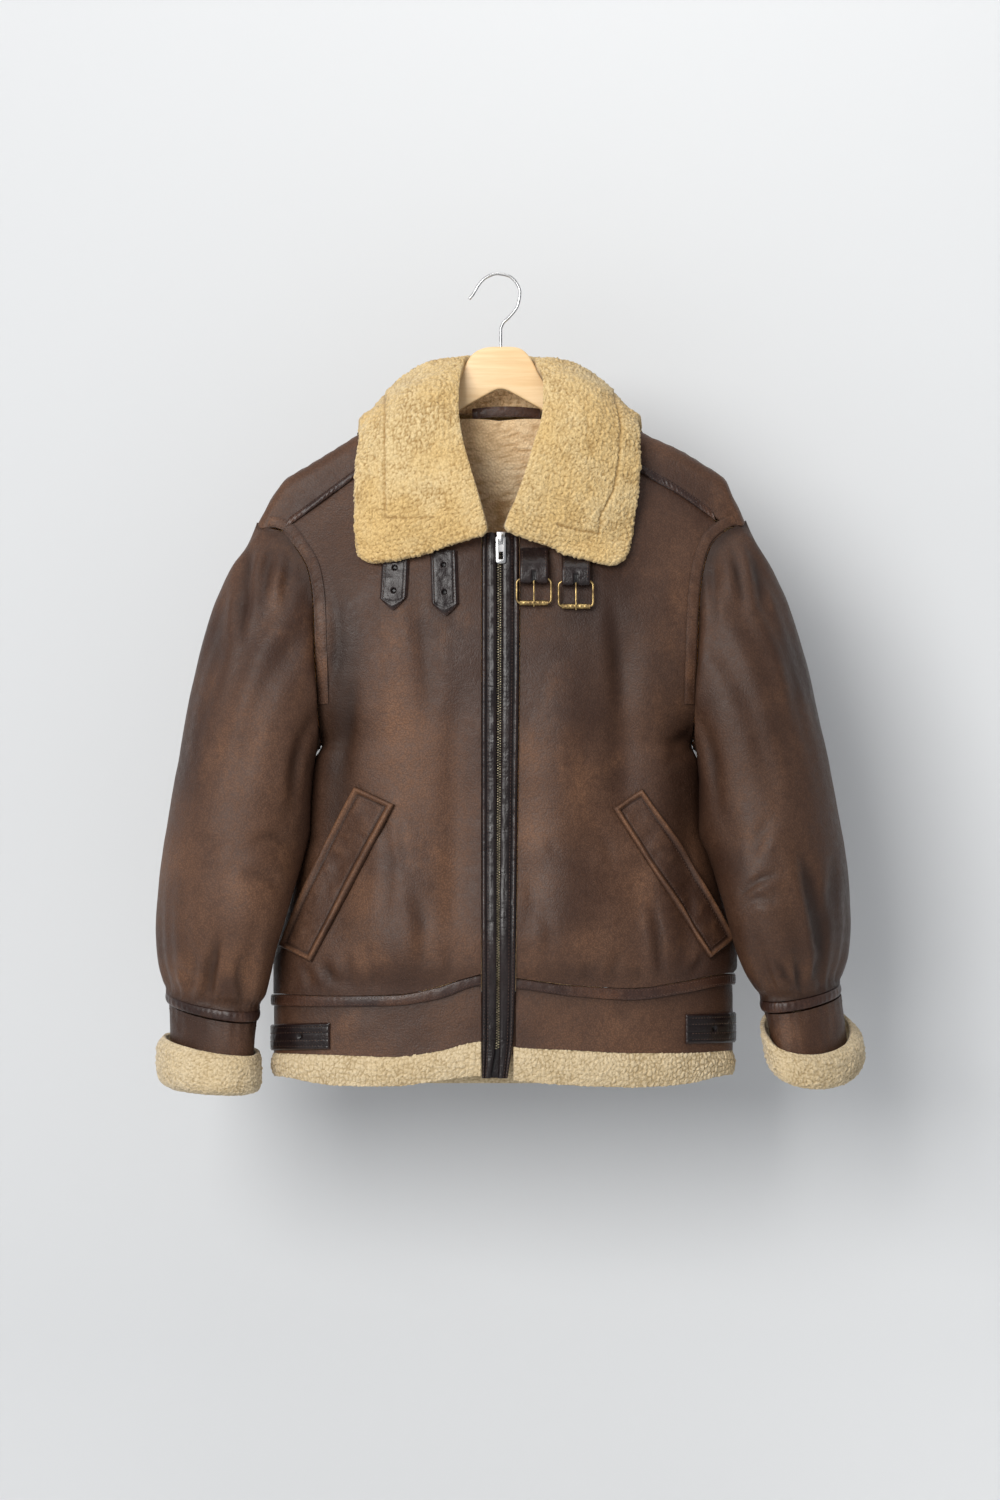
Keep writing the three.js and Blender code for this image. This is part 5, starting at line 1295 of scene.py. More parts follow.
@dataclass
class Sleeves:
    """Both sleeves, from the gathered head to the gathered wrist."""

    finishes: Finishes
    sides: int = 124
    rows: int = 120

    def build(self) -> None:
        """Makes the two sleeves."""
        for side in Side:
            self.sleeve(side)

    def armhole_ring(self, side: Side, away: float) -> Array:
        """A ring round the armhole, evenly spaced from its top through its front."""
        s, armhole = side.value, ARMHOLES[side]
        flat = lambda point: placed(point[0], 0.0, point[1])
        at = lambda point, face: on_body(float(point[0]), float(point[1]), face)
        loop = [flat(armhole["top"]), *[at(p, Face.FRONT) for p in armhole["front"]], flat(armhole["foot"]),
                *[at(p, Face.BACK) for p in reversed(armhole["back"])]]
        loop = np.array(loop)
        loop[:, 0] += s * away
        loop[0, 2] += away
        loop[len(armhole["front"]) + 1, 2] -= away * 4
        wrapped = np.concatenate([loop, loop[:1]])
        return Line(wrapped).at(np.arange(self.sides) / self.sides)

    def sleeve(self, side: Side) -> None:
        """One sleeve: rings from the armhole to the cuff, with creases and rubbed elbows."""
        stations = [self.armhole_ring(side, 1.2), *rings(side, SLEEVES[side], self.sides)]
        base = along_rings(stations, self.rows)
        out = outward(base, True)
        scale = (EYE_DISTANCE + base[..., 1]) / EYE_DISTANCE
        x, z = base[..., 0] / scale, EYE_HEIGHT + (base[..., 2] - EYE_HEIGHT) / scale
        name = f"sleeve_{side.label}"
        frontness = smoothstep(-out[..., 1], -0.15, 0.35)
        relief = creased(name, x, z, Face.FRONT) * frontness + creased(name, x, z, Face.BACK) * (1 - frontness)
        u = np.linspace(0, 2 * np.pi, self.sides, endpoint=False)[None, :] * np.ones_like(x)
        share = np.linspace(0, 1, self.rows)[:, None] * np.ones_like(x)
        gathers = np.abs(np.sin(u * 17 + 2.2 * np.sin(u * 3))) * np.exp(-(((1 - share) / 0.05) ** 2))
        head = np.abs(np.sin(u * 13 + 1.7 * np.sin(u * 2))) * np.exp(-((share / 0.05) ** 2))
        relief = (relief - 1.3 * gathers - 1.1 * head) * smoothstep(share, 0, 0.015) * smoothstep(1 - share, 0, 0.015)
        wear = 0.30 * np.exp(-(((z + 640) / 60) ** 2)) * (0.6 + cloud(x, z, 34, 6))
        wear += 0.35 * np.exp(-(((z + 735) / 30) ** 2)) * (0.6 + cloud(x, z, 22, 8))
        # shade: painted shade at the armhole seam, at the wrist seam and in the creases
        shade = 0.6 * np.exp(-((share / 0.02) ** 2)) + 0.5 * np.exp(-(((1 - share) / 0.012) ** 2))
        relief = np.maximum(relief, DEEPEST)
        # painted shade over the whole right sleeve, the side turned away from the key light
        far_side_painted_shade = 0.32 if side is Side.RIGHT else 0.0
        shade = np.clip(shade + hollows(relief) + far_side_painted_shade, 0, 0.85)
        outer = base + out * relief[..., None]
        inner = base - out * (SKIN + 0.6 * cloud(u * 60, z, 6, 9))[..., None]
        marks = {"wear": np.clip(wear, 0, 1), "shade": shade, "pile": np.full(x.shape, 0.5)}
        shell = Shell(name, outer, inner, closed=True, marks=marks, sharp=60)
        piece = settle(shell.build(self.finishes.skin, self.finishes.lining), "leather", name)
        cut_from(base, True)


@dataclass
class Cuffs:
    """The cuff welts, leather bands and turned-back fleece."""

    finishes: Finishes
    sewing: Sewing
    sides: int = 200

    def build(self) -> None:
        """Makes both cuffs."""
        for side in Side:
            self.welt(side)
            self.band(side)
            self.fleece(side)

    def tube(self, side: Side, part: str, rows: int) -> tuple[Array, Array]:
        """A fine tube of one part, and its normals."""
        base = along_rings(rings(side, CUFFS[side][part], self.sides), rows)
        return base, outward(base, True)

    def welt(self, side: Side) -> None:
        """A raised seam: a round bead with cross wrinkles, and a row of stitches below it."""
        base, out = self.tube(side, "welt", 12)
        share = np.linspace(0, 1, 12)[:, None]
        u = np.linspace(0, 2 * np.pi, self.sides, endpoint=False)[None]
        bead = 1.2 * np.sin(np.pi * share) ** 0.6 - 0.6 + 0.35 * np.sin(u * 47 + 3 * np.sin(u * 5)) * np.sin(np.pi * share)
        marks = {"wear": 0.4 * np.clip(cloud(u * 60, share * 10, 9, 12), 0, 1), "shade": np.zeros(base.shape[:2])}
        name = f"cuff_welt_{side.label}"
        shell = Shell(name, base + out * bead[..., None], base - out * SKIN, closed=True, marks=marks, sharp=60)
        piece = settle(shell.build(self.finishes.welt), "trim", name)
        cut_from(base, True, SKIN)

    def band(self, side: Side) -> None:
        """The leather band, with a stitched upper edge."""
        base, out = self.tube(side, "band", 24)
        share = np.linspace(0, 1, 24)[:, None]
        u = np.linspace(0, 2 * np.pi, self.sides, endpoint=False)[None]
        uneven = 0.5 * cloud(u * 55, share * 30, 13, 14) + 0.3 * np.sin(u * 23) * (1 - share) ** 2
        # shade: painted shade at the band's top, under the welt's bead
        marks = {"wear": 0.25 * (share > 0.9) * np.ones_like(u), "shade": 0.35 * (1 - share) ** 4 * np.ones_like(u)}
        name = f"cuff_band_{side.label}"
        outer = base + out * uneven[..., None]
        shell = Shell(name, outer, base - out * SKIN, closed=True, marks=marks, sharp=60)
        piece = settle(shell.build(self.finishes.skin), "leather", name)
        cut_from(base, True)
        row = np.concatenate([outer[3], outer[3][:1]])
        self.sewing.row(f"cuff_{side.label}", row, np.concatenate([out[3], out[3][:1]]))

    def fleece(self, side: Side) -> None:
        """The turned-back fleece: a thick rounded tube of curls."""
        rows = 46
        base, out = self.tube(side, "fleece", rows)
        share = np.linspace(0, 1, rows)[:, None]
        girth = np.linalg.norm(np.diff(base[rows // 2], axis=0), axis=1).sum()
        u = np.linspace(0, girth, self.sides, endpoint=False)[None] * np.ones((rows, 1))
        v = chart(base, True)[1]
        pile = Pile(4.9, 31 + side.value)
        seamless = np.linspace(0, 1, self.sides, endpoint=False)[None]
        ease = smoothstep(seamless, 0, 0.04)
        relief = pile.relief(u, v) * ease + pile.relief(u + girth, v) * (1 - ease)
        rim = np.sin(np.pi * np.clip(share, 0.02, 0.98)) ** 0.35
        outer = base + out * (3.4 * relief * rim - 1.6)[..., None]
        thick = 11 - 5 * np.abs(2 * share - 1)
        under = pile.relief(u + 40, v + 40)
        inner = base - out * (thick + 1.4 * under * rim - 0.7)[..., None]
        name = f"cuff_fleece_{side.label}"
        shell = Shell(name, outer, inner, closed=True, marks={"pile": relief}, inner_marks={"pile": under})
        piece = settle(shell.build(self.finishes.cuff), "fleece", name)
        cut_from(base, True)


@dataclass
class Bands:
    """The waist welt, the waistband and the fleece hem, in a left, a right and a back piece each."""

    finishes: Finishes
    sewing: Sewing

    def build(self) -> None:
        """Makes the nine pieces."""
        for face, side in ((Face.FRONT, Side.LEFT), (Face.FRONT, Side.RIGHT), (Face.BACK, None)):
            self.welt(face, side)
            self.waistband(face, side)
            self.hem(face, side)

    def strip(self, upper: str, lower: str, rows: int, columns: int, face: Face, side: Side | None) -> tuple[Array, Array]:
        """A fine grid between two bottom edges, and its normals."""
        share = np.linspace(0, 1, columns)
        if side is not None:
            edge = float(placket_edge(side, bottom_z(upper, 0.0))) + side.value * 0.8
            reach = side.value * float(half_width(BAND_HEIGHT, side.value))
            x = reach + (edge - reach) * (1 - np.cos(share * np.pi / 2))
        else:
            angle = (share - 0.5) * np.pi
            x = half_width(BAND_HEIGHT, angle) * np.sin(angle)
        up = np.linspace(0, 1, rows)[:, None]
        top, foot = band_edge(upper, x, face) - SEAM_GAP, band_edge(lower, x, face)
        z = foot[None] * (1 - up) + top[None] * up
        base = on_band(x[None] * np.ones_like(up), z, face)
        out = normals(base, False)
        out *= np.sign(out[rows // 2, columns // 2, 1]) * face.value
        ends = (0,) if side is not None else (0, -1)
        for end in ends:
            out[:, end, 1] = 0
        out /= np.linalg.norm(out, axis=-1, keepdims=True)
        return base, out

    @staticmethod
    def label(side: Side | None) -> str:
        """The word for a piece's place."""
        return "back" if side is None else side.label

    def welt(self, face: Face, side: Side | None) -> None:
        """The waist seam's welt: a flat bead with fine cross wrinkles, stitched along both edges."""
        base, out = self.strip("waist", "band", 12, 110 if side else 200, face, side)
        u = chart(base)[0]
        share = np.linspace(0, 1, 12)[:, None]
        bead = 2.1 + 0.9 * np.sin(np.pi * share) ** 0.5 + 0.3 * np.sin(u * 1.5 + 2 * np.sin(u * 0.11)) * np.sin(np.pi * share)
        wear = 0.5 * np.clip(cloud(u, share * 12, 31, 15), 0, 1)
        outer = base + out * bead[..., None]
        inner = base - out * (SKIN - 1.5)
        name = f"waist_welt_{self.label(side)}"
        marks = {"wear": wear, "shade": np.zeros_like(u)}
        shell = Shell(name, outer, inner, marks=marks, sharp=60)
        piece = settle(shell.build(self.finishes.welt), "trim", name)
        cut_from(base, False, 7.5)
        for row in (2, 9):
            self.sewing.row(f"waist_{self.label(side)}", outer[row], out[row])

    def waistband(self, face: Face, side: Side | None) -> None:
        """The leather waistband, smooth with a little slackness."""
        base, out = self.strip("band", "fleece", 18, 90 if side else 160, face, side)
        u, v = chart(base)
        uneven = 0.9 * cloud(u, v, 30, 16) * np.sin(np.pi * np.linspace(0, 1, 18))[:, None]
        top = np.linspace(0, 1, 18)[:, None] ** 6
        # shade: painted shade along the band's upper edge, under the waist welt
        marks = {"wear": 0.12 + 0.2 * np.clip(cloud(u, v, 40, 17), 0, 1), "shade": 0.5 * top * np.ones_like(u)}
        name = f"waistband_{self.label(side)}"
        inner = base - out * SKIN
        shell = Shell(name, base + out * (uneven - 0.3 * top)[..., None], inner, marks=marks, sharp=60)
        piece = settle(shell.build(self.finishes.skin), "leather", name)
        cut_from(base, False)

    def hem(self, face: Face, side: Side | None) -> None:
        """The fleece hem: a rounded roll of curls with a ragged upper edge."""
        rows = 34
        base, out = self.strip("fleece", "hem", rows, 290 if side else 400, face, side)
        u, v = chart(base)
        share = np.linspace(0, 1, rows)[:, None]
        pile = Pile(4.6, 41 + len(self.label(side)))
        relief = pile.relief(u, v * 0.8)
        rim = np.sin(np.pi * np.clip(share, 0.03, 0.97)) ** 0.35
        bulge = 4 * np.sin(np.pi * (0.15 + 0.7 * share)) - 1.5
        outer = base + out * (bulge - 1.4 + 3.2 * relief * rim)[..., None]
        outer[..., 2] += (1.8 * relief - 0.6) * (share > 0.93) * 1.2 - (1.5 * relief - 0.5) * (share < 0.05)
        thick = 15 - 9 * np.abs(2 * share - 1) ** 2
        under = pile.relief(u + 60, v + 60)
        inner = base + out * (bulge - thick - 1.2 * under * rim + 0.6)[..., None]
        name = f"hem_fleece_{self.label(side)}"
        shell = Shell(name, outer, inner, marks={"pile": relief}, inner_marks={"pile": under})
        piece = settle(shell.build(self.finishes.cuff), "fleece", name)
        cut_from(base, False)


LEAF_COLUMNS = "rollX rollY rollZ edgeX edgeY edgeZ lift sag"
COLLAR = {
    Side.LEFT: Table(LEAF_COLUMNS, (
        (13, -92, -271, 143, -60, -302, 0, 5),
        (19, -90, -246, 153, -60, -287, 3, 2),
        (24, -86, -226, 156, -55, -262, 5, 0),
        (32, -79, -198, 156, -50, -229, 7, 0),
        (39, -70, -171, 155, -45, -196, 8, 0),
        (43, -55, -140, 152, -38, -172, 9, -8),
        (42, -36, -110, 149, -18, -161, 6, -16),
        (38, -10, -88, 152, 32, -164, 0, -24),
    )),
    Side.RIGHT: Table(LEAF_COLUMNS, (
        (5, -92, -267, 129, -60, -305, 0, 5),
        (10, -90, -250, 138, -60, -285, 3, 2),
        (17, -86, -233, 144, -55, -258, 5, 0),
        (27, -79, -204, 149, -50, -222, 7, 0),
        (36, -70, -172, 151, -45, -188, 8, 0),
        (44, -55, -143, 150, -38, -165, 9, -8),
        (45, -36, -110, 148, -18, -155, 6, -16),
        (38, -10, -88, 152, 32, -164, 0, -24),
    )),
}
COLLAR_BACK = Table(LEAF_COLUMNS, (
    (38, -10, -88, 152, 32, -164, 0, -24),
    (36, 18, -84, 142, 62, -196, 8, -20),
    (25, 40, -82, 104, 80, -216, 12, -12),
    (0, 50, -82, 0, 86, -226, 14, -6),
))
STAND = Table("footX footY footZ topX topY topZ", (
    (93, 5, -128, 60, 12, -107),
    (82, 21, -133, 50, 23, -104),
    (60, 32, -141, 34, 32, -100),
    (31, 37, -147, 17, 36, -98),
    (0, 38, -149, 0, 38, -98),
))
COLLAR_SEAMS = {
    Side.LEFT: (((-122, -124), (-122, -190), (-121, -254)), ((-122, -254), (-98, -255), (-70, -254))),
    Side.RIGHT: (((120, -124), (128, -153), (126, -190), (120, -226), (106, -251), (104, -270)),
                 ((104, -272), (84, -268), (60, -262))),
}


LEAF_WIDE = 134.0
LEAF_LONG = 200.0
CORNER_OUTER = 17.0
CORNER_ROLL = 9.0
EDGE_RADIUS = 6.0
EDGE_TURN = 4.6
RAGGED = 3.4
SMOOTHING = 5


def groove(x: Array, z: Array, line: Sequence[tuple[float, float]], width: float) -> Array:
    """exp(-(d/w)^2) of the distance from a line seen from the front."""
    path = Line(line, smooth=False).at(np.linspace(0, 1, 24))
    best = np.full(x.shape, 1e9)
    for start, end in zip(path[:-1], path[1:]):
        step = end - start
        t = np.clip(((x - start[0]) * step[0] + (z - start[1]) * step[1]) / (step @ step), 0, 1)
        best = np.minimum(best, np.hypot(x - start[0] - t * step[0], z - start[1] - t * step[1]))
    return np.exp(-((best / width) ** 2))


@dataclass
class Collar:
    """The fleece collar: two front leaves, a back leaf and the stand inside the roll."""

    finishes: Finishes

    def build(self) -> None:
        """Makes the four pieces."""
        for side in Side:
            self.leaf(f"collar_{side.label}", COLLAR[side], side, 92, 140)
        self.leaf("collar_back", COLLAR_BACK, None, 80, 160)
        self.stand()

    @staticmethod
    def rounded(across: Array, along: Array) -> tuple[Array, Array]:
        """Draws a side leaf's two front corners in to quarter discs.

        A square with u and v from 0 to 1 maps to a disc by u sqrt(1 - v^2 / 2) and v sqrt(1 - u^2 / 2).
        """
        for at_roll, radius in ((False, CORNER_OUTER), (True, CORNER_ROLL)):
            p = (across if at_roll else 1 - across) * LEAF_WIDE
            q = along * LEAF_LONG
            u, v = np.clip(1 - p / radius, 0, 1), np.clip(1 - q / radius, 0, 1)
            p = np.where((u > 0) & (v > 0), radius * (1 - u * np.sqrt(1 - v * v / 2)), p)
            q = np.where((u > 0) & (v > 0), radius * (1 - v * np.sqrt(1 - u * u / 2)), q)
            across = p / LEAF_WIDE if at_roll else 1 - p / LEAF_WIDE
            along = q / LEAF_LONG
        return across, along

    def grid(self, table: Table, side: Side | None, across: Array, along: Array) -> Array:
        """Points of a leaf: from the roll to the edge, bowed out and sagging, and kept off the coat."""
        if side is None:
            part, sign = np.abs(2 * along - 1), np.where(2 * along - 1 < 0, -1.0, 1.0)
            place = (1 - part) * (len(table.rows) - 1)
        else:
            sign, place = np.full_like(along, side.value), along * (len(table.rows) - 1)
        order = np.arange(len(table.rows))
        at = {name: monotone_cubic(order, table.column(name), place) for name in table.columns.split()}
        a = across
        x = sign * (at["rollX"] * (1 - a) + at["edgeX"] * a)
        bow = 4 * a * (1 - a)
        z = at["rollZ"] * (1 - a) + at["edgeZ"] * a - bow * at["sag"]
        straight = at["rollY"] * (1 - a) + at["edgeY"] * a
        ahead = straight < 0
        y = straight + np.where(ahead, -1, 1) * bow * at["lift"]
        shoulder = shoulder_z(x)
        over = 1 - smoothstep(np.abs(y), 14, 34)
        high = z > shoulder - 8
        z = np.where(high, np.maximum(z, shoulder - 8 + over * (COLLAR_THICK + COLLAR_CLEAR + 8)), z)
        low = z < shoulder + 4
        clear_front = -(body_depth(x, z, Face.FRONT) + COLLAR_THICK + COLLAR_CLEAR)
        clear_back = body_depth(x, z, Face.BACK) + COLLAR_THICK + COLLAR_CLEAR
        y = np.where(low & ahead, np.minimum(y, clear_front), y)
        y = np.where(low & ~ahead, np.maximum(y, clear_back), y)
        return placed(x, y, z)

    def leaf(self, name: str, table: Table, side: Side | None, columns: int, rows: int) -> None:
        """One leaf: curls outside, a smooth underside in the same fleece finish, and pressed seams where it is pieced.
        """
        across, along = np.meshgrid(np.linspace(0, 1, columns), np.linspace(0, 1, rows))
        shares = (across, along) if side is None else self.rounded(across, along)
        base = self.grid(table, side, *shares)
        for _ in range(SMOOTHING):
            base[1:-1] = 0.25 * base[:-2] + 0.5 * base[1:-1] + 0.25 * base[2:]
        out = normals(base, False)
        face = 1 if side is None else -1
        out *= face * np.sign(out[rows // 2, columns // 2, 1])
        near_edge = np.abs(2 * across - 1) ** 3
        to_edge = (1 - across) * LEAF_WIDE
        to_end = np.full_like(along, 1e3) if side is None else along * LEAF_LONG
        turned = EDGE_TURN * (1 - rolled(np.minimum(to_edge, to_end), EDGE_RADIUS))
        u, v = chart(base)
        pile = Pile(5.0, 51 + len(name))
        relief = pile.relief(u, v)
        rim = smoothstep(np.minimum(across, 1 - across), 0, 0.03)
        scale = (EYE_DISTANCE + base[..., 1]) / EYE_DISTANCE
        x, z = base[..., 0] / scale, EYE_HEIGHT + (base[..., 2] - EYE_HEIGHT) / scale
        seam = np.zeros_like(x)
        for line in COLLAR_SEAMS.get(side, ()):
            seam = np.maximum(seam, groove(x, z, line, 1.3))
        relief = relief * (1 - 0.55 * seam)
        lift = -2 * near_edge - 1.4 + (3.8 * relief - 1.2 * seam) * (0.45 + 0.55 * rim) - turned
        swell = 1.2 * cloud(u, v, 26, 61)
        step_across, step_along = np.gradient(base, axis=1), np.gradient(base, axis=0)
        step_across /= np.linalg.norm(step_across, axis=-1, keepdims=True)
        step_along /= np.linalg.norm(step_along, axis=-1, keepdims=True)
        ragged = RAGGED * (relief - 0.45)
        uneven = step_across * (ragged * np.exp(-to_edge / 4))[..., None]
        uneven = uneven - step_along * (ragged * np.exp(-to_end / 4))[..., None]
        outer = base + out * (lift + swell)[..., None] + uneven
        thick = COLLAR_THICK - 5 * near_edge * (side is None) + 0.4 - turned
        inner = base - out * (thick + 2 * near_edge * (side is None))[..., None] + uneven
        shell = Shell(name, outer, inner, marks={"pile": relief}, inner_marks={"pile": np.full(x.shape, 0.5)})
        piece = settle(shell.build(self.finishes.fleece), "fleece", name)
        cut_from(base, False)

    def stand(self) -> None:
        """The stand: a ruled strip of lining between the neck seam and the roll."""
        def edge(end: str) -> Line:
            """The strip's foot or top, from one side of the neck to the other."""
            half = [placed(STAND.column(end + "X")[k], STAND.column(end + "Y")[k], STAND.column(end + "Z")[k])
                    for k in range(len(STAND.rows))]
            other = [np.array([-p[0], p[1], p[2]]) for p in reversed(half[:-1])]
            return Line([*half, *other])

        share, up = np.linspace(0, 1, 130), np.linspace(0, 1, 26)[:, None, None]
        base = edge("foot").at(share)[None] * (1 - up) + edge("top").at(share)[None] * up
        out = normals(base, False)
        u, v = chart(base)
        relief = Pile(4.8, 71).relief(u, v)
        towards_neck = -np.sign(out[13, 65, 1])
        inner_face = base + out * (towards_neck * (2.2 * relief - 1.2))[..., None]
        outer_face = base - out * (towards_neck * (SKIN - 1))[..., None]
        shell = Shell("collar_stand", inner_face, outer_face, marks={"pile": relief})
        piece = settle(shell.build(self.finishes.lining), "lining", "collar_stand")
        cut_from(base, False)


@dataclass
class Welts:
    """Dark piped welts over the yoke and armhole seams, stitched along both edges."""

    finishes: Finishes
    sewing: Sewing
    width: float = 11.5

    def build(self) -> None:
        """Makes the six welts."""
        for side in Side:
            self.shoulder(side)
            for face in Face:
                self.armhole(side, face)

    def lay(self, name: str, lines: tuple[Line, Line], face: Face, columns: int, low: float, high: float,
            material: bpy.types.Material) -> None:
        """A strip on the body between two lines, crowned, with uneven cross wrinkles."""
        share, up = np.linspace(0, 1, columns), np.linspace(0, 1, 13)[:, None, None]
        flat = lines[0].at(share)[None] * (1 - up) + lines[1].at(share)[None] * up
        base = on_body(flat[..., 0], flat[..., 1], face)
        out = normals(base, False)
        out *= face.value * np.sign(out[6, columns // 2, 1])
        u, _ = chart(base)
        crown = np.sin(np.pi * np.clip(up[..., 0], 0.04, 0.96)) ** 0.5
        wrinkle = 0.28 * np.sin(u * 1.35 + 2.5 * np.sin(u * 0.13)) + 0.5 * cloud(u, up[..., 0] * 6, 7, 19)
        relief = low + high * crown + wrinkle * crown
        outer = base + out * relief[..., None]
        wear = 0.55 * np.clip(cloud(u, up[..., 0] * 8, 24, 20), 0, 1)
        # shade: painted shade along both edges, at the foot of the raised bead
        edges = np.minimum(up[..., 0], 1 - up[..., 0])
        marks = {"wear": wear, "shade": 0.5 * np.exp(-((edges / 0.07) ** 2)) * np.ones_like(u)}
        shell = Shell(name, outer, base + out * 0.9, marks=marks, sharp=60)
        settle(shell.build(material), "trim", name)
        for row in (2, 10):
            self.sewing.row(name, outer[row], out[row])

    def shoulder(self, side: Side) -> None:
        """The welt over the yoke seam."""
        xs = np.array([96, 125, 157, 180, 205, 223], float)
        line = lambda half: Line(np.stack([side.value * (xs - half * 0.4), yoke_z(side.value * xs) + half], axis=-1))
        lines = line(-self.width / 2), line(self.width / 2)
        self.lay(f"shoulder_welt_{side.label}", lines, Face.FRONT, 90, 1.7, 1.8, self.finishes.welt)

    def armhole(self, side: Side, face: Face) -> None:
        """The welt beside the armhole seam."""
        edge = Line(ARMHOLES[side]["front" if face is Face.FRONT else "back"][:-1]).at(np.linspace(0, 1, 60))
        along = np.gradient(edge, axis=0)
        along /= np.linalg.norm(along, axis=1, keepdims=True)
        inwards = np.stack([side.value * along[:, 1], -side.value * along[:, 0]], axis=-1)
        name = f"armhole_welt_{face.name.lower()}_{side.label}"
        lines = Line(edge + inwards * (self.width + 1)), Line(edge + inwards * 1.5)
        self.lay(name, lines, face, 120, 1.5, 0.9, self.finishes.skin)


@dataclass
class FrontEdge:
    """Plackets, zip tape, teeth, slider and pull."""

    finishes: Finishes
    sewing: Sewing
    tooth_pitch: float = 2.7

    def build(self) -> None:
        """Makes the zip and the strips beside it."""
        for side in Side:
            self.placket(side)
        self.tape()
        self.teeth()
        bevelled("slider", "zip_slider", self.finishes.steel, 0.5, "steel", "root")
        bevelled("pull", "zip_pull", self.finishes.steel, 0.35, "steel", "zip_pull")

    def placket(self, side: Side) -> None:
        """A folded strip: a narrow flat edge, a stitched groove and a plump fold with cross wrinkles."""
        names = ("leftOut", "leftIn") if side is Side.LEFT else ("rightOut", "rightIn")
        z = np.linspace(-843, NECK_POINT, 290)[:, None]
        columns = 20
        share = np.linspace(0, 1, columns)[None]
        outer_x, inner_x = (PLACKETS.read("z", name, z) for name in names)
        x = outer_x * (1 - share) + inner_x * share
        base = on_body(x, z * np.ones_like(share), Face.FRONT)
        out = normals(base, False)
        out *= -np.sign(out[145, 10, 1])
        profile = np.interp(share, (0, 0.05, 0.14, 0.24, 0.31, 0.36, 0.55, 0.8, 0.95, 1),
                            (2.6, 4.4, 5.1, 4.8, 3.9, 4.7, 5.9, 6.0, 5.2, 3.4))
        uneven = 2.6 * np.sin(z * 0.021) + 1.1 * np.sin(z * 0.083 + 2)
        ribs = np.sin(z * 1.32 + uneven + 0.8 * share) * smoothstep(share, 0.33, 0.45)
        wrinkles = 0.42 * ribs * (0.55 + 0.45 * cloud(x * 2, z, 37, 23)) + 0.35 * cloud(x, z, 5.5, 24)
        outer = base + out * (profile + wrinkles)[..., None]
        inner = base + out * 1.0
        worn = 0.35 * np.clip(cloud(x, z, 26, 25), 0, 1) * (share < 0.3)
        # shade: painted shade in the stitched groove
        marks = {"wear": worn, "shade": 0.5 * np.exp(-(((share - 0.31) / 0.04) ** 2)) * np.ones_like(z)}
        name = f"placket_{side.label}"
        shell = Shell(name, outer, inner, marks=marks, sharp=65)
        settle(shell.build(self.finishes.trim), "trim", name)
        for column in (3, 8):
            self.sewing.row(name, outer[:, column], out[:, column])

    def centre(self, z: Array) -> Array:
        """Distance across of the zip's middle."""
        return (PLACKETS.read("z", "leftIn", z) + PLACKETS.read("z", "rightIn", z)) / 2

    def tape(self) -> None:
        """The woven tape under the teeth."""
        z = np.linspace(-843, NECK_POINT, 100)[:, None]
        x = self.centre(z) + np.linspace(-9, 9, 7)[None]
        base = on_body(x, z * np.ones((1, 7)), Face.FRONT)
        out = normals(base, False)
        out *= -np.sign(out[50, 3, 1])
        marks = {"wear": np.zeros_like(x), "shade": np.zeros_like(x)}
        shell = Shell("zip_tape", base + out * 0.1, base - out * 2.5, marks=marks)
        settle(shell.build(self.finishes.trim), "trim", "zip_tape")

    def teeth(self) -> None:
        """Interlocked metal teeth: small chamfered blocks, one side a half pitch above the other."""
        parts = []
        for side in Side:
            z = np.arange(-812, -286, self.tooth_pitch) + (self.tooth_pitch / 2 if side is Side.RIGHT else 0)
            x = self.centre(z) + side.value * 1.15
            at = on_body(x, z, Face.FRONT)
            at[:, 1] -= 1.9
            half = np.array([1.5, 1.1, 0.62])
            corners = np.array([[a, b, c] for a in (-1, 1) for b in (-1, 1) for c in (-1, 1)], float)
            shrink = np.where(corners[:, 1:2] < 0, 0.72, 1.0)
            block = corners * half * np.concatenate([shrink, np.ones_like(shrink), shrink], axis=1)
            vertices = (at[:, None] + block[None]).reshape(-1, 3) * MM
            cube = np.array([[0, 1, 3, 2], [4, 6, 7, 5], [0, 4, 5, 1], [2, 3, 7, 6], [0, 2, 6, 4], [1, 5, 7, 3]])
            parts.append((vertices, (cube[None] + 8 * np.arange(len(z))[:, None, None]).reshape(-1, 4)))
        vertices, faces = joined(parts)
        settle(mesh_object("zip_teeth", vertices, faces, [self.finishes.teeth]), "brass")


def bevelled(name: str, node: str, material: bpy.types.Material, width: float, slot: str, body: str) -> bpy.types.Object:
    """A merged copy of a CAD node with rounded edges, in its place.

    Args:
        name: the new piece's name.
        node: the node that is copied and replaced.
        material: its finish.
        width: the bevel's width in millimetres.
        slot: not used.
        body: the body that it rides on.

    Returns:
        The new piece.
    """
    source = frame["nodes"][node]
    mesh = source.data.copy()
    mesh.name = name
    piece = bpy.data.objects.new(name, mesh)
    bpy.context.scene.collection.objects.link(piece)
    mesh.materials.clear()
    mesh.materials.append(material)
    weld = piece.modifiers.new("weld", "WELD")
    weld.merge_threshold = 0.00002
    bevel = piece.modifiers.new("bevel", "BEVEL")
    bevel.width = width * MM
    bevel.segments = 2
    bevel.limit_method = "ANGLE"
    bevel.angle_limit = math.radians(35)
    apply_modifiers(piece)
    piece.data.polygons.foreach_set("use_smooth", np.ones(len(piece.data.polygons), bool))
    piece.data.set_sharp_from_angle(angle=math.radians(45))
    return settle(piece, slot, node, body=body)


def apply_modifiers(piece: bpy.types.Object) -> None:
    """Keeps the modified mesh and drops the modifiers."""
    bpy.context.view_layer.update()
    done = bpy.data.meshes.new_from_object(piece.evaluated_get(bpy.context.evaluated_depsgraph_get()))
    piece.modifiers.clear()
    piece.data = done


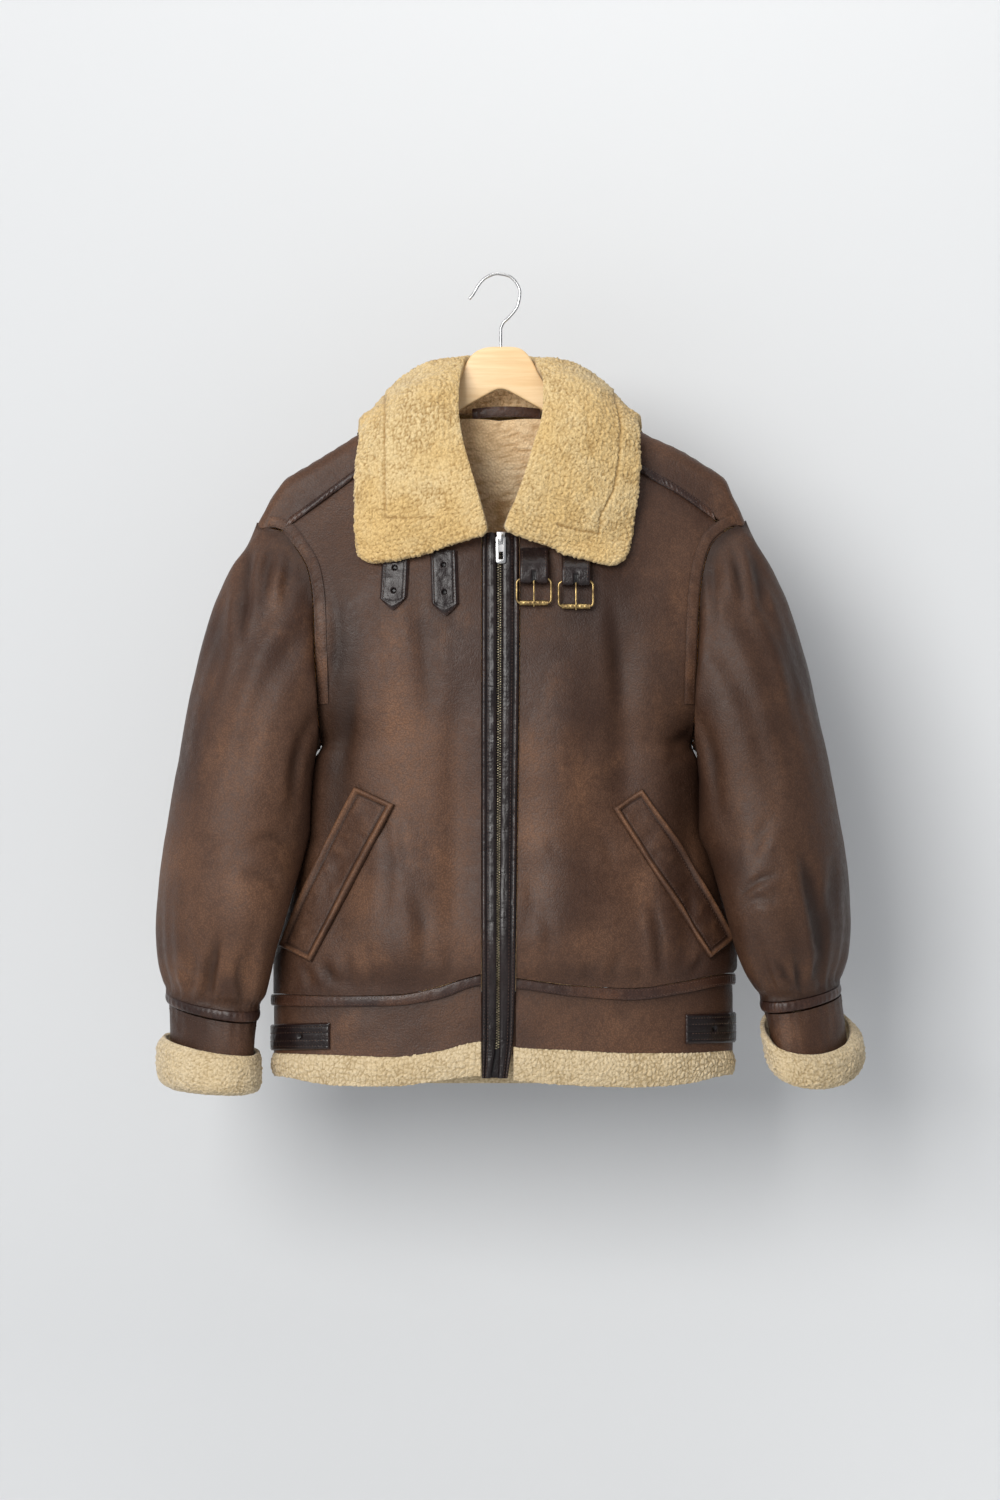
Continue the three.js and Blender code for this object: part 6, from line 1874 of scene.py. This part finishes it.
@dataclass(frozen=True)
class PointedStrap:
    """A flat strap that hangs from under the collar and ends in a point, with two punched holes."""

    name: str
    top: tuple[float, float]
    end: tuple[float, float]
    width: float = 28.0


@dataclass(frozen=True)
class Buckle:
    """A roller buckle on the end of a short strap."""

    name: str
    x: float
    top: float
    bar: float
    width: float
    frame: float
    drop: float


POINTED = (
    PointedStrap("strap_pointed_outer", (-109, -296), (-112.5, -352)),
    PointedStrap("strap_pointed_inner", (-59.5, -290), (-57.5, -358)),
)
BUCKLES = (
    Buckle("inner", 35.5, -287, -320, 29, 38, 27),
    Buckle("outer", 79.5, -292, -322.5, 29, 38, 28),
)
BUCKLE_WIRE = 1.3
STRAP_EYE = 4.6
EYE_CLEAR = 5.2


@dataclass
class Straps:
    """The neck straps and their buckles."""

    finishes: Finishes
    sewing: Sewing

    def build(self) -> None:
        """Makes two pointed straps and two buckled ones."""
        for strap in POINTED:
            self.pointed(strap)
        for buckle in BUCKLES:
            self.buckled(buckle)
            self.hardware(buckle)

    def pointed(self, strap: PointedStrap) -> None:
        """A crowned strap whose lower end narrows to a point, with holes pressed in."""
        rows, columns = 70, 40
        up, share = np.linspace(0, 1, rows)[:, None], np.linspace(0, 1, columns)[None]
        point = 1 - np.minimum(1, up / 0.25)
        sideways = (2 * share - 1) * strap.width / 2
        x = strap.end[0] + (strap.top[0] - strap.end[0]) * up + sideways
        z = strap.end[1] + (strap.top[1] - strap.end[1]) * up + point * np.abs(2 * share - 1) ** 1.3 * 13
        base = on_body(x, z, Face.FRONT)
        out = normals(base, False)
        out *= -np.sign(out[35, 20, 1])
        near = np.minimum(np.minimum(share, 1 - share), np.minimum(up, 1)) * strap.width
        crown = smoothstep(near, 0, 2.2)
        relief = 3.2 + 1.5 * crown + 0.25 * cloud(x, z, 5, 27)
        pressed = np.zeros_like(x)
        for share_up in (0.36, 0.78):
            hole_x = strap.end[0] + (strap.top[0] - strap.end[0]) * share_up
            hole_z = strap.end[1] + (strap.top[1] - strap.end[1]) * share_up
            away = np.hypot(x - hole_x, z - hole_z)
            pressed = np.maximum(pressed, 1 - smoothstep(away, 1.9, 2.9))
        groove_line = np.exp(-(((near - 4) / 0.9) ** 2))
        relief = relief - 2.6 * pressed - 0.35 * groove_line
        # shade: painted shade in the pressed holes and the groove
        marks = {"wear": 0.5 * (1 - crown) * np.ones_like(x), "shade": np.clip(1.6 * pressed + 0.3 * groove_line, 0, 1)}
        outer = base + out * relief[..., None]
        shell = Shell(strap.name, outer, base + out * 0.9, marks=marks, sharp=60)
        settle(shell.build(self.finishes.trim), "trim", strap.name)
        for column in (5, columns - 6):
            self.sewing.row(strap.name, outer[12:, column], out[12:, column])

    @staticmethod
    def eye(buckle: Buckle) -> Array:
        """The middle of the strap's fold round the frame's bar."""
        surface = on_body(buckle.x, buckle.bar, Face.FRONT)
        return surface - np.array([0, STRAP_EYE + EYE_CLEAR, 0])

    def buckled(self, buckle: Buckle) -> None:
        """The folded strap: down from under the collar, round the bar and back up behind itself."""
        eye = self.eye(buckle)
        top = on_body(buckle.x, buckle.top, Face.FRONT)
        dy, dz = top[1] - eye[1] - 4.2, top[2] - eye[2]
        angle = np.linspace(np.pi, 2 * np.pi, 22)
        bend = np.stack([STRAP_EYE * np.cos(angle), STRAP_EYE * np.sin(angle)], axis=-1)
        front = np.array([[dy - 2.6, dz], [-STRAP_EYE + 0.2, 9.0], [-STRAP_EYE, 3.0]])
        behind = np.array([[STRAP_EYE, 3.0], [max(dy + 2.4, 2.0), dz]])
        profile = Line(np.concatenate([front, bend, behind])).at(np.linspace(0, 1, 90))
        along = np.gradient(profile, axis=0)
        along /= np.linalg.norm(along, axis=1, keepdims=True)
        inwards = np.stack([-along[:, 1], along[:, 0]], axis=-1)
        inwards *= np.sign(-(inwards[33] @ profile[33]))
        share = np.linspace(-0.5, 0.5, 36)
        x = eye[0] + share[None] * buckle.width * np.ones((90, 1))
        edge = smoothstep(0.5 - np.abs(share), 0, 0.05)[None] * np.ones((90, 1))
        near_middle = np.abs(share * buckle.width)[None]
        down = np.linspace(0, 1, 90)[:, None]
        slot = (1 - smoothstep(near_middle, 2.0, 2.9)) * smoothstep(down, 0.3, 0.34) * (1 - smoothstep(down, 0.66, 0.7))
        wrinkle = 0.3 * cloud(x, down * 80, 6, 28)
        sink = (0.9 * (1 - edge) + 1.3 * slot - wrinkle)[..., None]
        at = lambda depth: np.concatenate([x[..., None], (profile[:, None] + inwards[:, None] * depth)], axis=-1)
        shift = np.array([0, eye[1], eye[2]])
        outer = at(sink) + shift
        inner = at(np.full_like(sink, 2.3)) + shift
        name = f"strap_buckled_{buckle.name}"
        # shade: painted shade in the slot for the prong
        marks = {"wear": 0.5 * (1 - edge), "shade": np.clip(1.4 * slot, 0, 1)}
        shell = Shell(name, outer, inner, marks=marks, sharp=60)
        settle(shell.build(self.finishes.trim), "trim", name)
        out = -inwards[:, None] * np.ones((1, 36, 1))
        out = np.concatenate([np.zeros((90, 36, 1)), out], axis=-1)
        for column in (3, 32):
            self.sewing.row(name, outer[3:34, column], out[3:34, column])

    def hardware(self, buckle: Buckle) -> None:
        """Frame, prong and roller, each on its own body."""
        eye = self.eye(buckle)
        brass = [self.finishes.brass]
        w, h, r = buckle.frame / 2 - BUCKLE_WIRE, buckle.drop - 2 * BUCKLE_WIRE, 4.0
        quarter = np.linspace(0, np.pi / 2, 7)
        corners = ((w - r, -r, 0), (w - r, -h + r, -np.pi / 2), (-w + r, -h + r, -np.pi), (-w + r, -r, -1.5 * np.pi))
        outline = []
        for cx, cz, turn in corners:
            a = np.pi / 2 - quarter + turn
            outline.append(np.stack([cx + r * np.cos(a), np.zeros(7), cz + r * np.sin(a)], axis=-1))
        loop = Line(np.concatenate([*outline, outline[0][:1]]), smooth=False).at(np.arange(96) / 96)
        piece = mesh_object(f"frame_{buckle.name}", *tube(loop + eye, BUCKLE_WIRE, 14, True, (0, 1, 0)), brass)
        settle(piece, "brass", f"buckle_frame_{buckle.name}", body=f"buckle_frame_{buckle.name}")
        front, tip = -3.0 - 1.4, -h - 3.6
        turn = np.linspace(0.55 * np.pi, 2.45 * np.pi, 26)
        loop_eye = np.stack([np.zeros(26), 2.35 * np.cos(turn), 2.35 * np.sin(turn)], axis=-1)
        arm = np.array([[0, -2.2, -1.5], [0, -3.6, -8], [0, front, -h + 6], [0, front, -h + 1], [0, front + 0.7, tip]])
        prong = joined([
            tube(loop_eye[2:-2] + eye, 0.7, 10, False, (1, 0, 0)),
            tube(Line(arm).at(np.linspace(0, 1, 30)) + eye, np.linspace(1.1, 0.85, 30), 12, False, (1, 0, 0)),
        ])
        piece = mesh_object(f"prong_{buckle.name}", *prong, brass)
        settle(piece, "brass", f"buckle_prong_{buckle.name}", body=f"buckle_prong_{buckle.name}")
        share = np.linspace(0, 1, 40)
        radius = 2.75 + 0.2 * np.cos(share * 6 * np.pi) ** 8
        outer = self.barrel(share, radius)
        inner = self.barrel(share, np.full(40, 1.8))
        centre = eye + np.array([0, 0, -h])
        shell = Shell(f"roller_{buckle.name}", outer + centre, inner + centre, closed=True, sharp=50)
        settle(shell.build(*brass), "brass", f"buckle_roller_{buckle.name}", body=f"buckle_roller_{buckle.name}")

    @staticmethod
    def barrel(share: Array, radius: Array) -> Array:
        """A tube of revolution about X, 29 mm long."""
        angle = np.linspace(0, 2 * np.pi, 28, endpoint=False)[None]
        x = (share[:, None] - 0.5) * 29 * np.ones_like(angle)
        return np.stack([x, radius[:, None] * np.cos(angle), radius[:, None] * np.sin(angle)], axis=-1)


POCKETS = {
    Side.LEFT: ((-151, -537), (-110, -556.5), (-197, -721), (-229, -705)),
    Side.RIGHT: ((149, -539.5), (117.5, -560.5), (218.5, -717), (243, -697)),
}


@dataclass
class Pockets:
    """Slanted pocket welts: piping round a wrinkled inner strip."""

    finishes: Finishes
    sewing: Sewing

    def build(self) -> None:
        """Makes both welts."""
        for side in Side:
            self.pocket(side)

    def pocket(self, side: Side) -> None:
        """A four-sided patch on the body, its rim a round bead and its middle sunk and wrinkled."""
        a, b, c, d = (np.array(p, float) for p in POCKETS[side])
        rows, columns = 150, 44
        up, share = np.linspace(0, 1, rows)[:, None], np.linspace(0, 1, columns)[None]
        mix = lambda p, q, t: p[:, None, None] * (1 - t) + q[:, None, None] * t
        high, low = mix(a, b, share), mix(d, c, share)
        x, z = low * (1 - up) + high * up
        x = x + (1 - share) * side.value * 4 * np.sin(up * np.pi)
        base = on_body(x, z, Face.FRONT)
        out = normals(base, False)
        out *= -np.sign(out[75, 22, 1])
        wide, tall = 37.0, 178.0
        edge_u = np.minimum(share, 1 - share) * wide
        edge_v = np.minimum(up, 1 - up) * tall
        near = np.minimum(edge_u, edge_v)
        bead = np.exp(-(((near - 2.4) / 2.2) ** 2))
        stitch_groove = np.exp(-(((near - 6.2) / 0.9) ** 2))
        inside = smoothstep(near, 5, 9)
        diagonal = cloud(share * 30 + up * 52, up * 178 - share * 12, 9, 33 + side.value)
        wrinkles = (0.75 * diagonal + 0.25 * cloud(share * 37, up * 178, 5, 34)) * inside
        relief = 3.9 + 2.7 * bead - 0.8 * stitch_groove + wrinkles
        relief = np.where(near < 0.6, relief - 1.2, relief)
        outer = base + out * relief[..., None]
        wear = np.clip(0.85 * bead * (0.7 + 0.5 * cloud(share * 37, up * 178, 20, 35)) + 0.3 * np.clip(wrinkles, 0, 1), 0, 1)
        # shade: painted shade in the stitch groove and at the rim's foot
        marks = {"wear": wear, "shade": np.clip(0.8 * stitch_groove + 0.5 * (near < 0.6), 0, 1)}
        name = f"pocket_{side.label}"
        shell = Shell(name, outer, base + out * 0.8, marks=marks, sharp=65)
        settle(shell.build(self.finishes.skin), "trim", name)
        for column in (8, columns - 9):
            self.sewing.row(name, outer[8:-8, column], out[8:-8, column])
        for row in (7, rows - 8):
            self.sewing.row(name, outer[row, 6:-6], out[row, 6:-6])


TABS = {
    Side.LEFT: {"inner": -178, "top": (-785, -789), "foot": (-813, -815)},
    Side.RIGHT: {"inner": 194, "top": (-776, -772), "foot": (-807, -804)},
}


@dataclass
class SideTabs:
    """Adjusting tabs on the waistband, each sewn with four rows."""

    finishes: Finishes
    sewing: Sewing

    def build(self) -> None:
        """Makes both tabs."""
        for side in Side:
            self.tab(side)

    def tab(self, side: Side) -> None:
        """A strap on the waistband from the front round to the back, with a pressed eyelet."""
        spec, s = TABS[side], side.value
        reach = float(half_width(BAND_HEIGHT, s))
        share, up = np.linspace(0, 1, 130)[None], np.linspace(0, 1, 30)[:, None]
        turn = math.asin(abs(spec["inner"]) / reach) * (1 - share) + (np.pi - 0.95) * share
        x = s * reach * np.sin(turn) * np.ones_like(up)
        top = spec["top"][0] * (1 - share) + spec["top"][1] * share
        foot = spec["foot"][0] * (1 - share) + spec["foot"][1] * share
        z = foot * (1 - up) + top * up
        behind = (turn > np.pi / 2) * np.ones_like(up) > 0
        base = np.where(behind[..., None], on_band(x, z, Face.BACK), on_band(x, z, Face.FRONT))
        out = normals(base, False)
        out *= s * np.sign(out[15, 52, 0])
        near_v = np.minimum(up, 1 - up) * 29
        crown = smoothstep(np.minimum(near_v, np.minimum(share, 1 - share) * 260), 0, 2)
        rows = sum(np.exp(-(((up - at) / 0.03) ** 2)) for at in (0.14, 0.38, 0.62, 0.86))
        relief = 2.5 + 1.2 * crown - 0.45 * rows + 0.2 * cloud(share * 260, up * 29, 5, 36)
        length = chart(base)[0]
        length = length - length[:, :1]
        away = np.hypot(length - 34, (up - 0.5) * 29)
        eyelet = 1 - smoothstep(away, 1.8, 2.8)
        relief = relief - 2.2 * eyelet
        outer = base + out * relief[..., None]
        # shade: painted shade in the eyelet and the stitch rows
        marks = {"wear": 0.5 * (1 - crown) * np.ones_like(x), "shade": np.clip(1.5 * eyelet + 0.35 * rows, 0, 1)}
        name = f"side_tab_{side.label}"
        shell = Shell(name, outer, base + out * 0.7, marks=marks, sharp=60)
        settle(shell.build(self.finishes.trim), "trim", name)
        for row in (4, 10, 19, 25):
            self.sewing.row(name, outer[row, 4:], out[row, 4:])


WOOD_OUTLINE = (
    (-15, -75.6), (21, -75.6), (29, -82), (36, -94.5), (45, -112), (90, -150),
    (216, -229), (226, -238), (222, -250), (212, -252),
    (120, -193), (43, -141), (1, -117.6), (-44, -143), (-112, -190),
    (-199, -249), (-209, -248), (-213, -238), (-205, -228),
    (-84, -149), (-43, -110), (-34, -89), (-28, -81),
)
HOOK_PATH = (
    (-32, -25), (-28, -20), (-22, -10), (-13.5, -2), (-3, 1.4), (8, -0.5), (17, -8),
    (21, -18), (19, -31), (10, -44), (3, -51), (0.9, -57), (0.8, -64), (0.8, -88),
)


@dataclass
class Hanger:
    """The wooden hanger, its wire hook and the coat's hanging loop."""

    finishes: Finishes
    sewing: Sewing

    def build(self) -> None:
        """Makes the three pieces."""
        self.wood()
        stations = np.array([(x, 0, z) for x, z in HOOK_PATH], float)
        path = Line(stations).at(np.linspace(0, 1, 110))
        vertices, faces = tube(path, 1.6, 16, False, (0, 1, 0))
        settle(mesh_object("hook", vertices, faces, [self.finishes.steel]), "steel", "hanger_hook")
        self.loop()

    def wood(self) -> None:
        """A flat board whose outline is rounded off towards both faces by a quarter ellipse."""
        outline = Line([*WOOD_OUTLINE, WOOD_OUTLINE[0]], smooth=False).at(np.arange(300) / 300)
        for _ in range(6):
            outline = 0.25 * np.roll(outline, 1, axis=0) + 0.5 * outline + 0.25 * np.roll(outline, -1, axis=0)
        along = np.roll(outline, -1, axis=0) - np.roll(outline, 1, axis=0)
        along /= np.linalg.norm(along, axis=1, keepdims=True)
        area = np.sum(outline[:, 0] * np.roll(outline[:, 1], -1) - np.roll(outline[:, 0], -1) * outline[:, 1])
        inwards = np.stack([-along[:, 1], along[:, 0]], axis=-1) * np.sign(area)
        turn = np.linspace(0, np.pi / 2, 5)
        insets = 2.2 * (1 - np.sin(turn))
        depths = 2.8 + 2.2 * np.cos(turn)
        rounds = [*zip(insets, -depths), *zip(insets[::-1], depths[::-1])]
        points = []
        for inset, depth in rounds:
            flat = outline + inwards * inset
            points.append(np.stack([flat[:, 0], np.full(len(flat), depth), flat[:, 1]], axis=-1))
        count = len(outline)
        vertices = np.concatenate(points) * MM
        index = np.arange(len(vertices)).reshape(-1, count)
        index = np.concatenate([index, index[:, :1]], axis=1)
        a, b, c, d = index[:-1, :-1], index[:-1, 1:], index[1:, 1:], index[1:, :-1]
        walls = np.concatenate([np.stack([a, b, c], axis=-1), np.stack([a, c, d], axis=-1)]).reshape(-1, 3)
        flat = [Vector((*p, 0)) for p in (outline + inwards * insets[0])]
        cap = np.array(tessellate_polygon([flat]))
        faces = np.concatenate([walls, cap, cap[:, ::-1] + len(vertices) - count])
        piece = mesh_object("wooden_hanger", vertices, faces, [self.finishes.wood])
        mesh = bmesh.new()
        mesh.from_mesh(piece.data)
        bmesh.ops.recalc_face_normals(mesh, faces=mesh.faces)
        mesh.to_mesh(piece.data)
        mesh.free()
        piece.data.set_sharp_from_angle(angle=math.radians(40))
        settle(piece, "wood", "hanger_wood")

    def loop(self) -> None:
        """The folded leather hanging loop, sewn at both ends."""
        share, up = np.linspace(0, 1, 90)[None], np.linspace(0, 1, 16)[:, None]
        x = -29 + 71 * share * np.ones_like(up)
        arch = np.sin(share * np.pi)
        y = 23 - 3 * arch * np.ones_like(up)
        base = placed(x, y, -151 + 10.5 * up + 2.5 * arch)
        out = normals(base, False)
        out *= -np.sign(out[8, 45, 1])
        crown = np.sin(np.pi * np.clip(up, 0.05, 0.95)) ** 0.5
        relief = 0.5 + 0.9 * crown + 0.2 * cloud(x, up * 10, 4, 38)
        outer = base + out * relief[..., None]
        marks = {"wear": 0.2 * np.ones_like(x), "shade": np.zeros_like(x)}
        shell = Shell("hanging_loop", outer, base - out * 1.4, marks=marks, sharp=60)
        settle(shell.build(self.finishes.welt), "trim", "hanging_loop")
        for row in (2, 13):
            self.sewing.row("loop", outer[row], out[row])


@dataclass
class Studio:
    """A pale floor and wall in one sweep, soft light from the left, and the camera."""

    wall: float = 0.30
    floor: float = -1.62
    bend: float = 0.45

    def build(self) -> None:
        """Makes the backdrop, the lights, the surroundings and the camera."""
        self.backdrop()
        self.light("key", (-1.9, -4.4, 0.9), (0.0, 0.1, -0.45), 2.4, 215)
        self.light("side", (-3.0, -1.5, 0.2), (-0.2, 0.0, -0.5), 1.4, 7)
        self.light("top", (0.1, -0.7, 1.7), (0, 0, -0.4), 1.4, 14)
        world = bpy.data.worlds.new("surroundings")
        world.use_nodes = True
        background = world.node_tree.nodes["Background"]
        background.inputs["Color"].default_value = (0.90, 0.94, 1.0, 1)
        background.inputs["Strength"].default_value = 0.36
        bpy.context.scene.world = world
        bpy.context.scene.view_settings.view_transform = "Standard"
        self.camera()

    def backdrop(self) -> None:
        """A swept sheet: the floor, a quarter round and the wall behind the coat."""
        angle = np.linspace(0, np.pi / 2, 24)
        y = np.concatenate([[-4.5], self.wall - self.bend + self.bend * np.sin(angle), [self.wall]])
        z = np.concatenate([[self.floor], self.floor + self.bend - self.bend * np.cos(angle), [2.4]])
        x = np.array([-4.0, 4.0])
        points = np.stack([x[None] * np.ones((len(y), 1)), y[:, None] * np.ones((1, 2)), z[:, None] * np.ones((1, 2))], axis=-1)
        index = np.arange(len(y) * 2).reshape(-1, 2)
        quads = np.stack([index[:-1, 0], index[:-1, 1], index[1:, 1], index[1:, 0]], axis=-1)
        n = Nodes("pale_wall")
        across = n.add("ShaderNodeSeparateXYZ")
        n.link(n.place, across.inputs["Vector"])
        # painted light: the wall's colour runs from darker on the left to lighter on the right, evening out the key
        # light's fall-off from the left
        color = n.mix(n.ramp(across.outputs["X"], -0.9, 0.9), (0.59, 0.60, 0.612), (0.715, 0.725, 0.735))
        wall = n.finish(color, 0.9)
        mesh = bpy.data.meshes.new("backdrop")
        mesh.from_pydata(points.reshape(-1, 3).tolist(), [], quads.tolist())
        mesh.polygons.foreach_set("use_smooth", np.ones(len(quads), bool))
        mesh.materials.append(wall)
        sheet = bpy.data.objects.new("backdrop", mesh)
        bpy.context.scene.collection.objects.link(sheet)

    @staticmethod
    def light(name: str, place: Sequence[float], target: Sequence[float], size: float, power: float) -> None:
        """A square area light that faces a point."""
        lamp = bpy.data.lights.new(name, "AREA")
        lamp.size = size
        lamp.energy = power
        lamp.color = (1.0, 0.985, 0.96)
        holder = bpy.data.objects.new(name, lamp)
        holder.location = place
        holder.rotation_euler = (Vector(target) - Vector(place)).to_track_quat("-Z", "Y").to_euler()
        bpy.context.scene.collection.objects.link(holder)

    @staticmethod
    def camera() -> None:
        """Square on to the coat, from the eye's place, with the photo's field of view."""
        data = bpy.data.cameras.new("camera")
        data.sensor_width = 36
        data.lens = 36 * EYE_DISTANCE * MM / 1.575
        holder = bpy.data.objects.new("camera", data)
        holder.location = (0, -EYE_DISTANCE * MM, EYE_HEIGHT * MM)
        holder.rotation_euler = (math.pi / 2, 0, 0)
        bpy.context.scene.collection.objects.link(holder)
        bpy.context.scene.camera = holder


def main() -> None:
    """Builds the coat piece by piece."""
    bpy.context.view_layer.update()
    finishes = Finishes()
    sewing = Sewing(finishes.thread)
    Studio().build()
    parts: tuple[Callable[[], None], ...] = (
        BodyPanels(finishes).build,
        Sleeves(finishes).build,
        Cuffs(finishes, sewing).build,
        Bands(finishes, sewing).build,
        Collar(finishes).build,
        Welts(finishes, sewing).build,
        FrontEdge(finishes, sewing).build,
        Straps(finishes, sewing).build,
        Pockets(finishes, sewing).build,
        SideTabs(finishes, sewing).build,
        Hanger(finishes, sewing).build,
        sewing.build,
    )
    for part in parts:
        part()


if __name__ == "__main__":
    main()
